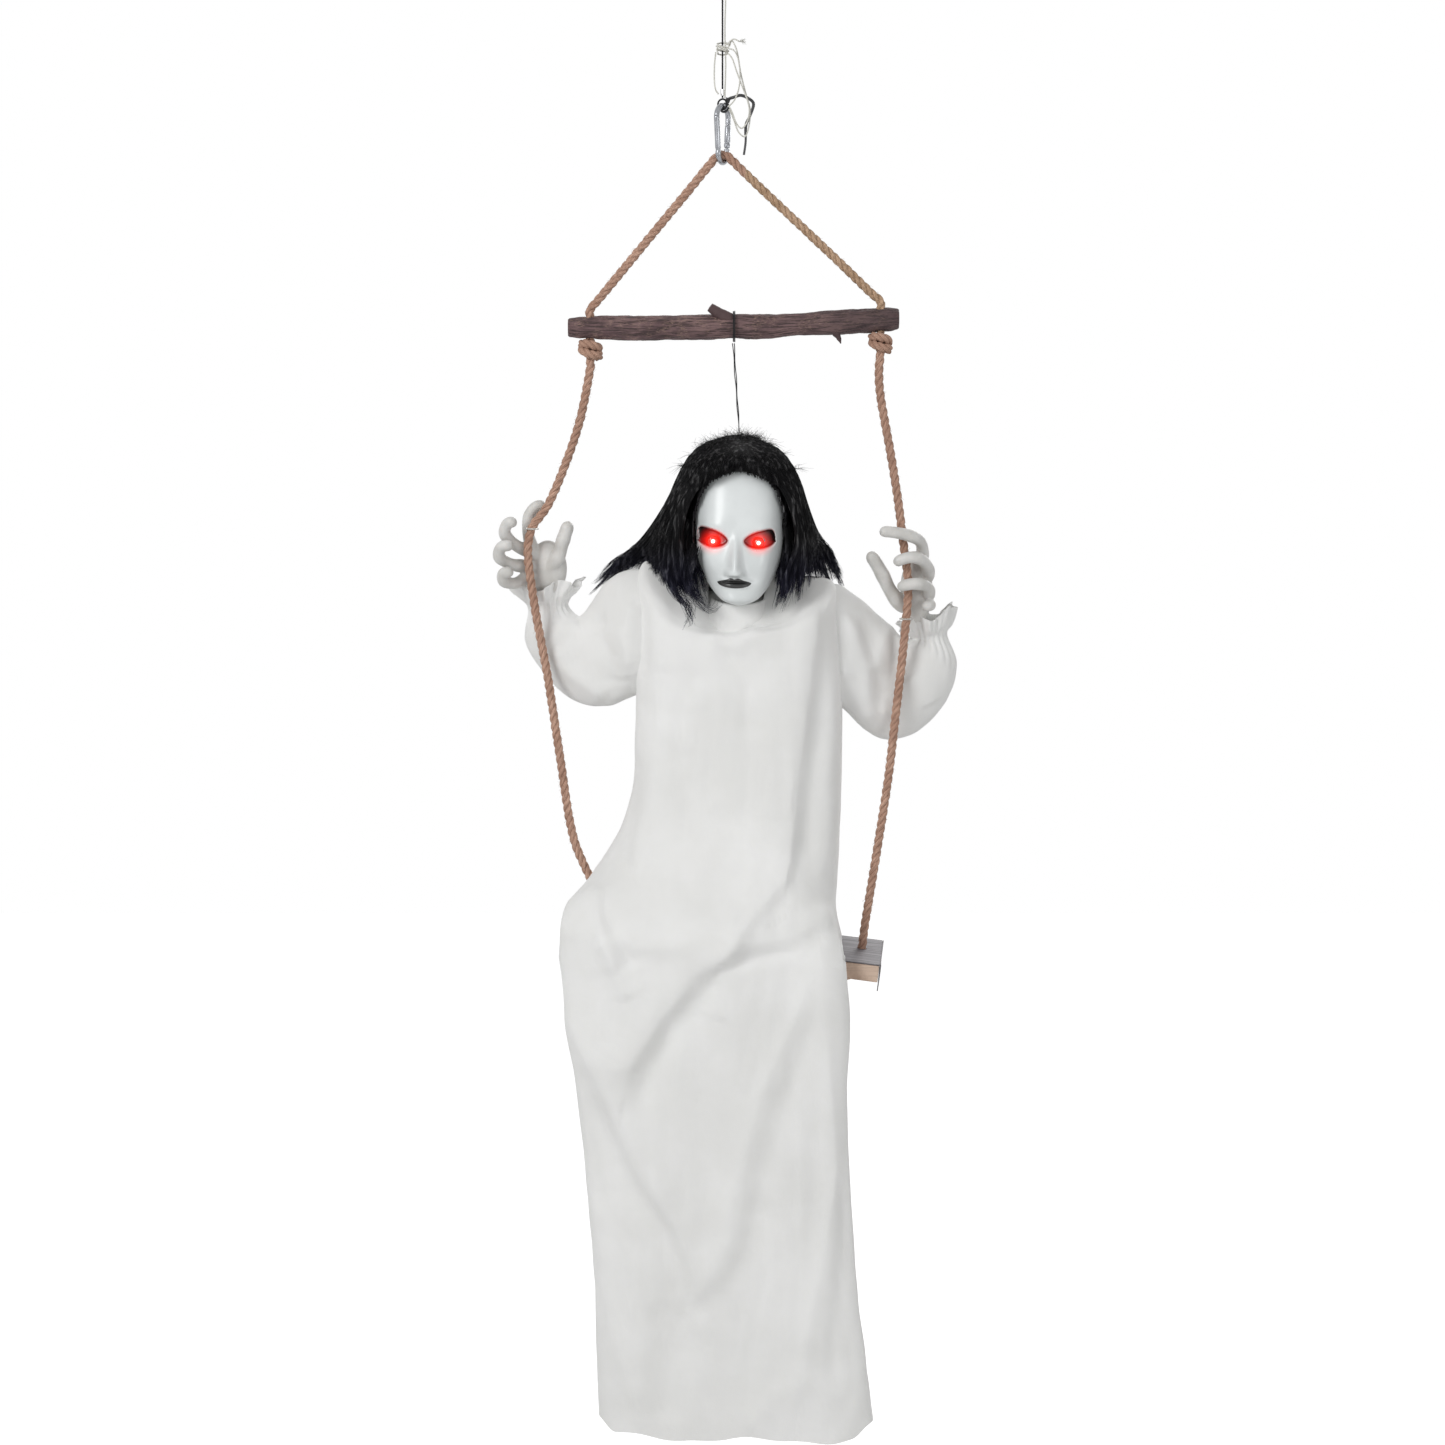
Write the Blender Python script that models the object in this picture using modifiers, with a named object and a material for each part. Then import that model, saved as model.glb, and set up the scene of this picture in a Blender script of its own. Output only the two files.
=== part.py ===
"""Animated ghost figure on a rope swing, hung from a ceiling hook.

Metres, +Z up. The origin is the middle of the ceiling plate's top face, the figure faces -Y,
and +X is on the right of someone who looks at its face.
"""

import math

import bmesh
import bpy
from mathutils import Euler, Matrix, Vector

# Clearances and tool sizes that the whole object shares
GAP = 0.0003
RUNNING_GAP = 0.0005
OVERRUN = 0.004
WELD = 0.00001

# Ceiling fitting
PLATE_RADIUS = 0.024
PLATE_THICKNESS = 0.004
PLATE_SCREW_OFFSET = 0.016
PLATE_SCREW_RADIUS = 0.002
PLATE_SCREW_HEAD_RADIUS = 0.0038
PLATE_SCREW_HEAD = 0.0025
HOOK_WIRE_RADIUS = 0.0025
HOOK_BEND_RADIUS = 0.009
HOOK_SHANK = 0.010
HOOK_FLANGE_RADIUS = 0.0065
HOOK_FLANGE = 0.0025
HOOK_PIN = 0.002

# Hanging line and its ferrules
LINE_RADIUS = 0.0012
EYE_WIRE_RADIUS = 0.0014
LINE_EYE_RADIUS = 0.005
LINE_LOW_EYE_RADIUS = 0.0068
LINE_LENGTH = 0.1845
FERRULE_RADIUS = 0.0026
FERRULE_LENGTH = 0.008
FERRULE_DROP = 0.005

# White cord tied round the line
WHITE_CORD_RADIUS = 0.0010
WHITE_LINE_SIDE = 0.0036
WHITE_KNOT_DROP = 0.105
WHITE_KNOT_RADIUS = 0.0085
WHITE_KNOT_HEIGHT = 0.016

# Cable tie
TIE_RADIUS = 0.0014
TIE_HEAD = 0.0045
TIE_HOOP_RADIUS = 0.0062

# Carabiner
CARABINER_LENGTH = 0.082
CARABINER_WIRE_RADIUS = 0.00375
CARABINER_TOP_BEND = 0.0162
CARABINER_BOTTOM_BEND = 0.0118
CARABINER_YAW = math.radians(62.0)
GATE_RADIUS = 0.0040
GATE_TONGUE = 0.0024
GATE_TONGUE_LENGTH = 0.0060
GATE_PIN_RADIUS = 0.0011
GATE_LOW_SHARE = 0.16
GATE_HIGH_SHARE = 0.86

# Branch that spreads the ropes
BRANCH_LENGTH = 0.440
BRANCH_RADIUS = 0.0175
BRANCH_X = 0.0146
BRANCH_Z = -0.4990
BRANCH_TILT = math.radians(-1.5)
STUB_RADIUS = 0.0085
STUB_LENGTH = 0.034
THORN_RADIUS = 0.0070
THORN_LENGTH = 0.032
ROPE_LEFT_X = -0.176
ROPE_RIGHT_X = 0.210

# Rope
ROPE_RADIUS = 0.006
ROPE_HOLE_CLEARANCE = 0.0010
KNOT_RADIUS = 0.0115
KNOT_ROPE_RADIUS = 0.0062
KNOT_STEP = 0.0040
KNOT_LEAN = math.radians(12.0)
KNOT_CORE_HEIGHT = 0.024
KNOT_SLACK = 0.0010
HEAD_STRING_RADIUS = 0.0013
HEAD_STRING_X = 0.0145

# Seat
SEAT_LENGTH = 0.420
SEAT_DEPTH = 0.180
SEAT_CORE_THICKNESS = 0.0220
SEAT_SKIN = 0.0015
SEAT_LIP = 0.012
SEAT_LIP_LENGTH = 0.030
SEAT_X = 0.0065
SEAT_Y = 0.0
SEAT_TOP_Z = -1.318
SEAT_ROLL = math.radians(6.4)
SEAT_YAW = math.radians(-4.0)
SEAT_HOLE_INSET = 0.026
SEAT_HOLE_OFFSET = SEAT_LENGTH / 2 - SEAT_HOLE_INSET
SEAT_HOLE_BACK = 0.012
UNDER_SEAT_DROP = 0.004

# Figure: it shares the seat's turn, and its own heights are below the ceiling
TORSO_X = 0.0125
TORSO_Y = 0.020
TORSO_TOP_Z = -0.852
TORSO_HEIGHT = 0.520
TORSO_HALF_WIDTH = 0.105
TORSO_HALF_DEPTH = 0.060
TORSO_WALL = 0.0025
TORSO_SIDES = 20
NECK_RADIUS = 0.011
NECK_TOP_Z = -0.790
NECK_X = 0.0225
NECK_Y = 0.010

# Battery box in the back, its door, cells, board, speaker and switch
BATTERY_BOX_Z = -0.990
BATTERY_BOX_WIDTH = 0.066
BATTERY_BOX_HEIGHT = 0.100
BATTERY_BOX_DEPTH = 0.022
BATTERY_BOX_WALL = 0.002
BATTERY_DOOR_HEIGHT = 0.066
BATTERY_DOOR_THICKNESS = 0.002
CELL_RADIUS = 0.00725
CELL_LENGTH = 0.0505
SWITCH_WIDTH = 0.008
SWITCH_HEIGHT = 0.005
SWITCH_TRAVEL = 0.004
SWITCH_STAND = 0.0025
BOARD_THICKNESS = 0.0016
BOARD_WIDTH = 0.050
BOARD_HEIGHT = 0.070
SPEAKER_RADIUS = 0.018
SPEAKER_DEPTH = 0.009

# Leg drive: motor, pinion, sector gear, cross shaft and kick frame
SHAFT_Y = -0.110
SHAFT_Z = -0.012
SHAFT_RADIUS = 0.004
GEAR_MODULE = 0.001
PINION_TEETH = 16
SECTOR_TEETH = 48
SECTOR_TEETH_CUT = 7
GEAR_LEAN = math.radians(75.0)
GEAR_BACKLASH = 0.00035
GEAR_WIDTH = 0.006
GEAR_X = 0.009
SECTOR_HUB_RADIUS = 0.009
MOTOR_RADIUS = 0.012
MOTOR_LENGTH = 0.032
MOTOR_SHAFT_RADIUS = 0.0016
CHEEK_THICKNESS = 0.003
CHEEK_LEFT_X = -0.033
CHEEK_RIGHT_X = 0.019
CHEEK_BACK_Y = -0.047
CHEEK_TOP_Z = 0.034
CHEEK_FOOT_Z = -0.022
BASE_LIFT = 0.0075
SEAT_FRONT_CLEARANCE = 0.0010
SHIN_RADIUS = 0.010
SHIN_SPREAD = 0.085
SHIN_LENGTH = 0.385
KICK_BAR_RADIUS = 0.006

# Arms, hands and the ties that hold the hands to the rope
ARM_RADIUS = 0.011
LEFT_PALM_SIZE = (0.048, 0.026, 0.072)
RIGHT_PALM_SIZE = (0.040, 0.026, 0.092)
WRIST_RADIUS = 0.012
FINGER_RADIUS = 0.0080
THUMB_RADIUS = 0.0092
TIE_BAND_RADIUS = 0.0012

# Gown
GOWN_WALL = 0.0022
GOWN_TOP_Z = -0.836
GOWN_BODY_HEIGHT = 0.487
GOWN_HALF_WIDTH = 0.180
GOWN_DEPTH = 0.150
GOWN_SIDES = 28
GOWN_ARMHOLE_RADIUS = 0.034
SKIRT_X = -0.0265
SKIRT_LENGTH = 0.646
SKIRT_HALF_WIDTH = 0.190
SKIRT_FRONT = 0.040
SKIRT_BACK = 0.0155
SKIRT_FOLD = 0.006
SLEEVE_RUFFLE_SHARE = 0.08

# Head
HEAD_X = 0.0225
HEAD_TOP_Z = -0.655
HEAD_HEIGHT = 0.211
HEAD_HALF_WIDTH = 0.066
HEAD_DEPTH = 0.090
HEAD_WALL = 0.0025
MASK_BACK_Y = -0.030
EYE_SPREAD = 0.0310
EYE_Z = -0.780
EYE_RADIUS = 0.0085
LENS_DEPTH = 0.004
WIG_HALF_WIDTH = 0.124
WIG_DEPTH = 0.112
WIG_TOP_Z = -0.640
WIG_HEIGHT = 0.174
FACE_OPENING_Z = -0.7750
FACE_OPENING_HALF_WIDTH = 0.0625
FACE_OPENING_HALF_HEIGHT = 0.0860

PARTS = bpy.data.collections.new("ghost_on_swing")
CUTTERS = bpy.data.collections.new("cutters")


def start_scene():
    """Empties the scene and links the two collections."""
    for item in list(bpy.data.objects):
        bpy.data.objects.remove(item)
    bpy.context.scene.collection.children.link(PARTS)
    bpy.context.scene.collection.children.link(CUTTERS)


def paint(name, colour, roughness=0.6, metallic=0.0, glow=0.0):
    """A Principled material."""
    made = bpy.data.materials.new(name)
    made.use_nodes = True
    shader = made.node_tree.nodes["Principled BSDF"]
    shader.inputs["Base Color"].default_value = (*colour, 1.0)
    shader.inputs["Roughness"].default_value = roughness
    shader.inputs["Metallic"].default_value = metallic
    if glow:
        shader.inputs["Emission Color"].default_value = (*colour, 1.0)
        shader.inputs["Emission Strength"].default_value = glow
    return made


ZINC = paint("zinc", (0.62, 0.64, 0.67), 0.3, 1.0)
BLACK_PLASTIC = paint("black_plastic", (0.02, 0.02, 0.02), 0.5)
GREY_PLASTIC = paint("grey_plastic", (0.30, 0.31, 0.32), 0.5)
WHITE_PLASTIC = paint("white_plastic", (0.80, 0.81, 0.80), 0.35)
GLOVE_PLASTIC = paint("glove_plastic", (0.66, 0.66, 0.62), 0.45)
WHITE_STRING = paint("white_string", (0.75, 0.74, 0.68), 0.8)
JUTE = paint("jute_rope", (0.45, 0.27, 0.17), 0.9)
BARK = paint("bark", (0.13, 0.075, 0.075), 0.8)
SEAT_FOAM = paint("seat_foam", (0.62, 0.50, 0.42), 0.8)
SEAT_PRINT = paint("seat_wood_print", (0.27, 0.25, 0.26), 0.7)
GOWN_CLOTH = paint("gown_cloth", (0.80, 0.80, 0.79), 0.9)
HAIR = paint("hair", (0.012, 0.011, 0.013), 0.5)
RED_LENS = paint("red_lens", (0.9, 0.02, 0.01), 0.2, 0.0, 2.0)
CIRCUIT = paint("circuit_board", (0.05, 0.25, 0.10), 0.5)
CELL = paint("battery_cell", (0.12, 0.12, 0.14), 0.35)
NICKEL = paint("nickel", (0.66, 0.62, 0.55), 0.3, 1.0)
GEAR_PLASTIC = paint("gear_plastic", (0.78, 0.76, 0.68), 0.5)


def place(item, material, collection=PARTS):
    """Links an object and gives it its one material."""
    collection.objects.link(item)
    if material:
        item.data.materials.clear()
        item.data.materials.append(material)
    return item


def object_from(name, mesh_builder, material, collection=PARTS):
    """An object from a bmesh, with outward normals."""
    bmesh.ops.recalc_face_normals(mesh_builder, faces=mesh_builder.faces)
    mesh = bpy.data.meshes.new(name)
    mesh_builder.to_mesh(mesh)
    mesh_builder.free()
    return place(bpy.data.objects.new(name, mesh), material, collection)


def turn_to(direction):
    """Rotation that takes +Z to a direction."""
    return Vector(direction).to_track_quat("Z", "Y").to_matrix().to_4x4()


def add_box(name, size, centre, material, bevel=0.0, collection=PARTS):
    """A box of a size about its centre, with optional rounded edges."""
    shape = bmesh.new()
    bmesh.ops.create_cube(shape, size=1.0)
    bmesh.ops.scale(shape, vec=Vector(size), verts=shape.verts)
    bmesh.ops.translate(shape, vec=Vector(centre), verts=shape.verts)
    item = object_from(name, shape, material, collection)
    if bevel:
        rounding = item.modifiers.new("rounding", "BEVEL")
        rounding.width = bevel
        rounding.segments = 2
    return item


def add_cylinder(name, radius, start, end, material, sides=16, collection=PARTS, end_radius=None):
    """A capped cylinder or cone between two points."""
    start, end = Vector(start), Vector(end)
    shape = bmesh.new()
    bmesh.ops.create_cone(
        shape, cap_ends=True, segments=sides, depth=(end - start).length,
        radius1=radius, radius2=radius if end_radius is None else end_radius,
    )
    turned = Matrix.Translation((start + end) / 2) @ turn_to(end - start)
    bmesh.ops.transform(shape, matrix=turned, verts=shape.verts)
    item = object_from(name, shape, material, collection)
    item.data.shade_smooth()
    item.data.set_sharp_from_angle(angle=math.radians(40))
    return item


def add_turned(name, profile, base, direction, material, sides=16, collection=PARTS):
    """A profile of (radius, height) points, from its top down, turned about an axis with Screw."""
    shape = bmesh.new()
    points = [shape.verts.new((radius, 0.0, height)) for radius, height in profile]
    for first, second in zip(points, points[1:] + points[:1]):
        shape.edges.new((first, second))
    mesh = bpy.data.meshes.new(name)
    shape.to_mesh(mesh)
    shape.free()
    item = place(bpy.data.objects.new(name, mesh), material, collection)
    item.matrix_world = Matrix.Translation(Vector(base)) @ turn_to(direction)
    screw = item.modifiers.new("turn", "SCREW")
    screw.steps = screw.render_steps = sides
    screw.use_merge_vertices = True
    screw.merge_threshold = WELD
    return item


def smooth_route(points, step):
    """Points about a step apart on a Catmull-Rom curve through the given ones."""
    given = [Vector(point) for point in points]
    ends = [2 * given[0] - given[1]] + given + [2 * given[-1] - given[-2]]
    fine = []
    for before, start, end, after in zip(ends, ends[1:], ends[2:], ends[3:]):
        count = max(2, math.ceil((end - start).length / step))
        for number in range(count):
            t = number / count
            fine.append(0.5 * (
                2 * start + (end - before) * t
                + (2 * before - 5 * start + 4 * end - after) * t * t
                + (3 * start - before - 3 * end + after) * t * t * t
            ))
    return fine + [given[-1]]


def add_tube(name, points, radius, material, resolution=2, radii=None, collection=PARTS, capped=True):
    """A tube along points, as a POLY curve with a round bevel."""
    curve = bpy.data.curves.new(name, "CURVE")
    curve.dimensions = "3D"
    curve.bevel_depth = radius
    curve.bevel_resolution = resolution
    curve.use_fill_caps = capped
    line = curve.splines.new("POLY")
    line.points.add(len(points) - 1)
    for number, (control, point) in enumerate(zip(line.points, points)):
        control.co = (*point, 1.0)
        control.radius = radii[number] if radii else 1.0
    return place(bpy.data.objects.new(name, curve), material, collection)


def as_mesh(item):
    """The same object with its curve made a mesh, caps welded."""
    bpy.context.view_layer.update()
    graph = bpy.context.evaluated_depsgraph_get()
    mesh = bpy.data.meshes.new_from_object(item.evaluated_get(graph))
    shape = bmesh.new()
    shape.from_mesh(mesh)
    bmesh.ops.remove_doubles(shape, verts=shape.verts, dist=WELD)
    bmesh.ops.recalc_face_normals(shape, faces=shape.faces)
    shape.to_mesh(mesh)
    shape.free()
    solid = bpy.data.objects.new(item.name + "_solid", mesh)
    item.users_collection[0].objects.link(solid)
    solid.matrix_world = item.matrix_world.copy()
    name = item.name
    bpy.data.objects.remove(item)
    solid.name = name
    return solid


def guide(cutter):
    """Moves an object to the cutters."""
    for holder in list(cutter.users_collection):
        holder.objects.unlink(cutter)
    CUTTERS.objects.link(cutter)
    cutter.hide_render = True
    cutter.display_type = "WIRE"
    return cutter


def combine(item, other, operation="DIFFERENCE"):
    """Adds an exact Boolean of item with a cutter or a joined shape."""
    guide(other)
    step = item.modifiers.new(other.name, "BOOLEAN")
    step.operation = operation
    step.object = other
    step.solver = "EXACT"
    return item


def loft(name, rings, material, wall=0.0, closed_ends=False, collection=PARTS):
    """A skin through closed rings of points; a wall makes it a shell, closed ends a solid."""
    shape = bmesh.new()
    rows = [[shape.verts.new(point) for point in ring] for ring in rings]
    for upper, lower in zip(rows, rows[1:]):
        count = len(upper)
        for number in range(count):
            after = (number + 1) % count
            shape.faces.new((upper[number], upper[after], lower[after], lower[number]))
    if closed_ends:
        shape.faces.new(rows[0])
        shape.faces.new(rows[-1])
    item = object_from(name, shape, material, collection)
    if wall:
        middle = sum(rings[0], Vector()) / len(rings[0])
        near = min(item.data.polygons, key=lambda face: (face.center - rings[0][0]).length)
        if (near.center - middle).dot(near.normal) < 0:
            item.data.flip_normals()
        shell = item.modifiers.new("wall", "SOLIDIFY")
        shell.thickness = wall
        shell.offset = -1.0
        shell.use_even_offset = False
    item.data.shade_smooth()
    return item



def joined(item, other):
    """Adds a shape to an object as one body."""
    return combine(item, other, "UNION")


def add_ring(name, ring_radius, wire_radius, centre, axis, material, sides=24, wire_sides=10,
             collection=PARTS):
    """A torus about an axis."""
    shape = bmesh.new()
    bmesh.ops.create_circle(shape, segments=wire_sides, radius=wire_radius)
    bmesh.ops.rotate(shape, verts=shape.verts, matrix=Matrix.Rotation(math.pi / 2, 3, "X"))
    bmesh.ops.translate(shape, verts=shape.verts, vec=(ring_radius, 0, 0))
    bmesh.ops.spin(shape, geom=shape.verts[:] + shape.edges[:], cent=(0, 0, 0), axis=(0, 0, 1),
                   angle=math.tau, steps=sides, use_merge=True)
    bmesh.ops.transform(shape, matrix=Matrix.Translation(Vector(centre)) @ turn_to(axis),
                        verts=shape.verts)
    item = object_from(name, shape, material, collection)
    item.data.shade_smooth()
    return item


def seat_frame():
    """The seat's own frame, with its origin on the seat's top face."""
    turned = Euler((0.0, SEAT_ROLL, SEAT_YAW), "XYZ").to_matrix().to_4x4()
    return Matrix.Translation((SEAT_X, SEAT_Y, SEAT_TOP_Z)) @ turned


def on_seat(x, y, z):
    """World place of a point given in the seat's frame."""
    return seat_frame() @ Vector((x, y, z))


def carabiner_places():
    """Points of the carabiner in world space: plane direction, normal and bend centres."""
    along = Vector((math.cos(CARABINER_YAW), math.sin(CARABINER_YAW), 0.0))
    across = Vector((-along.y, along.x, 0.0))
    line_foot = hook_seat() - LINE_LENGTH
    top_wire = line_foot + EYE_WIRE_RADIUS + GAP + CARABINER_WIRE_RADIUS
    top = Vector((0.0, 0.0, top_wire - CARABINER_TOP_BEND))
    drop = CARABINER_LENGTH - 2 * CARABINER_WIRE_RADIUS - CARABINER_TOP_BEND - CARABINER_BOTTOM_BEND
    bottom = top - Vector((0.0, 0.0, drop))
    return along, across, top, bottom


def hook_seat():
    """Height of the centre of the line's top eye wire, on the ceiling hook."""
    bend_top = -PLATE_THICKNESS - GAP - HOOK_FLANGE - HOOK_SHANK
    return bend_top - 2 * HOOK_BEND_RADIUS + HOOK_WIRE_RADIUS + GAP + EYE_WIRE_RADIUS


def build_ceiling_fitting():
    """Plate, its two screws and the swivelling hook."""
    up, down = (0, 0, 1), (0, 0, -1)
    plate = add_cylinder("ceiling_plate", PLATE_RADIUS, (0, 0, -PLATE_THICKNESS), (0, 0, 0), ZINC, 40)
    bore = HOOK_WIRE_RADIUS + RUNNING_GAP
    combine(plate, add_cylinder("hook_bore", bore, (0, 0, -PLATE_THICKNESS - OVERRUN),
                                (0, 0, OVERRUN), None, 20))
    head_room = HOOK_FLANGE_RADIUS + RUNNING_GAP
    combine(plate, add_cylinder("hook_recess", head_room, (0, 0, -HOOK_PIN), (0, 0, OVERRUN), None, 24))
    for side, name in ((-1, "plate_screw_left"), (1, "plate_screw_right")):
        x = side * PLATE_SCREW_OFFSET
        hole = add_cylinder(name + "_hole", PLATE_SCREW_RADIUS + GAP, (x, 0, -PLATE_THICKNESS - OVERRUN),
                            (x, 0, OVERRUN), None, 16)
        combine(plate, hole)
        head_top = -PLATE_THICKNESS - GAP
        add_turned(name, [
            (0.0, head_top + PLATE_THICKNESS), (PLATE_SCREW_RADIUS, head_top + PLATE_THICKNESS),
            (PLATE_SCREW_RADIUS, head_top), (PLATE_SCREW_HEAD_RADIUS, head_top),
            (PLATE_SCREW_HEAD_RADIUS, head_top - PLATE_SCREW_HEAD / 2),
            (PLATE_SCREW_RADIUS, head_top - PLATE_SCREW_HEAD), (0.0, head_top - PLATE_SCREW_HEAD),
        ], (x, 0, 0), up, ZINC, 12)
    flange_top = -PLATE_THICKNESS - GAP
    bend_top = flange_top - HOOK_FLANGE - HOOK_SHANK
    middle = bend_top - HOOK_BEND_RADIUS
    route = [(0, 0, flange_top - HOOK_FLANGE / 2), (0, 0, bend_top + HOOK_WIRE_RADIUS)]
    for degrees in range(50, -206, -21):
        angle = math.radians(degrees)
        route.append((HOOK_BEND_RADIUS * math.cos(angle), 0, middle + HOOK_BEND_RADIUS * math.sin(angle)))
    hook = as_mesh(add_tube("ceiling_hook", route, HOOK_WIRE_RADIUS, ZINC, 2))
    collar = add_turned("hook_collar", [
        (0.0, -RUNNING_GAP), (HOOK_FLANGE_RADIUS, -RUNNING_GAP),
        (HOOK_FLANGE_RADIUS, -HOOK_PIN + GAP), (HOOK_WIRE_RADIUS, -HOOK_PIN + GAP),
        (HOOK_WIRE_RADIUS, flange_top), (HOOK_FLANGE_RADIUS, flange_top),
        (HOOK_FLANGE_RADIUS, flange_top - HOOK_FLANGE), (0.0, flange_top - HOOK_FLANGE),
    ], (0, 0, 0), up, ZINC, 24)
    joined(hook, collar)


def build_line():
    """The black hanging line with its eyes and ferrules, and the white cord beside it."""
    along, across, top, bottom = carabiner_places()
    high = hook_seat()
    low = high - LINE_LENGTH
    eye = Vector((0, 0, high - LINE_EYE_RADIUS))
    low_eye = Vector((0, 0, low + LINE_LOW_EYE_RADIUS))
    line_top = eye - Vector((0, 0, LINE_EYE_RADIUS))
    line_end = low_eye + Vector((0, 0, LINE_LOW_EYE_RADIUS))
    line = add_cylinder("hanging_line", LINE_RADIUS, line_end, line_top, BLACK_PLASTIC, 12)
    joined(line, add_ring("upper_eye", LINE_EYE_RADIUS, EYE_WIRE_RADIUS, eye, (1, 0, 0), None, 12, 6))
    joined(line, add_ring("lower_eye", LINE_LOW_EYE_RADIUS, EYE_WIRE_RADIUS, low_eye, along, None, 14, 6))
    bore = LINE_RADIUS + GAP
    for name, height in (("ferrule_upper", line_top.z - FERRULE_DROP - FERRULE_LENGTH),
                         ("ferrule_lower", line_end.z + FERRULE_DROP)):
        add_turned(name, [
            (bore, FERRULE_LENGTH), (FERRULE_RADIUS, FERRULE_LENGTH), (FERRULE_RADIUS, 0.0), (bore, 0.0),
        ], (0, 0, height), (0, 0, 1), ZINC, 12)


# Routes of the free cords, and of the rope below its knots, as points in metres
WHITE_RIGHT_ROUTE = (
    (0.0090, -0.0030, -0.1330), (0.0125, -0.0060, -0.1262), (0.0191, -0.0080, -0.1401),
    (0.0244, -0.0090, -0.1699), (0.0310, -0.0090, -0.1958), (0.0363, -0.0090, -0.2153),
    (0.0350, -0.0090, -0.2361), (0.0298, -0.0090, -0.2504), (0.0215, -0.0100, -0.2452),
    (0.0165, -0.0110, -0.2335), (0.0130, -0.0110, -0.2240), (0.0085, -0.0100, -0.2150),
)
WHITE_LEFT_ROUTE = (
    (-0.0088, -0.0030, -0.1405), (-0.0105, -0.0060, -0.1569), (-0.0108, -0.0080, -0.1763),
    (-0.0092, -0.0090, -0.1893), (-0.0050, -0.0090, -0.1958),
)
TIE_ROUTE = (
    (0.0150, 0.0030, -0.1985), (0.0238, 0.0020, -0.1961),
    (0.0330, 0.0010, -0.1995), (0.0410, 0.0000, -0.2074), (0.0355, 0.0000, -0.2245),
    (0.0310, 0.0000, -0.2352), (0.0306, 0.0000, -0.2564), (0.0283, 0.0000, -0.2738),
)
ROPE_LEFT_ROUTE = (
    (-0.1766, 0.0, -0.5565), (-0.1903, 0.0, -0.6228), (-0.2106, 0.0, -0.6827),
    (-0.2337, 0.0, -0.7362), (-0.2540, 0.0, -0.7640), (-0.2605, 0.0, -0.7860),
    (-0.2610, 0.0, -0.8060), (-0.2585, 0.0, -0.8300), (-0.2495, 0.0, -0.8906), (-0.2352, 0.003, -0.9717),
    (-0.2197, 0.009, -1.0804), (-0.2027, 0.017, -1.1897),
)
ROPE_RIGHT_ROUTE = (
    (0.2085, 0.0, -0.5620), (0.2115, 0.0, -0.5963), (0.2239, 0.0, -0.6628),
    (0.2350, 0.0, -0.7295), (0.2420, 0.0, -0.7830), (0.2485, 0.0, -0.8300),
    (0.2490, 0.0, -0.8637), (0.2431, 0.0, -0.9311), (0.2329, 0.0, -1.0260),
    (0.2239, 0.0, -1.1077), (0.2096, 0.0, -1.2034), (0.1978, 0.0, -1.2790),
)
UNDER_SEAT_ROUTE = (
    (1.000, 0.030), (1.000, 0.000), (1.000, -0.022), (0.990, -0.0315), (0.950, -0.0385),
    (0.885, -0.0400), (0.800, -0.0365), (0.680, -0.0325), (0.400, -0.0303), (0.000, -0.0300),
)

# Outlines of the branch, as shares of its length and radius
BRANCH_STATION_SHARES = (-0.5, -0.47, -0.42, -0.35, -0.27, -0.18, -0.08, 0.02, 0.12, 0.22, 0.31,
                         0.39, 0.44, 0.48, 0.5)
BRANCH_RADIUS_SHARES = (0.72, 0.84, 0.90, 0.93, 0.99, 0.95, 1.03, 0.99, 1.02, 0.97, 1.04, 0.96,
                        0.93, 0.86, 0.70)
BRANCH_SAG_SHARE = 0.25


def build_white_cord():
    """The white cord that runs beside the line, its knot and its two loose loops."""
    along, across, top, bottom = carabiner_places()
    high = hook_seat()
    knot_z = high - WHITE_KNOT_DROP
    low_eye_top = high - LINE_LENGTH + 2 * LINE_LOW_EYE_RADIUS + EYE_WIRE_RADIUS
    beside = Vector((WHITE_LINE_SIDE, -WHITE_LINE_SIDE / 2, 0))
    start = beside + Vector((0, 0, high - LINE_EYE_RADIUS - 2 * HOOK_WIRE_RADIUS))
    end = beside + Vector((0, 0, low_eye_top + RUNNING_GAP))
    add_cylinder("white_line", WHITE_CORD_RADIUS, end, start, WHITE_STRING, 10)
    bore = beside.length + WHITE_CORD_RADIUS + GAP
    half = WHITE_KNOT_HEIGHT / 2
    add_turned("white_knot", [
        (bore, half), (WHITE_KNOT_RADIUS, half / 2), (WHITE_KNOT_RADIUS, -half / 2), (bore, -half),
    ], (0, 0, knot_z), (0, 0, 1), WHITE_STRING, 20)
    step = WHITE_CORD_RADIUS * 9
    add_tube("white_loop_right", smooth_route(WHITE_RIGHT_ROUTE, step), WHITE_CORD_RADIUS, WHITE_STRING, 2)
    add_tube("white_loop_left", smooth_route(WHITE_LEFT_ROUTE, step), WHITE_CORD_RADIUS, WHITE_STRING, 2)


def gate_side():
    """Frame on the carabiner's open side: origin at the low wire end, x out, y across, z up."""
    along, across, top, bottom = carabiner_places()
    lean = math.asin((CARABINER_TOP_BEND - CARABINER_BOTTOM_BEND) / (top - bottom).length)
    out = along * math.cos(lean) - Vector((0, 0, math.sin(lean)))
    low = bottom + out * CARABINER_BOTTOM_BEND
    high = top + out * CARABINER_TOP_BEND
    rise = (high - low).normalized()
    length = (high - low).length
    base = low + rise * length * GATE_LOW_SHARE
    columns = Matrix((out, across, rise)).transposed().to_4x4()
    return Matrix.Translation(base) @ columns, length * (GATE_HIGH_SHARE - GATE_LOW_SHARE), lean


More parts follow.
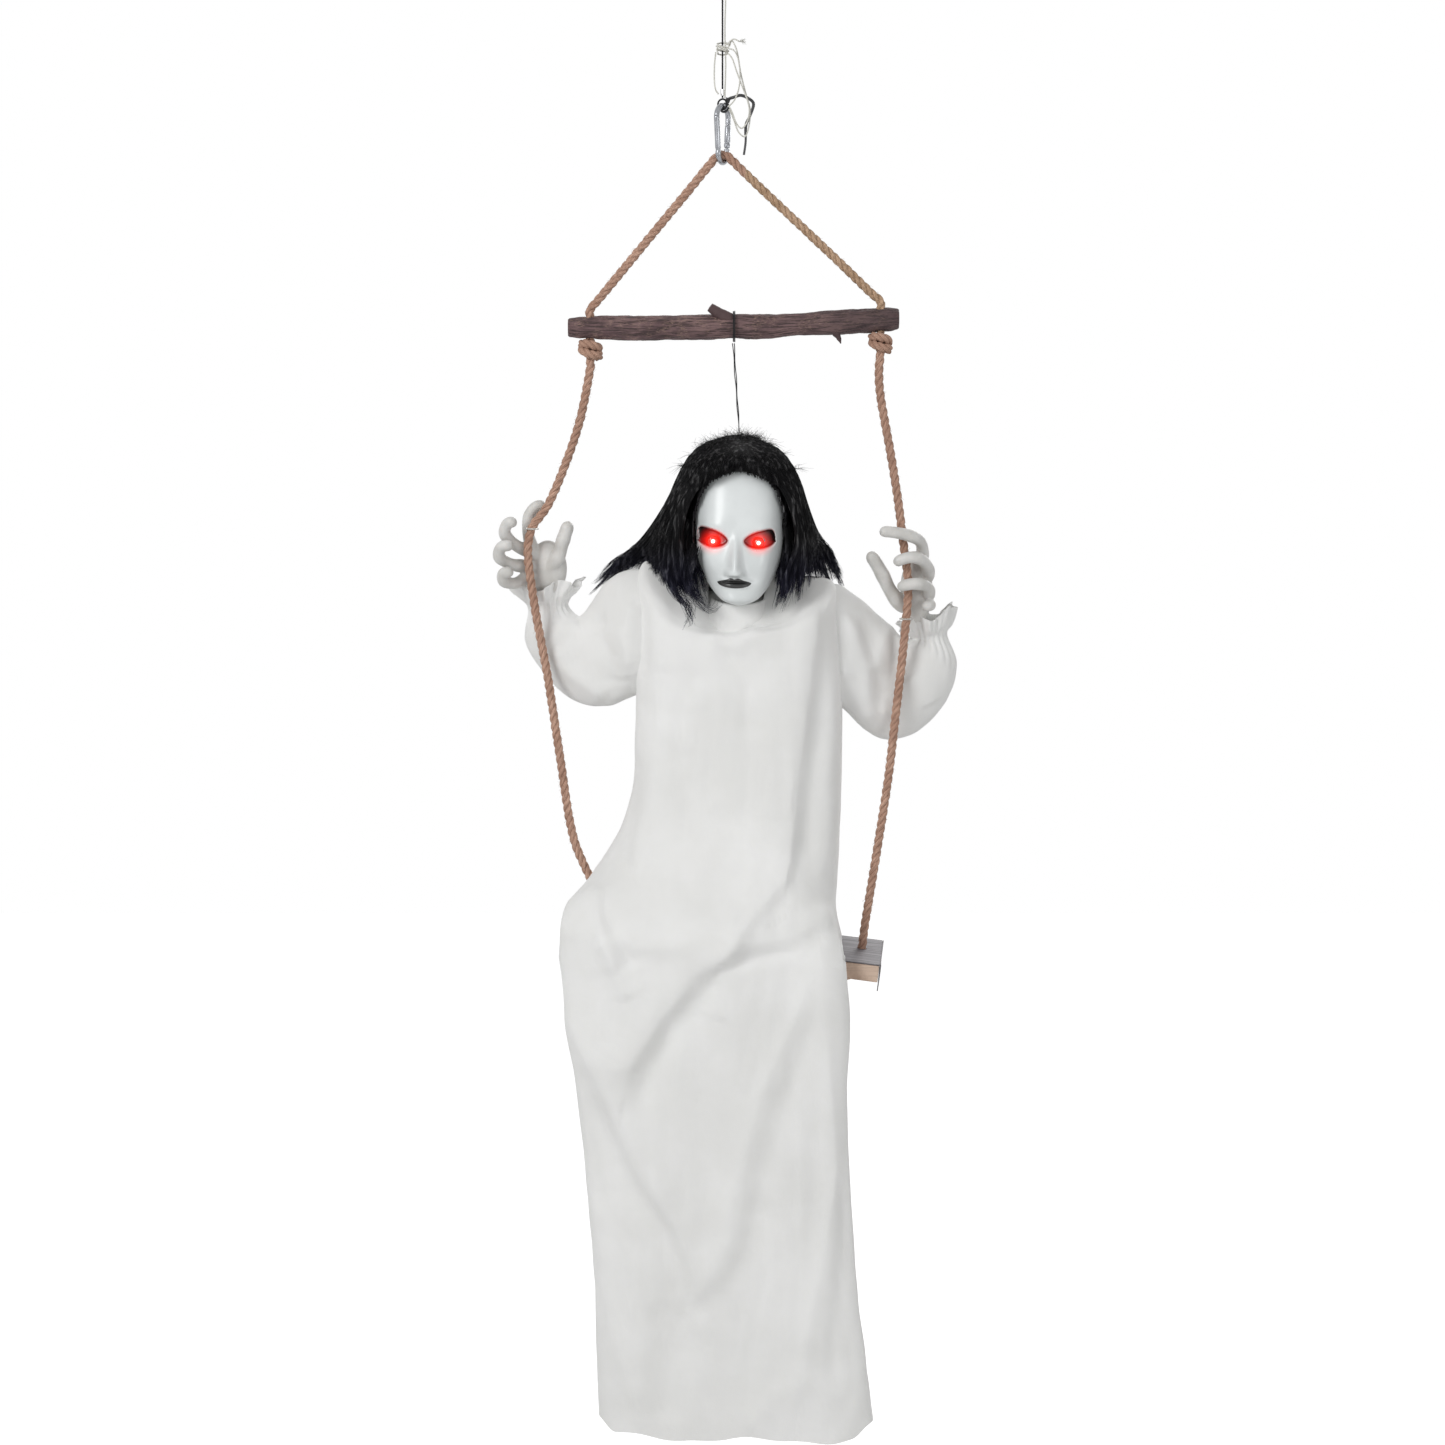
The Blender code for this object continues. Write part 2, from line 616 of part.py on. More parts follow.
def set_on(item, frame):
    """Carries a shape made about the world origin to a frame."""
    item.data.transform(frame)
    return item


def build_carabiner():
    """Wire body, sprung gate and its pin."""
    along, across, top, bottom = carabiner_places()
    frame, opening, lean = gate_side()
    nose = frame @ Vector((0, 0, opening))
    route = [nose]
    for number in range(9):
        angle = -lean + (math.pi + 2 * lean) * number / 8
        route.append(top + CARABINER_TOP_BEND * (along * math.cos(angle)
                                                 + Vector((0, 0, math.sin(angle)))))
    for number in range(8):
        angle = math.pi + lean + (math.pi - 2 * lean) * number / 7
        route.append(bottom + CARABINER_BOTTOM_BEND * (along * math.cos(angle)
                                                       + Vector((0, 0, math.sin(angle)))))
    route.append(frame.translation.copy())
    body = as_mesh(add_tube("carabiner_body", route, CARABINER_WIRE_RADIUS, ZINC, 3))
    pin_z = GATE_RADIUS + GATE_PIN_RADIUS + GAP
    lug = GATE_PIN_RADIUS * 2 + GAP
    slot = GATE_TONGUE + 2 * RUNNING_GAP
    joined(body, set_on(add_box("carabiner_lug", (2 * lug, GATE_TONGUE, pin_z + OVERRUN),
                                (0, 0, (pin_z - OVERRUN) / 2), None), frame))
    joined(body, set_on(add_cylinder("carabiner_lug_eye", lug, (0, -GATE_TONGUE / 2, pin_z),
                                     (0, GATE_TONGUE / 2, pin_z), None, 20), frame))
    bore = GATE_PIN_RADIUS + GAP
    combine(body, set_on(add_cylinder("lug_bore", bore, (0, -OVERRUN, pin_z), (0, OVERRUN, pin_z), None, 16),
                         frame))
    combine(body, set_on(add_box("nose_slot", (4 * CARABINER_WIRE_RADIUS, slot, 2 * GATE_TONGUE_LENGTH),
                                 (0, 0, opening), None), frame))
    foot = pin_z - GATE_RADIUS
    gate_top = opening - RUNNING_GAP * 2
    gate = set_on(add_cylinder("carabiner_gate", GATE_RADIUS, (0, 0, foot), (0, 0, gate_top), ZINC, 24), frame)
    tongue_height = GATE_TONGUE_LENGTH - RUNNING_GAP
    joined(gate, set_on(add_box("gate_tongue", (GATE_RADIUS, GATE_TONGUE, tongue_height + OVERRUN),
                                (0, 0, gate_top + (tongue_height - OVERRUN) / 2), None), frame))
    fork = pin_z + lug + RUNNING_GAP
    combine(gate, set_on(add_box("gate_fork", (4 * GATE_RADIUS, slot, 2 * fork), (0, 0, 0), None), frame))
    combine(gate, set_on(add_cylinder("gate_bore", bore, (0, -2 * OVERRUN, pin_z), (0, 2 * OVERRUN, pin_z),
                                      None, 16), frame))
    set_on(add_cylinder("gate_pin", GATE_PIN_RADIUS, (0, -GATE_RADIUS, pin_z), (0, GATE_RADIUS, pin_z),
                        ZINC, 16), frame)
    build_cable_tie(along, across, top)


def build_cable_tie(along, across, top):
    """Cable tie round the carabiner's top wire, with its head and its bent tail."""
    offset = CARABINER_WIRE_RADIUS + TIE_RADIUS * 2
    rise = math.sqrt(CARABINER_TOP_BEND ** 2 - offset ** 2)
    outward = (along * offset + Vector((0, 0, rise))).normalized()
    tangent = outward.cross(across).normalized()
    slack = TIE_HOOP_RADIUS - TIE_RADIUS - CARABINER_WIRE_RADIUS - GAP
    centre = top + outward * (CARABINER_TOP_BEND + slack)
    head = centre + outward * TIE_HOOP_RADIUS
    tie = as_mesh(add_tube("cable_tie", smooth_route((head,) + TIE_ROUTE, TIE_RADIUS * 9), TIE_RADIUS,
                           BLACK_PLASTIC, 2))
    joined(tie, add_ring("tie_hoop", TIE_HOOP_RADIUS, TIE_RADIUS, centre, tangent, None, 16, 6))
    joined(tie, add_box("tie_head", (TIE_HEAD, TIE_HEAD, TIE_HEAD), head, None, TIE_RADIUS / 2))


def branch_point(share):
    """Centre and radius of the branch at a share of its length."""
    index = max(0, min(len(BRANCH_STATION_SHARES) - 2,
                       sum(place_share <= share for place_share in BRANCH_STATION_SHARES) - 1))
    low, high = BRANCH_STATION_SHARES[index], BRANCH_STATION_SHARES[index + 1]
    mix = (share - low) / (high - low)
    radius_share = BRANCH_RADIUS_SHARES[index] * (1 - mix) + BRANCH_RADIUS_SHARES[index + 1] * mix
    x = share * BRANCH_LENGTH
    lift = BRANCH_RADIUS * BRANCH_SAG_SHARE * ((2 * share) ** 2)
    centre = Vector((BRANCH_X + x, 0, BRANCH_Z - x * math.tan(BRANCH_TILT) + lift))
    return centre, BRANCH_RADIUS * radius_share


def rope_seat(x):
    """Height of the branch's underside where a rope passes through it."""
    centre, radius = branch_point((x - BRANCH_X) / BRANCH_LENGTH)
    return centre.z - radius


def knot_z(x):
    """Height of the middle of the knot under the branch."""
    half = KNOT_STEP + KNOT_ROPE_RADIUS + KNOT_RADIUS * math.sin(KNOT_LEAN)
    return rope_seat(x) - KNOT_SLACK - half


def build_branch():
    """Branch with its stub and thorn, bored for the two ropes."""
    rings = []
    sides = 16
    for number, share in enumerate(BRANCH_STATION_SHARES):
        centre, radius = branch_point(share)
        ring = []
        for side in range(sides):
            angle = math.tau * side / sides
            bump = 1 + 0.05 * math.sin(3 * angle + 2.1 * number) + 0.03 * math.sin(5 * angle - number)
            ring.append(centre + Vector((0, math.cos(angle), math.sin(angle))) * radius * bump)
        rings.append(ring)
    branch = loft("branch", rings, BARK, closed_ends=True)
    for name, share, radius, length, lean in (
        ("branch_stub", -0.045, STUB_RADIUS, STUB_LENGTH, math.radians(-42)),
        ("branch_thorn", 0.305, THORN_RADIUS, THORN_LENGTH, math.radians(158)),
    ):
        centre, thickness = branch_point(share)
        towards = Vector((math.sin(lean), -0.35, math.cos(lean))).normalized()
        tip = centre + towards * (thickness + length / 2)
        joined(branch, add_cylinder(name, radius, centre, tip, None, 12, end_radius=radius / 3))
    for name, x in (("left_rope_hole", ROPE_LEFT_X), ("right_rope_hole", ROPE_RIGHT_X)):
        centre, radius = branch_point((x - BRANCH_X) / BRANCH_LENGTH)
        up = Vector((0, 0, 2 * BRANCH_RADIUS))
        combine(branch, add_cylinder(name, ROPE_RADIUS + ROPE_HOLE_CLEARANCE, centre - up, centre + up,
                                     None, 20))


def build_ropes():
    """Rope over the carabiner, the two knots and the rope that goes down round the seat."""
    along, across, top, bottom = carabiner_places()
    wire_z = bottom.z - CARABINER_BOTTOM_BEND
    bend = CARABINER_WIRE_RADIUS + 3 * GAP + ROPE_RADIUS
    stretch = 1 / math.sin(CARABINER_YAW)
    sides = {}
    for side, x in ((-1, ROPE_LEFT_X), (1, ROPE_RIGHT_X)):
        centre, radius = branch_point((x - BRANCH_X) / BRANCH_LENGTH)
        foot = Vector((x, 0, rope_seat(x)))
        above = Vector((x, 0, centre.z + radius + 1.4 * ROPE_RADIUS))
        sides[side] = [foot, Vector((x, 0, centre.z)), Vector((x, 0, centre.z + radius)), above]
    route = []
    for side in (-1, 1):
        half = list(sides[side])
        above = half[-1]
        shoulder = Vector((side * bend * stretch * 0.98, 0, wire_z + bend * 0.42))
        for share in (0.08, 0.25, 0.5, 0.8):
            half.append(above.lerp(shoulder, share))
        half.append(shoulder)
        half.append(Vector((side * bend * stretch * 0.62, 0, wire_z + bend * 0.86)))
        half.append(Vector((0, 0, wire_z + bend * 1.04)))
        route += half if side < 0 else half[-2::-1]
    add_tube("rope_upper", smooth_route(route, ROPE_RADIUS * 5), ROPE_RADIUS, JUTE, 1)
    for name, x in (("rope_knot_left", ROPE_LEFT_X), ("rope_knot_right", ROPE_RIGHT_X)):
        middle = Vector((x, 0, knot_z(x)))
        half = KNOT_CORE_HEIGHT / 2
        top_face = rope_seat(x) - 2 * GAP
        knot = add_turned(name, [
            (0.0, top_face), (ROPE_RADIUS / 4, top_face), (ROPE_RADIUS, middle.z),
            (ROPE_RADIUS, middle.z - half), (0.0, middle.z - half),
        ], (x, 0, 0), (0, 0, 1), JUTE, 16)
        for number, turn in enumerate((-1, 1)):
            axis = (math.sin(turn * KNOT_LEAN), math.sin(KNOT_LEAN) / 2, math.cos(KNOT_LEAN))
            joined(knot, add_ring(f"{name}_turn_{number}", KNOT_RADIUS, KNOT_ROPE_RADIUS,
                                  middle + Vector((0, 0, turn * KNOT_STEP)), axis, None, 12, 6))
    left = [Vector((ROPE_LEFT_X, 0, knot_z(ROPE_LEFT_X) - KNOT_CORE_HEIGHT / 2 - GAP))]
    right = [Vector((ROPE_RIGHT_X, 0, knot_z(ROPE_RIGHT_X) - KNOT_CORE_HEIGHT / 2 - GAP))]
    straight = Vector((0, 0, ROPE_RADIUS))
    left += [left[0] - straight] + [Vector(point) for point in ROPE_LEFT_ROUTE]
    right += [right[0] - straight] + [Vector(point) for point in ROPE_RIGHT_ROUTE]
    under = [on_seat(-share * SEAT_HOLE_OFFSET, SEAT_HOLE_BACK, z) for share, z in UNDER_SEAT_ROUTE]
    under += [on_seat(share * SEAT_HOLE_OFFSET, SEAT_HOLE_BACK, z) for share, z in UNDER_SEAT_ROUTE[-2::-1]]
    add_tube("rope_lower", smooth_route(left + under + right[::-1], ROPE_RADIUS * 6), ROPE_RADIUS, JUTE, 1)


def build_head_string():
    """String that is looped round the branch and goes down to the crown."""
    centre, radius = branch_point((HEAD_STRING_X - BRANCH_X) / BRANCH_LENGTH)
    loop = radius * 1.08 + HEAD_STRING_RADIUS + RUNNING_GAP
    add_ring("string_loop", loop, HEAD_STRING_RADIUS, (HEAD_STRING_X, 0, centre.z), (1, 0, 0),
             BLACK_PLASTIC, 16, 6)


def build_seat():
    """Foam board with a printed grey skin over its top and ends."""
    frame = seat_frame()
    core_z = -SEAT_SKIN - GAP - SEAT_CORE_THICKNESS / 2
    board = set_on(add_box("seat_board", (SEAT_LENGTH, SEAT_DEPTH, SEAT_CORE_THICKNESS), (0, 0, core_z),
                           SEAT_FOAM), frame)
    wrap = SEAT_LENGTH + 2 * (GAP + SEAT_SKIN)
    skin_height = SEAT_SKIN + GAP + SEAT_CORE_THICKNESS
    skin = set_on(add_box("seat_skin", (wrap, SEAT_DEPTH, skin_height), (0, 0, -skin_height / 2),
                          SEAT_PRINT), frame)
    inside = skin_height - SEAT_SKIN + OVERRUN
    combine(skin, set_on(add_box("skin_hollow", (SEAT_LENGTH + 2 * GAP, SEAT_DEPTH + 2 * OVERRUN, inside),
                                 (0, 0, -SEAT_SKIN - inside / 2), None), frame))
    for side in (-1, 1):
        hole = set_on(add_cylinder(f"seat_hole_{side + 1}", ROPE_RADIUS + ROPE_HOLE_CLEARANCE,
                                   (side * SEAT_HOLE_OFFSET, SEAT_HOLE_BACK, -2 * skin_height),
                                   (side * SEAT_HOLE_OFFSET, SEAT_HOLE_BACK, skin_height), None, 20), frame)
        combine(board, hole)
        combine(skin, hole)


# Section shares: height, left, right, front, back, how far the front hangs and how far the gown's
# left and right shoulders rise, each of its own size
TORSO_SHARES = (
    (0.000, 0.30, 0.30, 0.50, 0.50), (0.025, 0.72, 0.72, 0.72, 0.66), (0.060, 0.88, 0.88, 0.84, 0.80),
    (0.180, 0.84, 0.84, 0.94, 0.94), (0.420, 0.78, 0.78, 0.84, 0.88), (0.620, 0.90, 0.90, 0.98, 1.00),
    (0.820, 1.00, 1.00, 0.98, 1.08), (1.000, 0.98, 0.98, 0.98, 1.06),
)
GOWN_SHARES = (
    (0.000, -0.26, 0.36, 0.28, 0.36, 1.00, 0.000, 0.000),
    (0.013, -0.52, 0.62, 0.36, 0.44, 0.85, 0.040, 0.016),
    (0.042, -0.635, 0.77, 0.42, 0.52, 0.62, 0.058, 0.030), (0.100, -0.675, 0.81, 0.48, 0.62, 0.30, 0.050, 0.030),
    (0.300, -0.685, 0.855, 0.49, 0.66, 0.0, 0.0, 0.0), (0.540, -0.70, 0.86, 0.50, 0.66, 0.0, 0.0, 0.0),
    (0.700, -0.78, 0.84, 0.56, 0.66, 0.0, 0.0, 0.0), (0.820, -0.90, 0.86, 0.72, 0.66, 0.0, 0.0, 0.0),
    (0.915, -0.97, 0.92, 0.90, 0.66, 0.0, 0.0, 0.0), (1.000, -1.00, 0.97, 1.00, 0.66, 0.0, 0.0, 0.0),
)
GOWN_NECK_FRONT_SHARE = 1.10
GOWN_NECK_BACK_SHARE = 0.04
SKIRT_LEAN_SHARE = 0.24
GOWN_FOLD_SHARES = ((5, 0.018, 0.4), (9, 0.014, 1.3), (14, 0.009, 2.6))
HEAD_SHARES = (
    (0.000, 0.15, -0.13, 0.13), (0.045, 0.60, -0.46, 0.50), (0.160, 0.88, -0.70, 0.78),
    (0.350, 1.00, -0.87, 0.94), (0.540, 0.97, -0.93, 0.95), (0.690, 0.88, -0.97, 0.78),
    (0.830, 0.67, -1.00, 0.44), (0.945, 0.40, -0.98, -0.34), (1.000, 0.18, -0.92, -0.56),
)
WIG_SHARES = (
    (0.000, 0.12, 0.11, -0.30, 0.25), (0.075, 0.35, 0.29, -0.62, 0.60), (0.212, 0.54, 0.53, -0.80, 0.86),
    (0.377, 0.65, 0.66, -0.86, 0.98), (0.569, 0.79, 0.72, -0.84, 1.00), (0.845, 0.98, 0.84, -0.74, 0.92),
    (1.000, 1.00, 0.85, -0.66, 0.84),
)
LEFT_SLEEVE_ENDS = (
    ((-0.0960, 0.012, -0.8420), (-0.1000, 0.012, -0.9860), 0.040), ((-0.1250, 0.020, -0.8380), (-0.1200, 0.024, -0.9940), 0.044),
    ((-0.1560, 0.030, -0.8480), (-0.1600, 0.036, -1.0120), 0.040), ((-0.1780, 0.040, -0.8700), (-0.2000, 0.044, -1.0060), 0.036),
    ((-0.1900, 0.046, -0.8860), (-0.2380, 0.050, -0.9750), 0.034), ((-0.1980, 0.048, -0.8880), (-0.2700, 0.052, -0.9250), 0.030),
    ((-0.2110, 0.048, -0.8740), (-0.2640, 0.050, -0.8810), 0.022), ((-0.2040, 0.047, -0.8600), (-0.2720, 0.048, -0.8660), 0.031),
    ((-0.1900, 0.046, -0.8420), (-0.2860, 0.048, -0.8500), 0.039),
)
RIGHT_SLEEVE_ENDS = (
    ((0.1320, 0.012, -0.8560), (0.1400, 0.012, -0.9960), 0.040), ((0.1560, 0.020, -0.8520), (0.1640, 0.024, -1.0120), 0.044),
    ((0.1840, 0.030, -0.8640), (0.1960, 0.036, -1.0420), 0.042), ((0.2080, 0.040, -0.8840), (0.2260, 0.044, -1.0580), 0.040),
    ((0.2220, 0.046, -0.8960), (0.2640, 0.050, -1.0480), 0.036), ((0.2340, 0.048, -0.9080), (0.3020, 0.052, -1.0100), 0.034),
    ((0.2440, 0.048, -0.9180), (0.3180, 0.050, -0.9560), 0.030), ((0.2560, 0.048, -0.9200), (0.3040, 0.050, -0.9160), 0.022),
    ((0.2480, 0.047, -0.9110), (0.3100, 0.048, -0.8980), 0.029), ((0.2400, 0.046, -0.9020), (0.3160, 0.048, -0.8760), 0.034),
)
LEFT_ARM_ROUTE = (
    (-0.060, 0.022, -0.872), (-0.090, 0.024, -0.885), (-0.140, 0.040, -0.945),
    (-0.190, 0.050, -0.968), (-0.226, 0.051, -0.928), (-0.240, 0.049, -0.878),
    (-0.244, 0.040, -0.850),
)
RIGHT_ARM_ROUTE = (
    (0.085, 0.022, -0.874), (0.115, 0.024, -0.890), (0.170, 0.042, -0.960),
    (0.226, 0.054, -0.998), (0.268, 0.054, -0.962), (0.280, 0.050, -0.912),
    (0.268, 0.040, -0.884),
)
LEFT_TIE_Z = -0.768
RIGHT_TIE_Z = -0.889
LEFT_PALM = (-0.2359, 0.026, -0.8229)
RIGHT_PALM = (0.2622, 0.026, -0.8520)
LEFT_FINGERS = (
    ((-0.2327, 0.020, -0.8205), (-0.2206, 0.012, -0.8042), (-0.2149, 0.006, -0.7860), (-0.2079, 0.002, -0.7659),
     (-0.2053, 0.000, -0.7582)),
    ((-0.2546, 0.022, -0.7989), (-0.2618, 0.020, -0.7749), (-0.2596, 0.016, -0.7510), (-0.2491, 0.015, -0.7386),
     (-0.2377, 0.016, -0.7391)),
    ((-0.2584, 0.020, -0.8013), (-0.2775, 0.008, -0.7907), (-0.2912, -0.006, -0.7745), (-0.2866, -0.016, -0.7601),
     (-0.2747, -0.022, -0.7582)),
    ((-0.2605, 0.020, -0.8195), (-0.2819, 0.008, -0.8166), (-0.2986, -0.006, -0.8061), (-0.2954, -0.016, -0.7917),
     (-0.2797, -0.022, -0.7888)),
    ((-0.2606, 0.020, -0.8330), (-0.2783, 0.008, -0.8416), (-0.2928, -0.004, -0.8378), (-0.2931, -0.012, -0.8272),
     (-0.2803, -0.018, -0.8243)),
)
RIGHT_FINGERS = (
    ((0.2446, 0.020, -0.8731), (0.2276, 0.014, -0.8541), (0.2147, 0.008, -0.8291), (0.2028, 0.002, -0.8090),
     (0.1955, 0.000, -0.8003)),
    ((0.2690, 0.016, -0.8109), (0.2660, -0.004, -0.7870), (0.2500, -0.0170, -0.7764), (0.2222, -0.018, -0.7711),
     (0.2094, -0.016, -0.7726)),
    ((0.2778, 0.016, -0.8301), (0.2700, -0.006, -0.8118), (0.2544, -0.0175, -0.8051), (0.2372, -0.017, -0.8094),
     (0.2326, -0.015, -0.8166)),
    ((0.2780, 0.016, -0.8580), (0.2740, -0.004, -0.8454), (0.2586, -0.0175, -0.8406), (0.2423, -0.0175, -0.8435),
     (0.2377, -0.015, -0.8502)),
    ((0.2750, 0.022, -0.8690), (0.2790, 0.008, -0.8710), (0.2700, -0.002, -0.8720)),
)


def figure_frame():
    """Frame of the gown's lower part and the leg drive: the seat's place and turn, kept level."""
    return Matrix.Translation((SEAT_X, SEAT_Y, SEAT_TOP_Z)) @ Matrix.Rotation(SEAT_YAW, 4, "Z")


def section(left, right, front, back, sides, power=2.4, ripples=(), phase=0.0):
    """Points of a rounded section from its four reaches, with optional folds."""
    points = []
    for side in range(sides):
        angle = math.tau * side / sides
        cosine, sine = math.cos(angle), math.sin(angle)
        reach_x = right if cosine > 0 else -left
        reach_y = back if sine > 0 else front
        x = math.copysign(abs(cosine) ** (2 / power), cosine) * reach_x
        y = math.copysign(abs(sine) ** (2 / power), sine) * reach_y
        ripple = 1.0 + sum(size * math.sin(count * angle + shift + phase) for count, size, shift in ripples)
        points.append(Vector((x * ripple, y * ripple, 0)))
    return points


def seat_block(name, lift=GAP):
    """Cutter of the seat's volume and all below it."""
    deep = 4 * SEAT_CORE_THICKNESS
    return set_on(add_box(name, (2 * SEAT_LENGTH, SEAT_DEPTH + 2 * SEAT_FRONT_CLEARANCE, deep + lift),
                          (0, 0, (lift - deep) / 2), None), seat_frame())


def torso_solid(name, inset=0.0):
    """Closed solid of the torso, shrunk by an inset."""
    rings = []
    for height, left, right, front, back in TORSO_SHARES:
        z = TORSO_TOP_Z - height * TORSO_HEIGHT
        if inset:
            z = min(max(z, TORSO_TOP_Z - TORSO_HEIGHT + inset), TORSO_TOP_Z - inset)
        ring = section(-left * TORSO_HALF_WIDTH + inset, right * TORSO_HALF_WIDTH - inset,
                       front * TORSO_HALF_DEPTH - inset, back * TORSO_HALF_DEPTH - inset, TORSO_SIDES)
        rings.append([Vector((TORSO_X, TORSO_Y, z)) + point for point in ring])
    return loft(name, rings, WHITE_PLASTIC, closed_ends=True)


def build_torso():
    """Two blown halves, the neck post in their top, and arm sockets."""
    block = seat_block("torso_seat_cut")
    hollow = torso_solid("torso_hollow", TORSO_WALL)
    door_window = battery_box_block("torso_window", 2 * GAP, through=True)
    size = 2 * TORSO_HEIGHT
    for name, side in (("torso_front", -1), ("torso_back", 1)):
        half = torso_solid(name)
        combine(half, hollow)
        combine(half, add_box(name + "_split", (size, size, 2 * size),
                              (TORSO_X, TORSO_Y - side * (size - GAP) / 2, TORSO_TOP_Z), None))
        combine(half, block)
        for arm, route in (("left", LEFT_ARM_ROUTE), ("right", RIGHT_ARM_ROUTE)):
            combine(half, as_mesh(add_tube(f"{name}_{arm}_socket", smooth_route(route[:4], ARM_RADIUS * 2),
                                           ARM_RADIUS + GAP, None, 3)))
        combine(half, add_cylinder(name + "_neck_hole", NECK_RADIUS + GAP,
                                   (NECK_X, NECK_Y, TORSO_TOP_Z - NECK_RADIUS),
                                   (NECK_X, NECK_Y, NECK_TOP_Z), None, 24))
        if side > 0:
            combine(half, door_window)
    collar = TORSO_WALL
    add_turned("neck_post", [
        (0.0, NECK_TOP_Z), (NECK_RADIUS, NECK_TOP_Z), (NECK_RADIUS, TORSO_TOP_Z + collar + GAP),
        (NECK_RADIUS + collar, TORSO_TOP_Z + collar + GAP), (NECK_RADIUS + collar, TORSO_TOP_Z + GAP),
        (NECK_RADIUS, TORSO_TOP_Z + GAP), (NECK_RADIUS, TORSO_TOP_Z - NECK_RADIUS + GAP),
        (0.0, TORSO_TOP_Z - NECK_RADIUS + GAP),
    ], (NECK_X, NECK_Y, 0), (0, 0, 1), WHITE_PLASTIC, 28)


def battery_back():
    """Y of the battery box's back face: just outside the torso's back."""
    return TORSO_Y + TORSO_HALF_DEPTH + BATTERY_BOX_WALL


def battery_box_block(name, spread, through=False):
    """A block of the battery box's outside."""
    depth = BATTERY_BOX_DEPTH + (4 * OVERRUN if through else 0.0)
    y = battery_back() - BATTERY_BOX_DEPTH + depth / 2
    return add_box(name, (BATTERY_BOX_WIDTH + spread, depth, BATTERY_BOX_HEIGHT + spread),
                   (TORSO_X, y, BATTERY_BOX_Z), None)


def build_electronics():
    """Battery box with its door, cells and switch, and the board with its speaker."""
    back = battery_back()
    width, wall = BATTERY_BOX_WIDTH, BATTERY_BOX_WALL
    box = battery_box_block("battery_box", 0.0)
    box.data.materials.append(GREY_PLASTIC)
    door_z = BATTERY_BOX_Z + (BATTERY_BOX_HEIGHT - BATTERY_DOOR_HEIGHT) / 2
    bay_height = BATTERY_DOOR_HEIGHT - 2 * wall
    combine(box, add_box("battery_bay", (width - 2 * wall, 2 * (BATTERY_BOX_DEPTH - wall), bay_height),
                         (TORSO_X, back, door_z), None))
    door_y = back + GAP + BATTERY_DOOR_THICKNESS / 2
    door = add_box("battery_door", (width, BATTERY_DOOR_THICKNESS, BATTERY_DOOR_HEIGHT),
                   (TORSO_X, door_y, door_z), GREY_PLASTIC)
    grip = BATTERY_DOOR_THICKNESS
    joined(door, add_box("door_grip", (width / 3, grip, grip), (TORSO_X, door_y + grip / 2,
                         door_z - BATTERY_DOOR_HEIGHT / 2 + 2 * grip), None))
    cell_y = back - BATTERY_BOX_DEPTH + wall + GAP + CELL_RADIUS
    pitch = 2 * CELL_RADIUS + 2 * GAP
    for number in range(3):
        z = door_z - bay_height / 2 + GAP + CELL_RADIUS + number * pitch
        turn = 1 if number % 2 else -1
        add_turned(f"battery_cell_{number + 1}", [
            (0.0, CELL_LENGTH / 2), (CELL_RADIUS / 3, CELL_LENGTH / 2),
            (CELL_RADIUS / 3, CELL_LENGTH / 2 - CELL_RADIUS / 5),
            (CELL_RADIUS, CELL_LENGTH / 2 - CELL_RADIUS / 5),
            (CELL_RADIUS, -CELL_LENGTH / 2), (0.0, -CELL_LENGTH / 2),
        ], (TORSO_X, cell_y, z), (turn, 0, 0), CELL, 20)
    switch_z = BATTERY_BOX_Z - BATTERY_BOX_HEIGHT / 2 + (BATTERY_BOX_HEIGHT - BATTERY_DOOR_HEIGHT) / 2
    combine(box, add_box("switch_slot", (SWITCH_WIDTH + SWITCH_TRAVEL + 2 * RUNNING_GAP,
                                         BATTERY_BOX_DEPTH, SWITCH_HEIGHT + 2 * RUNNING_GAP),
                         (TORSO_X + SWITCH_TRAVEL / 2, back, switch_z), None))
    add_box("mode_switch", (SWITCH_WIDTH, BATTERY_BOX_DEPTH / 2 - GAP + SWITCH_STAND, SWITCH_HEIGHT),
            (TORSO_X, back + (SWITCH_STAND - BATTERY_BOX_DEPTH / 2 + GAP) / 2, switch_z), BLACK_PLASTIC)
    board_y = back - BATTERY_BOX_DEPTH - GAP - BOARD_THICKNESS / 2
    board = add_box("control_board", (BOARD_WIDTH, BOARD_THICKNESS, BOARD_HEIGHT),
                    (TORSO_X, board_y, BATTERY_BOX_Z), CIRCUIT)
    chip = BOARD_THICKNESS
    joined(board, add_box("board_chip", (BOARD_WIDTH / 4, chip, BOARD_WIDTH / 4),
                          (TORSO_X, board_y - chip, BATTERY_BOX_Z - BOARD_HEIGHT / 3), None))
    speaker_y = board_y - BOARD_THICKNESS / 2 - GAP
    add_turned("speaker", [
        (0.0, SPEAKER_DEPTH * 0.6), (SPEAKER_RADIUS * 0.3, SPEAKER_DEPTH * 0.6),
        (SPEAKER_RADIUS * 0.9, SPEAKER_DEPTH), (SPEAKER_RADIUS, SPEAKER_DEPTH),
        (SPEAKER_RADIUS, SPEAKER_DEPTH * 0.75), (SPEAKER_RADIUS * 0.5, 0.0), (0.0, 0.0),
    ], (TORSO_X, speaker_y, BATTERY_BOX_Z + BOARD_HEIGHT / 4), (0, -1, 0), BLACK_PLASTIC, 24)


def involute(angle):
    return math.tan(angle) - angle


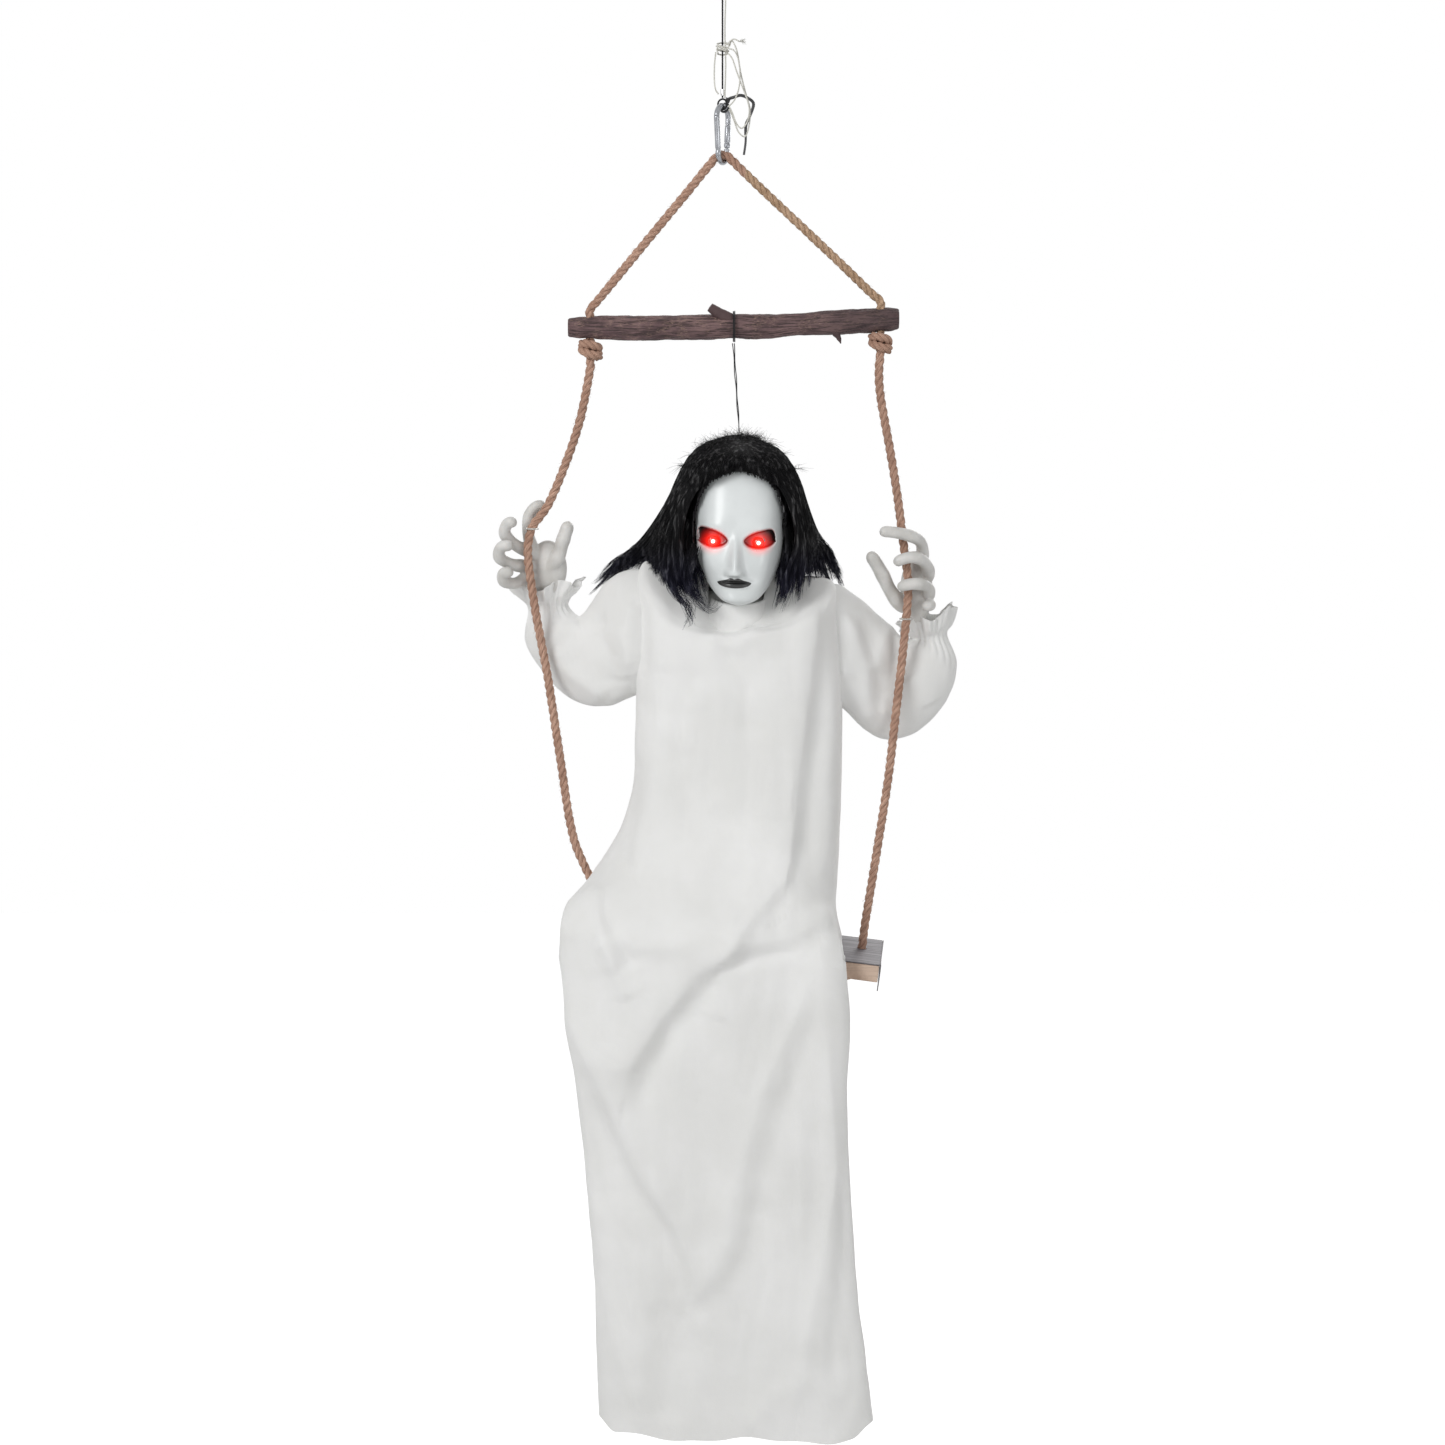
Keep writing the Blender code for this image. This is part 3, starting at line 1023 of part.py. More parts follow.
def gear_tooth(teeth, centre_angle):
    """Outline of one tooth, in rising angle, as points about the gear's axis."""
    pitch = GEAR_MODULE * teeth / 2
    base = pitch * math.cos(math.radians(20))
    root, tip = pitch - 1.2 * GEAR_MODULE, pitch + 0.85 * GEAR_MODULE
    half = math.pi / (2 * teeth) - GEAR_BACKLASH / (2 * pitch)
    at_pitch = involute(math.acos(base / pitch))
    flank = []
    start = max(base, root)
    for number in range(3):
        radius = start + (tip - start) * number / 2
        flank.append((radius, half + at_pitch - involute(math.acos(min(1.0, base / radius)))))
    outline = [(root, flank[0][1] * 1.12)] + flank
    points = [(radius, centre_angle - angle) for radius, angle in outline]
    points += [(radius, centre_angle + angle) for radius, angle in reversed(outline)]
    return [(radius * math.cos(angle), radius * math.sin(angle)) for radius, angle in points]


def add_prism(name, outline, start, end, material):
    """A plate from its outline in the figure frame's Y-Z plane, between two places along X."""
    shape = bmesh.new()
    face = shape.faces.new([shape.verts.new((start, y, z)) for y, z in outline])
    grown = bmesh.ops.extrude_face_region(shape, geom=[face])
    moved = [part for part in grown["geom"] if isinstance(part, bmesh.types.BMVert)]
    bmesh.ops.translate(shape, verts=moved, vec=(end - start, 0, 0))
    return set_on(object_from(name, shape, material), figure_frame())


def add_gear(name, outline, bore, x, y, z, material):
    """A flat gear about an axis along the figure frame's X, with a bore."""
    placed = [(y + a, z + b) for a, b in outline]
    gear = add_prism(name, placed, x - GEAR_WIDTH / 2, x + GEAR_WIDTH / 2, material)
    hole = add_cylinder(name + "_bore", bore, (x - GEAR_WIDTH, y, z), (x + GEAR_WIDTH, y, z), None, 20)
    return combine(gear, set_on(hole, figure_frame()))


def gear_places():
    """Y and Z of the pinion's axis, and the line of centres' angle from +Y."""
    reach = GEAR_MODULE * (PINION_TEETH + SECTOR_TEETH) / 2
    return SHAFT_Y + reach * math.cos(GEAR_LEAN), SHAFT_Z + reach * math.sin(GEAR_LEAN)


def build_drive():
    """Motor with pinion, sector gear, cross shaft, their base and cover, and the kick frame."""
    frame = figure_frame()
    pinion_y, pinion_z = gear_places()
    pitch_angle = math.tau / PINION_TEETH
    outline = []
    for number in range(PINION_TEETH):
        outline += gear_tooth(PINION_TEETH, GEAR_LEAN + math.pi + pitch_angle * (number + 0.5))
    pinion = add_gear("pinion", outline, MOTOR_SHAFT_RADIUS / 2, GEAR_X, pinion_y, pinion_z, GEAR_PLASTIC)
    shaft_start = GEAR_X - GEAR_WIDTH / 2 - MOTOR_LENGTH / 3
    shaft_end = CHEEK_RIGHT_X + CHEEK_THICKNESS / 2
    joined(pinion, set_on(add_cylinder("motor_shaft", MOTOR_SHAFT_RADIUS, (shaft_start, pinion_y, pinion_z),
                                       (shaft_end, pinion_y, pinion_z), None, 16), frame))
    sector_pitch = math.tau / SECTOR_TEETH
    half_count = (SECTOR_TEETH_CUT - 1) / 2
    outline = []
    for number in range(SECTOR_TEETH_CUT):
        outline += gear_tooth(SECTOR_TEETH, GEAR_LEAN + (number - half_count) * sector_pitch)
    edge = GEAR_LEAN + SECTOR_TEETH_CUT * sector_pitch / 2
    for number in range(13):
        angle = edge + math.radians(18) + (math.tau - SECTOR_TEETH_CUT * sector_pitch
                                           - 2 * math.radians(18)) * number / 12
        outline.append((SECTOR_HUB_RADIUS * math.cos(angle), SECTOR_HUB_RADIUS * math.sin(angle)))
    add_gear("sector_gear", outline, SHAFT_RADIUS + GAP, GEAR_X, SHAFT_Y, SHAFT_Z, GEAR_PLASTIC)
    half = SKIRT_HALF_WIDTH - GOWN_WALL - 2 * RUNNING_GAP - GAP
    set_on(add_cylinder("cross_shaft", SHAFT_RADIUS, (SKIRT_X - half, SHAFT_Y, SHAFT_Z),
                        (SKIRT_X + half, SHAFT_Y, SHAFT_Z), ZINC, 20), frame)
    motor_end = GEAR_X - GEAR_WIDTH / 2 - RUNNING_GAP
    motor_start = CHEEK_LEFT_X + CHEEK_THICKNESS / 2 + GAP
    motor = set_on(add_cylinder("leg_motor", MOTOR_RADIUS, (motor_start, pinion_y, pinion_z),
                                (motor_end, pinion_y, pinion_z), ZINC, 28), frame)
    combine(motor, set_on(add_cylinder("motor_bore", MOTOR_SHAFT_RADIUS + GAP,
                                       (shaft_start - GAP, pinion_y, pinion_z),
                                       (motor_end + OVERRUN, pinion_y, pinion_z), None, 16), frame))
    build_drive_base(frame, pinion_y, pinion_z)
    build_kick_frame(frame)


def build_drive_base(frame, pinion_y, pinion_z):
    """Base with two cheeks that stand on the seat and reach over its front edge, and the cover."""
    left, right = CHEEK_LEFT_X - CHEEK_THICKNESS / 2, CHEEK_RIGHT_X + CHEEK_THICKNESS / 2
    front = SHAFT_Y - SECTOR_HUB_RADIUS
    ear_back = front + 1.8 * SECTOR_HUB_RADIUS
    plate_depth = CHEEK_BACK_Y + SEAT_DEPTH / 2 - OVERRUN
    bite = CHEEK_THICKNESS / 3
    base = set_on(add_box("drive_base", (right - left - 2 * bite, plate_depth, 2 * BASE_LIFT),
                          ((left + right) / 2, CHEEK_BACK_Y - bite - plate_depth / 2, 0), GREY_PLASTIC), frame)
    outline = [
        (CHEEK_BACK_Y, CHEEK_TOP_Z), (front, CHEEK_TOP_Z), (front, CHEEK_FOOT_Z),
        (ear_back, CHEEK_FOOT_Z), (ear_back, -BASE_LIFT * 1.2), (CHEEK_BACK_Y, -BASE_LIFT * 1.2),
    ]
    for name, x in (("cheek_left", CHEEK_LEFT_X), ("cheek_right", CHEEK_RIGHT_X)):
        joined(base, add_prism(name, outline, x - CHEEK_THICKNESS / 2, x + CHEEK_THICKNESS / 2, None))
    combine(base, seat_block("base_seat_cut"))
    combine(base, set_on(add_cylinder("base_shaft_bore", SHAFT_RADIUS + RUNNING_GAP / 2,
                                      (2 * left, SHAFT_Y, SHAFT_Z), (2 * right, SHAFT_Y, SHAFT_Z), None, 24),
                         frame))
    combine(base, set_on(add_cylinder("base_motor_bore", MOTOR_SHAFT_RADIUS + RUNNING_GAP / 2,
                                      (0, pinion_y, pinion_z), (2 * right, pinion_y, pinion_z), None, 20),
                         frame))
    wall = CHEEK_THICKNESS / 2
    skirt = SHAFT_Z + SECTOR_HUB_RADIUS
    under = CHEEK_TOP_Z + GAP
    add_prism("drive_cover", [
        (CHEEK_BACK_Y, under + wall), (front - GAP - wall, under + wall), (front - GAP - wall, skirt),
        (front - GAP, skirt), (front - GAP, under), (CHEEK_BACK_Y, under),
    ], left, right, GREY_PLASTIC)


def build_kick_frame(frame):
    """Two shin tubes on the cross shaft and the bar between their feet."""
    bar_z = SHAFT_Z - SHIN_LENGTH + 2 * KICK_BAR_RADIUS
    bar_reach = SHIN_SPREAD - SHIN_RADIUS - GAP
    set_on(add_cylinder("kick_bar", KICK_BAR_RADIUS, (-bar_reach, SHAFT_Y, bar_z),
                        (bar_reach, SHAFT_Y, bar_z), GREY_PLASTIC, 20), frame)
    for name, side in (("left_shin", -1), ("right_shin", 1)):
        x = side * SHIN_SPREAD
        shin = set_on(add_turned(name, [
            (0.0, SHAFT_Z + 1.6 * SHAFT_RADIUS), (0.8 * SHIN_RADIUS, SHAFT_Z + 1.6 * SHAFT_RADIUS),
            (SHIN_RADIUS, SHAFT_Z), (SHIN_RADIUS, SHAFT_Z - SHIN_LENGTH),
            (0.0, SHAFT_Z - SHIN_LENGTH),
        ], (0, 0, 0), (0, 0, 1), GREY_PLASTIC, 24), Matrix())
        shin.matrix_world = frame @ Matrix.Translation((x, SHAFT_Y, 0))
        combine(shin, set_on(add_cylinder(name + "_bore", SHAFT_RADIUS + GAP,
                                          (x - 2 * SHIN_RADIUS, SHAFT_Y, SHAFT_Z),
                                          (x + 2 * SHIN_RADIUS, SHAFT_Y, SHAFT_Z), None, 20), frame))


def rope_place(route, z):
    """Point of a lower rope's route at a height."""
    for upper, lower in zip(route, route[1:]):
        if lower[2] <= z <= upper[2]:
            mix = (z - upper[2]) / (lower[2] - upper[2])
            return Vector(upper).lerp(Vector(lower), mix)
    return Vector(route[0])


def build_hand(name, palm, size, fingers, route):
    """A hand: palm behind the rope, thumb and fingers along their own routes, and the wrist."""
    middle = Vector(palm)
    shape = bmesh.new()
    bmesh.ops.create_uvsphere(shape, u_segments=12, v_segments=8, radius=0.5)
    bmesh.ops.scale(shape, verts=shape.verts, vec=size)
    bmesh.ops.translate(shape, verts=shape.verts, vec=middle)
    hand = object_from(name, shape, GLOVE_PLASTIC)
    hand.data.shade_smooth()
    for number, finger in enumerate(fingers):
        root = middle.lerp(Vector(finger[0]), 0.5)
        points = smooth_route([root] + [Vector(point) for point in finger], FINGER_RADIUS)
        shares = [1.0 - 0.35 * (place / (len(points) - 1)) ** 4 for place in range(len(points))]
        joined(hand, as_mesh(add_tube(f"{name}_finger_{number}", points, FINGER_RADIUS if number else THUMB_RADIUS,
                                      None, 1, radii=shares)))
    joined(hand, add_cylinder(name + "_wrist", WRIST_RADIUS, Vector(route[-1]), middle, None, 20))
    return hand


def build_arms():
    """Arms inside the sleeves, hands on the rope, and the ties that hold them there."""
    for name, rope, tie_z, palm, size, fingers, route in (
        ("left", ROPE_LEFT_ROUTE, LEFT_TIE_Z, LEFT_PALM, LEFT_PALM_SIZE, LEFT_FINGERS, LEFT_ARM_ROUTE),
        ("right", ROPE_RIGHT_ROUTE, RIGHT_TIE_Z, RIGHT_PALM, RIGHT_PALM_SIZE, RIGHT_FINGERS, RIGHT_ARM_ROUTE),
    ):
        hand = build_hand(name + "_hand", palm, size, fingers, route)
        beyond = Vector(route[-1]) - (Vector(route[-2]) - Vector(route[-1])).normalized() * GAP
        combine(hand, as_mesh(add_tube(name + "_hand_socket", smooth_route(route[-3:-1] + (tuple(beyond),),
                                                                          ARM_RADIUS * 2),
                                       ARM_RADIUS + 2 * GAP, None, 3)))
        tie = rope_place(rope, tie_z)
        add_ring(name + "_tie", ROPE_RADIUS + TIE_BAND_RADIUS + 2 * RUNNING_GAP, TIE_BAND_RADIUS, tie,
                 (0, 0, 1), GREY_PLASTIC, 16, 6)
        arm_end = Vector(route[-1]) + (Vector(route[-2]) - Vector(route[-1])).normalized() * GAP
        arm_route = smooth_route(route[:-1] + (tuple(arm_end),), ARM_RADIUS * 2)
        add_tube(name + "_arm", arm_route, ARM_RADIUS, GREY_PLASTIC, 3)


def gown_rings(spread=0.0, sides=GOWN_SIDES, ripples=GOWN_FOLD_SHARES):
    """Rings of the gown's body from its neck to the lap, in the figure frame."""
    frame = figure_frame()
    rings = []
    for number, (height, left, right, front, back, hang, rise, lift) in enumerate(GOWN_SHARES):
        z = GOWN_TOP_Z - SEAT_TOP_Z - height * GOWN_BODY_HEIGHT
        fade = min(1.0, number / 3)
        folds = [(count, size * fade, shift) for count, size, shift in ripples]
        ring = section(left * GOWN_HALF_WIDTH - spread, right * GOWN_HALF_WIDTH + spread,
                       front * GOWN_DEPTH + spread, back * GOWN_DEPTH + spread, sides, 2.6, folds,
                       0.35 * number)
        for point in ring:
            reach = -left if point.x < 0 else right
            shoulder = (abs(point.x) / (reach * GOWN_HALF_WIDTH)) ** 2 * (rise if point.x < 0 else lift)
            hang_share = GOWN_NECK_FRONT_SHARE if point.y < 0 else GOWN_NECK_BACK_SHARE
            point.z = z + hang * hang_share * point.y + shoulder * GOWN_BODY_HEIGHT
        rings.append([frame @ point for point in ring])
    return rings


def armhole(name, route, side):
    """Cutter where an arm leaves the gown."""
    first, second = Vector(route[1]), Vector(route[2])
    direction = (second - first).normalized()
    return add_cylinder(name, GOWN_ARMHOLE_RADIUS, first - direction * GOWN_ARMHOLE_RADIUS,
                        second + direction * GOWN_ARMHOLE_RADIUS, None, 24)


def build_gown():
    """Gown body over the torso and lap, the skirt on the kick frame, and two sleeves."""
    frame = figure_frame()
    body = loft("gown_body", gown_rings(), GOWN_CLOTH, wall=GOWN_WALL)
    for name, route, side in (("left_armhole", LEFT_ARM_ROUTE, -1), ("right_armhole", RIGHT_ARM_ROUTE, 1)):
        combine(body, armhole(name, route, side))
    combine(body, seat_block("gown_seat_cut", 2 * GAP))
    for name, route in (("gown_rope_left", ROPE_LEFT_ROUTE), ("gown_rope_right", ROPE_RIGHT_ROUTE)):
        x = math.copysign(SEAT_HOLE_OFFSET, route[0][0])
        foot = [on_seat(x, SEAT_HOLE_BACK, z) for share, z in UNDER_SEAT_ROUTE[:2]]
        down = smooth_route([Vector(point) for point in route[-3:]] + foot, ROPE_RADIUS * 6)
        combine(body, as_mesh(add_tube(name, down, ROPE_RADIUS + 2 * RUNNING_GAP, None, 3)))
    rings = []
    steps = 6
    for number in range(steps):
        share = number / (steps - 1)
        ring = []
        outer = section(-SKIRT_HALF_WIDTH, SKIRT_HALF_WIDTH, SKIRT_FRONT, SKIRT_BACK, GOWN_SIDES, 3.2)
        for side, point in enumerate(outer):
            angle = math.tau * side / GOWN_SIDES
            rise = max(0.0, -point.y) * 0.30 + RUNNING_GAP * 6
            fold = SKIRT_FOLD * share * math.sin(9 * angle + 2.2 * share)
            lean = SKIRT_HALF_WIDTH * SKIRT_LEAN_SHARE * share
            narrow = 1.0 - 0.03 * share - 0.06 * math.sin(math.pi * share)
            spread = 1.0 + 0.25 * share
            z = SHAFT_Z - rise - share * (SKIRT_LENGTH - rise)
            y = SHAFT_Y + point.y * spread
            if point.y < 0:
                y += fold
            ring.append(frame @ Vector((SKIRT_X + point.x * narrow + lean, y, z)))
        rings.append(ring)
    loft("gown_skirt", rings, GOWN_CLOTH, wall=GOWN_WALL)
    for name, ends in (("left_sleeve", LEFT_SLEEVE_ENDS), ("right_sleeve", RIGHT_SLEEVE_ENDS)):
        sleeve = loft(name, sleeve_rings(ends), GOWN_CLOTH, wall=GOWN_WALL)
        combine(sleeve, loft(name + "_gown_cut", gown_rings(GAP * 2), None, closed_ends=True))


def sleeve_rings(ends):
    """Rings of a sleeve from each ring's top and bottom point and its depth to each side."""
    rings = []
    sides = 18
    for number, (top, bottom, depth) in enumerate(ends):
        top, bottom = Vector(top), Vector(bottom)
        middle, width_way = (top + bottom) / 2, (top - bottom) / 2
        ring = []
        for side in range(sides):
            angle = math.tau * side / sides
            ruffle = 1.0
            if number >= len(ends) - 2:
                ruffle += SLEEVE_RUFFLE_SHARE * math.sin(8 * angle)
            ring.append(middle + width_way * (ruffle * math.cos(angle))
                        + Vector((0, depth * ruffle * math.sin(angle), 0)))
        rings.append(ring)
    return rings


def head_rings(inset=0.0, sides=20):
    """Rings of the head from crown to chin."""
    rings = []
    for height, half, front, back in HEAD_SHARES:
        z = HEAD_TOP_Z - height * HEAD_HEIGHT
        if inset > 0:
            z = min(max(z, HEAD_TOP_Z - HEAD_HEIGHT + inset), HEAD_TOP_Z - inset)
        elif height in (HEAD_SHARES[0][0], HEAD_SHARES[-1][0]):
            z -= inset if height == HEAD_SHARES[0][0] else -inset
        middle = (front + back) / 2 * HEAD_DEPTH
        reach = (back - front) / 2 * HEAD_DEPTH - inset
        half_width = half * HEAD_HALF_WIDTH - inset
        ring = section(-half_width, half_width, reach, reach, sides, 2.1)
        rings.append([Vector((HEAD_X, middle, z)) + point for point in ring])
    return rings


def build_head():
    """Mask and skull shells, lit eyes behind lenses, and the wig."""
    size = 2 * HEAD_HEIGHT
    hollow = loft("head_hollow", head_rings(HEAD_WALL), None, closed_ends=True)
    neck = add_cylinder("skull_neck_hole", NECK_RADIUS + RUNNING_GAP, (NECK_X, NECK_Y, TORSO_TOP_Z),
                        (NECK_X, NECK_Y, NECK_TOP_Z), None, 28)
    mask = loft("face_mask", head_rings(), WHITE_PLASTIC, closed_ends=True)
    build_features(mask)
    combine(mask, hollow)
    combine(mask, add_box("mask_split", (size, size, 2 * size),
                          (HEAD_X, MASK_BACK_Y - GAP / 2 + size / 2, HEAD_TOP_Z), None))
    skull = loft("skull_back", head_rings(), WHITE_PLASTIC, closed_ends=True)
    combine(skull, hollow)
    combine(skull, add_box("skull_split", (size, size, 2 * size),
                           (HEAD_X, MASK_BACK_Y + GAP / 2 - size / 2, HEAD_TOP_Z), None))
    combine(skull, neck)
    face_y = -HEAD_DEPTH * 0.93
    for name, side in (("left_eye_lens", -1), ("right_eye_lens", 1)):
        x = HEAD_X + side * EYE_SPREAD
        combine(mask, add_cylinder(name + "_hole", EYE_RADIUS, (x, face_y - 4 * OVERRUN, EYE_Z),
                                   (x, face_y + 6 * OVERRUN, EYE_Z), None, 24))
        lens = EYE_RADIUS - GAP
        add_turned(name, [
            (0.0, LENS_DEPTH), (lens * 0.6, LENS_DEPTH * 0.85), (lens, LENS_DEPTH * 0.4),
            (lens, 0.0), (0.0, 0.0),
        ], (x, eye_seat(), EYE_Z), (0, -1, 0), RED_LENS, 24)
    board_y = eye_seat() + GAP
    led = BOARD_THICKNESS * 6
    unit = add_box("eye_light_unit", (2 * EYE_SPREAD + EYE_RADIUS, BOARD_THICKNESS, EYE_RADIUS),
                   (HEAD_X, board_y + led + BOARD_THICKNESS / 2, EYE_Z), CIRCUIT)
    for side in (-1, 1):
        x = HEAD_X + side * EYE_SPREAD
        joined(unit, add_cylinder(f"led_{side + 1}", EYE_RADIUS / 3, (x, board_y, EYE_Z),
                                  (x, board_y + led + BOARD_THICKNESS / 2, EYE_Z), None, 16))
    build_wig()


def eye_seat():
    """Y of the back of the eye lenses."""
    return -HEAD_DEPTH * 0.80


def build_features(mask):
    """Nose and lips on the mask."""
    for name, share, reach, size in (
        ("nose", 0.725, 0.985, (0.20, 0.26, 0.36)),
        ("lips", 0.855, 1.000, (0.48, 0.20, 0.15)),
        ("chin", 0.955, 0.930, (0.40, 0.22, 0.18)),
    ):
        shape = bmesh.new()
        bmesh.ops.create_uvsphere(shape, u_segments=10, v_segments=6, radius=0.5)
        bmesh.ops.scale(shape, verts=shape.verts, vec=[HEAD_HALF_WIDTH * part for part in size])
        bmesh.ops.translate(shape, verts=shape.verts,
                            vec=(HEAD_X, -HEAD_DEPTH * reach, HEAD_TOP_Z - share * HEAD_HEIGHT))
        joined(mask, object_from("mask_" + name, shape, None))


def build_wig():
    """Wig: a closed mass over the head, open at the face and round the neck."""
    rings = []
    for number, (height, left, right, front, back) in enumerate(WIG_SHARES):
        middle = (front + back) / 2 * WIG_DEPTH
        reach = (back - front) / 2 * WIG_DEPTH
        ring = section(-left * WIG_HALF_WIDTH, right * WIG_HALF_WIDTH, reach, reach, 28, 2.2,
                       [(7, 0.03, 0.0), (11, 0.02, 1.0)] if number else [], 0.5 * number)
        z = WIG_TOP_Z - height * WIG_HEIGHT
        rings.append([Vector((HEAD_X, middle, z)) + point for point in ring])
    wig = loft("wig", rings, HAIR, closed_ends=True)
    combine(wig, loft("wig_head_cut", head_rings(-2 * GAP), None, closed_ends=True))
    outline = section(-FACE_OPENING_HALF_WIDTH, FACE_OPENING_HALF_WIDTH, FACE_OPENING_HALF_HEIGHT,
                      FACE_OPENING_HALF_HEIGHT, 28, 2.3)
    opening = [[Vector((HEAD_X + point.x, y, FACE_OPENING_Z + point.y)) for point in outline]
               for y in (-WIG_DEPTH, MASK_BACK_Y * 0.8)]
    combine(wig, loft("wig_face_cut", opening, None, closed_ends=True))
    combine(wig, add_cylinder("wig_neck_cut", HEAD_HALF_WIDTH * 0.98,
                              (HEAD_X, NECK_Y, WIG_TOP_Z - WIG_HEIGHT - OVERRUN),
                              (HEAD_X, NECK_Y, HEAD_TOP_Z - HEAD_HEIGHT * 0.62), None, 28))


def build_crown_string():
    """The string between the branch and the wig's crown."""
    centre, radius = branch_point((HEAD_STRING_X - BRANCH_X) / BRANCH_LENGTH)
    loop = radius * 1.08 + HEAD_STRING_RADIUS + RUNNING_GAP
    top = Vector((HEAD_STRING_X, 0, centre.z - loop - HEAD_STRING_RADIUS - GAP))
    end = Vector((HEAD_X, 0, WIG_TOP_Z + GAP))
    add_cylinder("head_string", HEAD_STRING_RADIUS, end, top, BLACK_PLASTIC, 10)


def build_all():
    """Builds every piece."""
    start_scene()
    build_ceiling_fitting()
    build_line()
    build_white_cord()
    build_carabiner()
    build_branch()
    build_ropes()
    build_head_string()
    build_seat()
    build_torso()
    build_electronics()
    build_drive()
    build_arms()
    build_gown()
    build_head()
    build_crown_string()


build_all()
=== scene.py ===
"""Looks of the hanging ghost figure on its rope swing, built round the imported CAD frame."""
import random
from math import ceil, copysign, cos, dist, exp, hypot, pi, radians, sin, sqrt, tan, tau

import bmesh
import bpy
import numpy
from mathutils import Matrix, Vector, noise


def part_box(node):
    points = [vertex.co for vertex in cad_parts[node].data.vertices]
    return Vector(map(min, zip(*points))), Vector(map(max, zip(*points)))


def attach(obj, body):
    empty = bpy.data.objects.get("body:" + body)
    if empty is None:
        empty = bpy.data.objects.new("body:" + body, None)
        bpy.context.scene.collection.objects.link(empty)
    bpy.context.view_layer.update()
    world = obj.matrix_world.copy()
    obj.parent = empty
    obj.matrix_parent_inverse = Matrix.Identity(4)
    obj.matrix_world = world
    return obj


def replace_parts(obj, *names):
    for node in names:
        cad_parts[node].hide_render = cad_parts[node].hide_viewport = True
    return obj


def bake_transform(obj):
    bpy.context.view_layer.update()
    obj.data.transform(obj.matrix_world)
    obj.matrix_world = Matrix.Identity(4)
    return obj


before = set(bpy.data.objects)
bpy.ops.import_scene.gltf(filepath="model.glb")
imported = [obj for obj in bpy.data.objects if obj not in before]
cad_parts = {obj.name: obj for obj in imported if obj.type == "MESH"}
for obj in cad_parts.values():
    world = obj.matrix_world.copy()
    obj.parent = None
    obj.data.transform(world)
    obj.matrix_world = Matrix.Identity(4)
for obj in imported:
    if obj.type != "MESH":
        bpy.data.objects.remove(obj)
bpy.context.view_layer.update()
SCENE = bpy.context.scene
SCENE.view_settings.view_transform = "Standard"
PIECES = bpy.data.collections.new("pieces")
SCENE.collection.children.link(PIECES)


def thousandths(value):
    """A table in metres and whole shares from one written in millimetres and thousandths."""
    return tuple(thousandths(item) for item in value) if isinstance(value, tuple) else value / 1000


def rough_at(x, y, z):
    """Smooth noise at a place."""
    return noise.noise(Vector((x, y, z)))


# Camera, light and floor
def add_camera():
    """The camera at the photograph's distance, height and tilt."""
    lens = bpy.data.cameras.new("camera")
    lens.sensor_width = 36.0
    lens.lens = 78.01
    camera = bpy.data.objects.new("camera", lens)
    PIECES.objects.link(camera)
    camera.location = (0.0, -4.2, -0.55)
    towards = Vector((0.0, 0.0, -1.0294)) - camera.location
    camera.rotation_euler = towards.to_track_quat("-Z", "Y").to_euler()
    SCENE.camera = camera


def node(tree, kind, inputs=None, **settings):
    """A shader node with its settings and its inputs, each a value or a socket to link."""
    made = tree.nodes.new("ShaderNode" + kind)
    for name, value in settings.items():
        setattr(made, name, value)
    for name, value in (inputs or {}).items():
        if isinstance(value, bpy.types.NodeSocket):
            tree.links.new(value, made.inputs[name])
        else:
            made.inputs[name].default_value = value
    return made


def math_node(tree, operation, *values, clamp=False):
    """Result socket of a Math node."""
    return node(tree, "Math", dict(enumerate(values)), operation=operation, use_clamp=clamp).outputs[0]


def mixed(tree, share, low, high):
    """Colour socket between two colours."""
    made = node(tree, "Mix", {0: share, 6: low, 7: high}, data_type="RGBA")
    return made.outputs[2]


def stepped(tree, value, low, high, to_low=0.0, to_high=1.0):
    """A value mapped smoothly from one range to another."""
    return node(tree, "MapRange", {0: value, 1: low, 2: high, 3: to_low, 4: to_high},
            interpolation_type="SMOOTHSTEP").outputs[0]


def light_for_camera(tree, seen, unseen):
    """A value that differs for what the camera, a mirror or a lens sees."""
    path = node(tree, "LightPath")
    either = math_node(tree, "MAXIMUM", path.outputs["Is Camera Ray"], path.outputs["Is Glossy Ray"])
    either = math_node(tree, "MAXIMUM", either, path.outputs["Is Transmission Ray"])
    return math_node(tree, "MULTIPLY_ADD", either, seen - unseen, unseen)


def add_lamp(name, place, target, width, height, power):
    """A soft box that faces its target."""
    lamp = bpy.data.lights.new(name, "AREA")
    lamp.shape = "RECTANGLE"
    lamp.size, lamp.size_y, lamp.energy = width, height, power
    item = bpy.data.objects.new(name, lamp)
    PIECES.objects.link(item)
    item.location = place
    item.rotation_euler = (Vector(target) - Vector(place)).to_track_quat("-Z", "Y").to_euler()


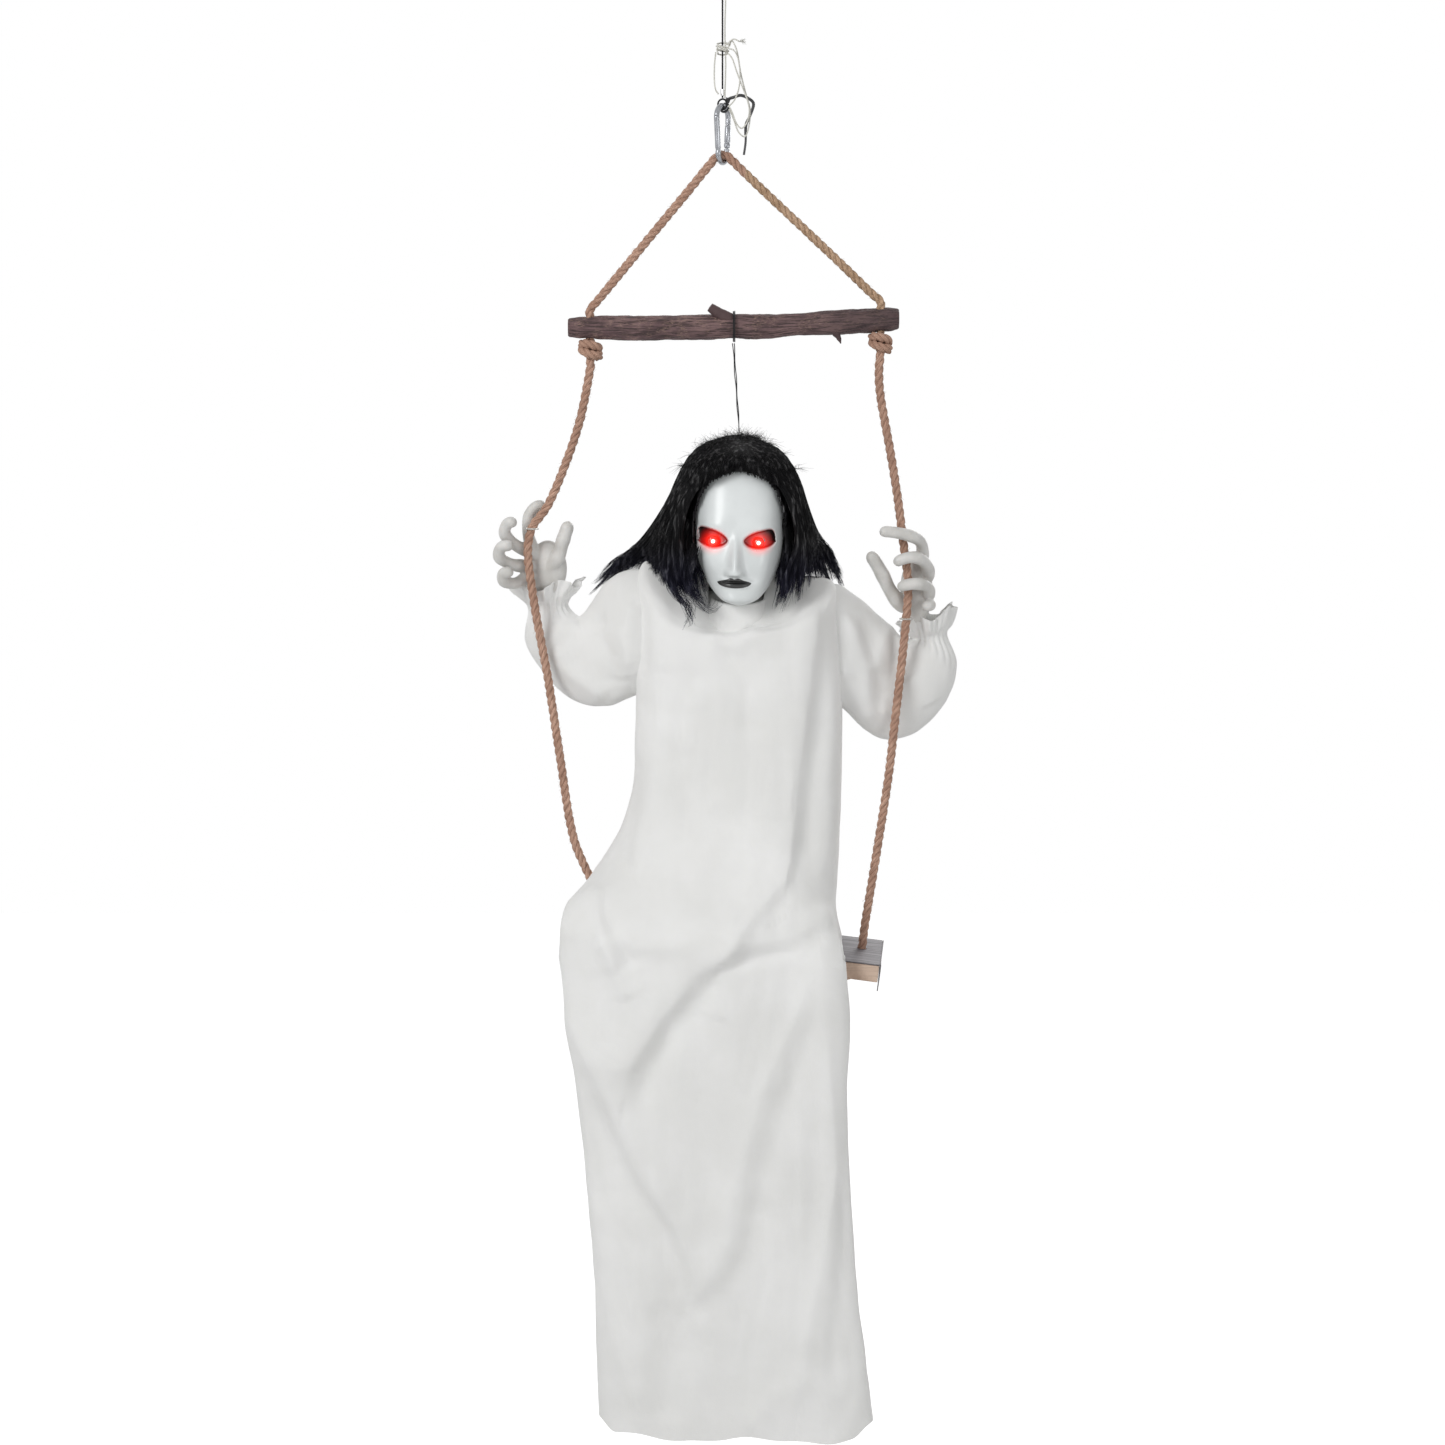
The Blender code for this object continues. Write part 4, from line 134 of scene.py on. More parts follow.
def add_studio():
    """White surroundings, three soft boxes and a white floor under the hem."""
    world = bpy.data.worlds.new("white_studio")
    SCENE.world = world
    world.use_nodes = True
    tree = world.node_tree
    tree.nodes["Background"].inputs["Color"].default_value = (1.0, 1.0, 1.0, 1.0)
    tree.links.new(light_for_camera(tree, 1.0, 0.5), tree.nodes["Background"].inputs["Strength"])
    middle = (0.0, 0.0, -1.05)
    add_lamp("key_box", (-2.6, -3.2, 1.0), middle, 1.6, 2.2, 95.0)
    add_lamp("fill_box", (3.0, -3.4, -0.6), middle, 1.8, 2.2, 32.0)
    add_lamp("back_box", (1.4, 3.0, 0.6), middle, 1.6, 2.0, 45.0)
    bm = bmesh.new()
    bmesh.ops.create_grid(bm, x_segments=8, y_segments=8, size=6.0)
    bmesh.ops.translate(bm, verts=bm.verts, vec=(0.0, 0.0, -2.35))
    floor = finished("floor", bm, floor_white())


def floor_white():
    """Matt white floor that the camera sees as white, with its shadows kept."""
    material, tree, shader = new_finish("floor_white", (0.6, 0.6, 0.6), 0.9, Emission_Color=(1, 1, 1, 1))
    grain = noise_node(tree, coordinates(tree), 3.0)
    shader_input(tree, shader, "Base Color", mixed(tree, grain.outputs[0], (0.6, 0.6, 0.6, 1),
            (0.62, 0.62, 0.62, 1)))
    tree.links.new(light_for_camera(tree, 0.72, 0.0), shader.inputs["Emission Strength"])
    return material


# Meshes
def finished(name, bm, material, smooth=True):
    """The object of a bmesh, with its one material."""
    mesh = bpy.data.meshes.new(name)
    bm.to_mesh(mesh)
    bm.free()
    if smooth:
        mesh.shade_smooth()
    item = bpy.data.objects.new(name, mesh)
    PIECES.objects.link(item)
    if material:
        mesh.materials.append(material)
    return item


def swept(name, around, along, shape, material, capped=False):
    """A surface from a grid whose share round and share along the shape turns into points."""
    bm = bmesh.new()
    bm.loops.layers.uv.new("round_and_along")
    bmesh.ops.create_grid(bm, x_segments=around, y_segments=along, size=0.5, calc_uvs=True)
    for vert in bm.verts:
        vert.co = shape(vert.co.x + 0.5, vert.co.y + 0.5)
    bmesh.ops.remove_doubles(bm, verts=bm.verts, dist=0.000004)
    if capped:
        edges = [edge for edge in bm.edges if edge.is_boundary]
        bmesh.ops.holes_fill(bm, edges=edges, sides=0)
    bmesh.ops.recalc_face_normals(bm, faces=bm.faces)
    return finished(name, bm, material)


def as_mesh(item, name, material):
    """The mesh object of a curve, which is taken away."""
    bpy.context.view_layer.update()
    graph = bpy.context.evaluated_depsgraph_get()
    mesh = bpy.data.meshes.new_from_object(item.evaluated_get(graph))
    mesh.name = name
    curve = item.data
    bpy.data.objects.remove(item)
    bpy.data.curves.remove(curve)
    bm = bmesh.new()
    bm.from_mesh(mesh)
    bmesh.ops.remove_doubles(bm, verts=bm.verts, dist=0.000002)
    bm.to_mesh(mesh)
    bm.free()
    mesh.shade_smooth()
    mesh.materials.clear()
    mesh.materials.append(material)
    made = bpy.data.objects.new(name, mesh)
    PIECES.objects.link(made)
    return made


def tubes(name, routes, radius, material, sides=2, radii=None):
    """One mesh of round tubes along routes; radii gives each point's share of the radius."""
    curve = bpy.data.curves.new(name, "CURVE")
    curve.dimensions = "3D"
    curve.bevel_depth = radius
    curve.bevel_resolution = sides
    curve.use_fill_caps = True
    for number, route in enumerate(routes):
        line = curve.splines.new("POLY")
        line.points.add(len(route) - 1)
        for place, (control, point) in enumerate(zip(line.points, route)):
            control.co = (*point, 1.0)
            control.radius = radii[number][place] if radii else 1.0
    item = bpy.data.objects.new(name + "_curve", curve)
    PIECES.objects.link(item)
    return as_mesh(item, name, material)


def smooth_route(points, step):
    """Points about a step apart on a Catmull-Rom curve through the given ones."""
    given = [Vector(point) for point in points]
    ends = [2 * given[0] - given[1]] + given + [2 * given[-1] - given[-2]]
    fine = []
    for before, start, end, after in zip(ends, ends[1:], ends[2:], ends[3:]):
        count = max(2, ceil((end - start).length / step))
        for number in range(count):
            t = number / count
            fine.append(0.5 * (
                2 * start + (end - before) * t
                + (2 * before - 5 * start + 4 * end - after) * t * t
                + (3 * start - before - 3 * end + after) * t * t * t
            ))
    return fine + [given[-1]]


def even_route(points, step):
    """The same smooth route with its points evenly spaced."""
    fine = smooth_route(points, step / 3)
    even, travelled = [fine[0]], 0.0
    for start, end in zip(fine, fine[1:]):
        length = (end - start).length
        while travelled + length >= step * len(even):
            even.append(start.lerp(end, (step * len(even) - travelled) / max(length, 1e-9)))
        travelled += length
    if (even[-1] - fine[-1]).length > step * 0.3:
        even.append(fine[-1])
    return even


def frames_along(points):
    """Point, direction and two cross directions at each point, with no twist of their own."""
    frames = []
    side = None
    for number, point in enumerate(points):
        before, after = points[max(0, number - 1)], points[min(len(points) - 1, number + 1)]
        direction = (after - before).normalized()
        if side is None:
            side = direction.cross(Vector((0.13, 1.0, 0.21))).normalized()
        side = (side - direction * side.dot(direction)).normalized()
        frames.append((point, direction, side, direction.cross(side)))
    return frames


def helix_about(points, offset, lay, phase):
    """A strand's line round a route."""
    line, travelled = [], 0.0
    frames = frames_along(points)
    for number, (point, direction, side, other) in enumerate(frames):
        if number:
            travelled += (point - frames[number - 1][0]).length
        angle = phase + tau * travelled / lay
        line.append(point + side * (offset * cos(angle)) + other * (offset * sin(angle)))
    return line


def join_into(target, *others):
    """Adds other objects' meshes to a target's mesh."""
    bm = bmesh.new()
    bm.from_mesh(target.data)
    for other in others:
        bm.from_mesh(other.data)
        mesh = other.data
        bpy.data.objects.remove(other)
        bpy.data.meshes.remove(mesh)
    bm.to_mesh(target.data)
    bm.free()
    target.data.shade_smooth()
    return target


# Finishes
def noise_node(tree, vector, scale, detail=2.0, rough=0.5, warp=0.0):
    """A Noise texture; its first output is the value."""
    return node(tree, "TexNoise", {"Vector": vector, "Scale": scale, "Detail": detail, "Roughness": rough,
            "Distortion": warp})


def toned(colour, share):
    """A colour made darker or paler."""
    return tuple(min(1.0, part * share) for part in colour)


def coordinates(tree, kind="Object"):
    return node(tree, "TexCoord").outputs[kind]


def stretched(tree, vector, scale, turn=(0.0, 0.0, 0.0)):
    """A vector scaled and turned by a Mapping node."""
    return node(tree, "Mapping", {"Vector": vector, "Scale": scale, "Rotation": turn}).outputs[0]


def new_finish(name, colour, roughness, **values):
    """A material with its tree and its Principled shader."""
    material = bpy.data.materials.new(name)
    material.use_nodes = True
    tree = material.node_tree
    shader = tree.nodes["Principled BSDF"]
    shader.inputs["Base Color"].default_value = (*colour, 1.0)
    shader.inputs["Roughness"].default_value = roughness
    for label, value in values.items():
        shader.inputs[label.replace("_", " ")].default_value = value
    material.diffuse_color = (*colour, 1.0)
    return material, tree, shader


def shader_input(tree, shader, label, socket):
    tree.links.new(socket, shader.inputs[label])


def raised(tree, shader, height, distance, strength=1.0):
    """A Bump node into the shader's normal."""
    bump = node(tree, "Bump", {"Height": height, "Distance": distance, "Strength": strength})
    tree.links.new(bump.outputs[0], shader.inputs["Normal"])


def new_group(name, inputs, outputs):
    """A shader node group with named sockets; returns it with its inner ends."""
    group = bpy.data.node_groups.new(name, "ShaderNodeTree")
    for label, kind, value in inputs:
        socket = group.interface.new_socket(name=label, in_out="INPUT", socket_type="NodeSocket" + kind)
        if value is not None:
            socket.default_value = value
    for label, kind in outputs:
        group.interface.new_socket(name=label, in_out="OUTPUT", socket_type="NodeSocket" + kind)
    start = group.nodes.new("NodeGroupInput")
    end = group.nodes.new("NodeGroupOutput")
    return group, start.outputs, end.inputs


def use_group(tree, group, **values):
    """A placed group; its outputs by name."""
    made = tree.nodes.new("ShaderNodeGroup")
    made.node_tree = group
    for label, value in values.items():
        socket = made.inputs[label.replace("_", " ")]
        if isinstance(value, bpy.types.NodeSocket):
            tree.links.new(value, socket)
        else:
            socket.default_value = value
    return made.outputs


def cloud_group():
    """Soft patches of two colours, with a finer speckle in them."""
    group, given, out = new_group(
        "colour_clouds",
        [("Vector", "Vector", None), ("Scale", "Float", 20.0), ("Speckle", "Float", 0.3),
         ("Dark", "Color", (0.1, 0.1, 0.1, 1)), ("Pale", "Color", (0.2, 0.2, 0.2, 1))],
        [("Color", "Color"), ("Share", "Float")])
    large = noise_node(group, given["Vector"], given["Scale"], 4.0)
    fine_scale = math_node(group, "MULTIPLY", given["Scale"], 9.0)
    fine = noise_node(group, given["Vector"], fine_scale, 3.0)
    speck = math_node(group, "MULTIPLY_ADD", fine.outputs[0], given["Speckle"], -0.15)
    share = math_node(group, "ADD", stepped(group, large.outputs[0], 0.3, 0.7), speck, clamp=True)
    group.links.new(mixed(group, share, given["Dark"], given["Pale"]), out["Color"])
    group.links.new(share, out["Share"])
    return group


def clouds(tree, place, scale, speckle, dark, pale):
    """The clouds group placed in a finish; its outputs by name."""
    return use_group(tree, CLOUDS, Vector=place, Scale=scale, Speckle=speckle, Dark=(*dark, 1),
            Pale=(*pale, 1))


def scuff_group():
    """Roughness that varies in patches and thin scratches."""
    group, given, out = new_group(
        "handling_scuffs",
        [("Vector", "Vector", None), ("Scale", "Float", 30.0), ("Roughness", "Float", 0.4),
         ("Spread", "Float", 0.2)],
        [("Roughness", "Float"), ("Height", "Float")])
    patches = noise_node(group, given["Vector"], given["Scale"], 5.0)
    lines = noise_node(group, stretched(group, given["Vector"], (1.0, 14.0, 3.0), (0.4, 0.2, 0.7)),
            given["Scale"], 3.0)
    both = math_node(group, "ADD", patches.outputs[0], lines.outputs[0])
    centred = math_node(group, "SUBTRACT", both, 1.0)
    group.links.new(math_node(group, "MULTIPLY_ADD", centred, given["Spread"], given["Roughness"],
            clamp=True), out["Roughness"])
    group.links.new(both, out["Height"])
    return group


def fibre_group():
    """Fine fibres along a strand, from its UV map: U runs along it."""
    group, given, out = new_group(
        "strand_fibres",
        [("Vector", "Vector", None), ("Along", "Float", 40.0), ("Around", "Float", 12.0)],
        [("Height", "Float"), ("Tone", "Float")])
    parts = node(group, "SeparateXYZ", {0: given["Vector"]})
    along = math_node(group, "MULTIPLY", parts.outputs[0], given["Along"])
    around = math_node(group, "MULTIPLY", parts.outputs[1], given["Around"])
    vector = node(group, "CombineXYZ", {0: along, 1: around}).outputs[0]
    fibres = noise_node(group, vector, 1.0, 6.0, rough=0.65)
    tone = noise_node(group, vector, 0.23, 2.0)
    group.links.new(fibres.outputs[0], out["Height"])
    group.links.new(tone.outputs[0], out["Tone"])
    return group


CLOUDS = cloud_group()
SCUFFS = scuff_group()
FIBRES = fibre_group()


# Cords and hardware
def jute_finish(name, pale, dark):
    """Laid jute: streaky tan fibres along each strand, their own tone mixed with painted shade that darkens
    the low places between them.
    """
    material, tree, shader = new_finish(name, pale, 0.92, Specular_IOR_Level=0.25)
    along = coordinates(tree, "UV")
    fibres = use_group(tree, FIBRES, Vector=along, Along=190.0, Around=9.0)
    tone = clouds(tree, coordinates(tree), 38.0, 0.5, dark, pale)
    # partly the fibres' own streaky tone, partly painted shade: darker where the fibre relief is low
    streaks = mixed(tree, stepped(tree, fibres["Height"], 0.32, 0.66), (*toned(dark, 0.72), 1),
            tone["Color"])
    shader_input(tree, shader, "Base Color", streaks)
    raised(tree, shader, fibres["Height"], 0.0011, 0.9)
    return material


def cord_finish(name, colour, roughness, braid=900.0):
    """A thin braided cord: two crossing sets of fine ridges, with painted shade in the grooves between them
    and painted highlight on their tops.
    """
    material, tree, shader = new_finish(name, colour, roughness, Specular_IOR_Level=0.2)
    along = coordinates(tree, "UV")
    first = node(tree, "TexWave", {"Vector": stretched(tree, along, (braid, 2.0, 1.0), (0, 0, 0.6)),
            "Scale": 0.5, "Distortion": 1.5})
    second = node(tree, "TexWave", {"Vector": stretched(tree, along, (braid, 2.0, 1.0), (0, 0, -0.6)),
            "Scale": 0.5, "Distortion": 1.5})
    ridges = math_node(tree, "MAXIMUM", first.outputs[1], second.outputs[1])
    # painted shade and highlight: darker in the braid's grooves, paler on its ridges
    shade = mixed(tree, ridges, (*toned(colour, 0.72), 1), (*toned(colour, 1.08), 1))
    shader_input(tree, shader, "Base Color", shade)
    raised(tree, shader, ridges, 0.0003, 0.7)
    return material


def metal_finish(name, colour, roughness, scale=160.0):
    """Zinc-plated steel with soft patches and fine drawing lines."""
    material, tree, shader = new_finish(name, colour, roughness, Metallic=1.0)
    place = coordinates(tree)
    worn = use_group(tree, SCUFFS, Vector=place, Scale=scale, Roughness=roughness, Spread=0.22)
    cloud = clouds(tree, place, scale * 0.5, 0.4, toned(colour, 0.8), toned(colour, 1.1))
    shader_input(tree, shader, "Base Color", cloud["Color"])
    shader_input(tree, shader, "Roughness", worn["Roughness"])
    raised(tree, shader, worn["Height"], 0.00003, 0.12)
    return material


def plastic_finish(name, colour, roughness, scale=60.0, grain=0.00006, **values):
    """Moulded plastic with a fine grain and handling scuffs."""
    material, tree, shader = new_finish(name, colour, roughness, **values)
    place = coordinates(tree)
    worn = use_group(tree, SCUFFS, Vector=place, Scale=scale, Roughness=roughness, Spread=0.15)
    cloud = clouds(tree, place, scale * 0.4, 0.2, toned(colour, 0.93), toned(colour, 1.03))
    shader_input(tree, shader, "Base Color", cloud["Color"])
    shader_input(tree, shader, "Roughness", worn["Roughness"])
    fine = noise_node(tree, place, scale * 30, 2.0)
    raised(tree, shader, fine.outputs[0], grain, 0.5)
    return material


ZINC = metal_finish("zinc_plate", (0.33, 0.34, 0.36), 0.27)
JUTE = jute_finish("jute_rope", (0.62, 0.4, 0.3), (0.43, 0.255, 0.185))
JUTE_YELLOW = jute_finish("jute_rope_yellowed", (0.62, 0.425, 0.29), (0.42, 0.275, 0.17))
BLACK_CORD = cord_finish("black_cord", (0.018, 0.018, 0.02), 0.55, 700.0)
WHITE_CORD = cord_finish("white_cord", (0.74, 0.73, 0.67), 0.75)
TIE_PLASTIC = plastic_finish("tie_black_nylon", (0.022, 0.022, 0.024), 0.38, 200.0)

ROPE_RADIUS = 0.006
ROPE_LEFT = thousandths((
    (-176, 0, -542.1), (-176, 0, -548.1), (-176.6, 0, -556.5), (-190.3, 0, -622.8), (-210.6, 0, -682.7),
    (-233.7, 0, -736.2), (-254, 0, -764), (-260.5, 0, -786), (-261, 0, -806), (-258.5, 0, -830),
    (-249.5, 0, -890.6), (-235.2, 3, -971.7), (-219.7, 9, -1080.4), (-202.7, 17, -1189.7),
))
ROPE_RIGHT = thousandths((
    (210, 0, -532.5), (210, 0, -538.5), (208.5, 0, -562), (211.5, 0, -596.3), (223.9, 0, -662.8),
    (235, 0, -729.5), (242, 0, -783), (248.5, 0, -830), (249, 0, -863.7), (243.1, 0, -931.1),
    (232.9, 0, -1026), (223.9, 0, -1107.7), (209.6, 0, -1203.4), (197.8, 0, -1279),
))
UNDER_SEAT = thousandths((
    (184, 30), (184, 0), (184, -22), (182.2, -31.5), (174.8, -38.5), (162.8, -40), (147.2, -36.5),
    (125.1, -32.5), (73.6, -30.3), (0, -30),
))
SEAT_PLACE = Matrix.Translation((0.0065, 0.0, -1.318)) @ (
    Matrix.Rotation(radians(-4.0), 4, "Z") @ Matrix.Rotation(radians(6.4), 4, "Y"))
ROPE_UPPER = thousandths((
    (-176, 0, -516.2), (-176, 0, -500.7), (-176, 0, -485.2), (-176, 0, -476.8), (-162.8, 0, -461.1),
    (-134.9, 0, -427.7), (-93.7, 0, -378.5), (-44.4, 0, -319.8), (-11.5, 0, -280), (-7, 0, -275.7),
    (0, 0, -273.7), (7, 0, -275.7), (11.5, 0, -280), (51.2, 0, -317.8), (110.7, 0, -373),
    (160.4, 0, -419.4), (194.1, 0, -451.8), (210, 0, -465.9), (210, 0, -474.3), (210, 0, -490.4),
    (210, 0, -506.6),
))
WHITE_RIGHT = thousandths((
    (9, -3, -133), (12.5, -6, -126.2), (19.1, -8, -140.1), (24.4, -9, -169.9), (31, -9, -195.8),
    (36.3, -9, -215.3), (35, -9, -236.1), (29.8, -9, -250.4), (21.5, -10, -245.2), (16.5, -11, -233.5),
    (13, -11, -224), (8.5, -10, -215),
))
WHITE_LEFT = thousandths((
    (-8.8, -3, -140.5), (-10.5, -6, -156.9), (-10.8, -8, -176.3), (-9.2, -9, -189.3), (-5, -9, -195.8),
))


WHITE_NEAR = thousandths((
    (7.8, -6, -136), (15, -10.5, -139.2), (20.5, -12, -150), (23, -12.5, -170), (21.5, -12.5, -188),
    (17, -12, -201), (12, -11.5, -208), (7, -11, -212),
))
WHITE_FAR = thousandths((
    (7, -6, -142), (13, -10, -150), (18.5, -11.5, -166), (26, -11.5, -186), (33.5, -11.5, -206),
    (35.2, -11.8, -220), (31.8, -12, -233), (25, -12.2, -240), (18, -12.2, -233), (13, -11.8, -220),
    (8.5, -11.2, -211),
))
WHITE_TAIL = thousandths((
    (6, -5, -131), (11, -8, -126), (16, -9, -124.5), (22.5, -8.5, -127.5),
))


def on_seat(x, y, z):
    return SEAT_PLACE @ Vector((x, y, z))


def rope_lower_route():
    """Left knot, left hand, under the seat, right hand, right knot."""
    under = [on_seat(-x, 0.012, z) for x, z in UNDER_SEAT]
    under += [on_seat(x, 0.012, z) for x, z in UNDER_SEAT[-2::-1]]
    return even_route(list(ROPE_LEFT) + under + list(ROPE_RIGHT[::-1]), 0.003)


def laid_rope(name, route, material, lay=0.034, seed=1):
    """Three twisted strands, each swollen and thinned a little along its way."""
    dice = random.Random(seed)
    strands, swells = [], []
    for number in range(3):
        wobble = dice.uniform(0, 9)
        strands.append(helix_about(route, ROPE_RADIUS * 0.5, lay, tau * number / 3))
        swells.append([1.0 + 0.07 * rough_at(wobble, place * 0.09, 0)
                + 0.05 * rough_at(wobble, place * 0.5, 5) for place in range(len(route))])
    return tubes(name, strands, ROPE_RADIUS * 0.52, material, 3, swells)


def rope_fuzz(name, route, material, count, seed):
    """Loose fibres that stand off the rope."""
    dice = random.Random(seed)
    frames = frames_along(route)
    hairs, thins = [], []
    for number in range(count):
        point, direction, side, other = frames[dice.randrange(2, len(frames) - 2)]
        angle = dice.uniform(0, tau)
        out = side * cos(angle) + other * sin(angle)
        along = direction * dice.choice((-1, 1))
        reach = dice.uniform(0.0012, 0.0042)
        start = point + out * ROPE_RADIUS * 0.86
        bend = along * reach * dice.uniform(0.6, 1.4)
        hairs.append([start, start + out * reach * 0.45 + bend * 0.6, start + out * reach + bend])
        thins.append([1.0, 0.8, 0.25])
    return tubes(name, hairs, 0.00013, material, 0, thins)


def add_ropes():
    """The sling, the long rope with its knots, and their fuzz."""
    upper = even_route(ROPE_UPPER, 0.003)
    sling = laid_rope("sling_rope", upper, JUTE, seed=3)
    bm = bmesh.new()
    bm.from_mesh(sling.data)
    for face in bm.faces:
        if face.calc_center_median().x > 0.03:
            face.material_index = 1
    bm.to_mesh(sling.data)
    bm.free()
    sling.data.materials.append(JUTE_YELLOW)
    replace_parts(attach(sling, "yoke"), "rope_upper")
    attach(rope_fuzz("sling_fuzz", upper, JUTE, 420, 5), "yoke")
    lower = rope_lower_route()
    long_rope = laid_rope("swing_rope", lower, JUTE, seed=8)
    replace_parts(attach(long_rope, "swing"), "rope_lower")
    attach(rope_fuzz("swing_rope_fuzz", lower, JUTE, 1100, 6), "swing")
    for node_name, seed in (("rope_knot_left", 2), ("rope_knot_right", 5)):
        low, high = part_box(node_name)
        centre = (low + high) / 2
        knot = tied_knot(node_name + "_form", centre, (high.x - low.x) / 2, seed)
        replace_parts(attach(knot, "swing"), node_name)


def tied_knot(name, centre, size, seed):
    """A fat rope knot: two leaning turns round the standing rope, and the rope through it."""
    dice = random.Random(seed)
    routes = []
    for turn, lean in ((-1, 0.3), (1, -0.24)):
        ring = []
        for number in range(49):
            angle = tau * number / 48 * 1.06 + dice.uniform(0, 0.02)
            ring.append(centre + Vector((
                size * 0.63 * cos(angle), size * 0.58 * sin(angle),
                turn * 0.004 + size * lean * sin(angle + turn) + 0.004 * (number / 48 - 0.5))))
        routes.append(ring)
    straight = [centre + Vector((0.0006 * sin(number), 0, 0.0122 - 0.0017 * number))
            for number in range(16)]
    routes.append(straight)
    strands = []
    for route in routes:
        line = even_route(route, 0.0022)
        for number in range(3):
            strands.append(helix_about(line, ROPE_RADIUS * 0.5, 0.03, tau * number / 3 + seed))
    knot = tubes(name, strands, ROPE_RADIUS * 0.53, JUTE, 3)
    return knot


def add_hanging_lines():
    """Black line with its eyes, the white cord tied to it and the head string."""
    low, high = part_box("hanging_line")
    eye_top, eye_low = high.z - 0.0014, low.z + 0.0014
    line = [Vector((0.0, 0.0, eye_top - 0.01 - 0.0013 * number))
            for number in range(int((eye_top - eye_low - 0.0236) / 0.0013))]
    strands = [helix_about(line, 0.00062, 0.006, tau * number / 3) for number in range(3)]
    rings = []
    for centre_z, radius, axis in ((eye_top - 0.005, 0.005, Vector((0, 1, 0))),
            (eye_low + 0.0068, 0.0068, Vector((-0.8829, 0.4695, 0)))):
        rings.append([Vector((0, 0, centre_z)) + axis * (radius * cos(angle))
                + Vector((0, 0, radius * sin(angle)))
                for angle in (tau * step / 40 for step in range(41))])
    black = tubes("hanging_line_braid", strands, 0.00072, BLACK_CORD, 1)
    eyes = tubes("hanging_line_eyes", rings, 0.00126, BLACK_CORD, 2)
    for item in (black, eyes):
        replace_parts(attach(item, "line"), "hanging_line")
    low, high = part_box("white_line")
    middle = (low + high) / 2
    beside = [Vector((middle.x + 0.0005 * sin(z * 70), middle.y, z))
            for z in (high.z - (high.z - low.z) * step / 60 for step in range(61))]
    white = tubes("white_line_braid", [beside], 0.00098, WHITE_CORD, 2)
    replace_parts(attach(white, "line"), "white_line")
    for name, node_name, route in (("white_loop_right", "white_loop_right", WHITE_RIGHT),
            ("white_loop_left", "white_loop_left", WHITE_LEFT),
            ("white_strand_near", "white_loop_right", WHITE_NEAR),
            ("white_strand_far", "white_loop_right", WHITE_FAR)):
        path = even_route(route, 0.0015)
        loop = tubes(name + "_braid", [path], 0.00098, WHITE_CORD, 2)
        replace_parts(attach(loop, "line"), node_name)
    path = even_route(WHITE_TAIL, 0.0012)
    tail = tubes("white_frayed_tail", [path], 0.00098, WHITE_CORD, 2)
    dice = random.Random(4)
    frays = [[path[-1], path[-1] + Vector((dice.uniform(0.001, 0.005), dice.uniform(-0.002, 0.002),
            dice.uniform(-0.001, 0.004))),
            path[-1] + Vector((dice.uniform(0.003, 0.009), dice.uniform(-0.003, 0.003),
            dice.uniform(-0.004, 0.005)))] for number in range(16)]
    fray = tubes("white_tail_threads", frays, 0.00018, WHITE_CORD, 0)
    for item in (tail, fray):
        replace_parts(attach(item, "line"), "white_knot")
    low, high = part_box("white_knot")
    centre = (low + high) / 2
    wraps = []
    for number in range(97):
        t = number / 96
        angle = tau * 3.5 * t
        radius = 0.0052 + 0.002 * sin(pi * t) + 0.0006 * sin(5 * angle)
        wraps.append(centre + Vector((radius * cos(angle) * 1.1, radius * sin(angle),
                0.0066 - 0.0132 * t + 0.0022 * sin(angle * 0.86))))
    bow = [centre + Vector(p) for p in ((0.004, -0.005, 0.004), (0.0075, -0.0065, 0.0062),
            (0.0078, -0.005, 0.002), (0.004, -0.0066, -0.002), (-0.004, -0.0066, 0.003),
            (-0.0072, -0.005, -0.001), (-0.006, -0.004, -0.0062))]
    knot = tubes("white_knot_wraps", [wraps, even_route(bow, 0.0008)], 0.001, WHITE_CORD, 2)
    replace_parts(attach(knot, "line"), "white_knot")
    low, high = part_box("head_string")
    top, foot = high.z, low.z
    pair = []
    for side in (-1, 1):
        pair.append([Vector((0.0145 + (0.0225 - 0.0145) * t + side * 0.0009 * (1 - 0.7 * t) + 0.0004
                * sin(17 * t + side), side * 0.0004, top + (foot - top) * t))
                for t in (step / 50 for step in range(51))])
    for word, strand in zip(("left", "right"), pair):
        string = tubes(f"head_string_{word}", [strand], 0.00075, BLACK_CORD, 1)
        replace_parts(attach(string, "swing"), "head_string")


add_camera()
add_studio()
add_ropes()
add_hanging_lines()


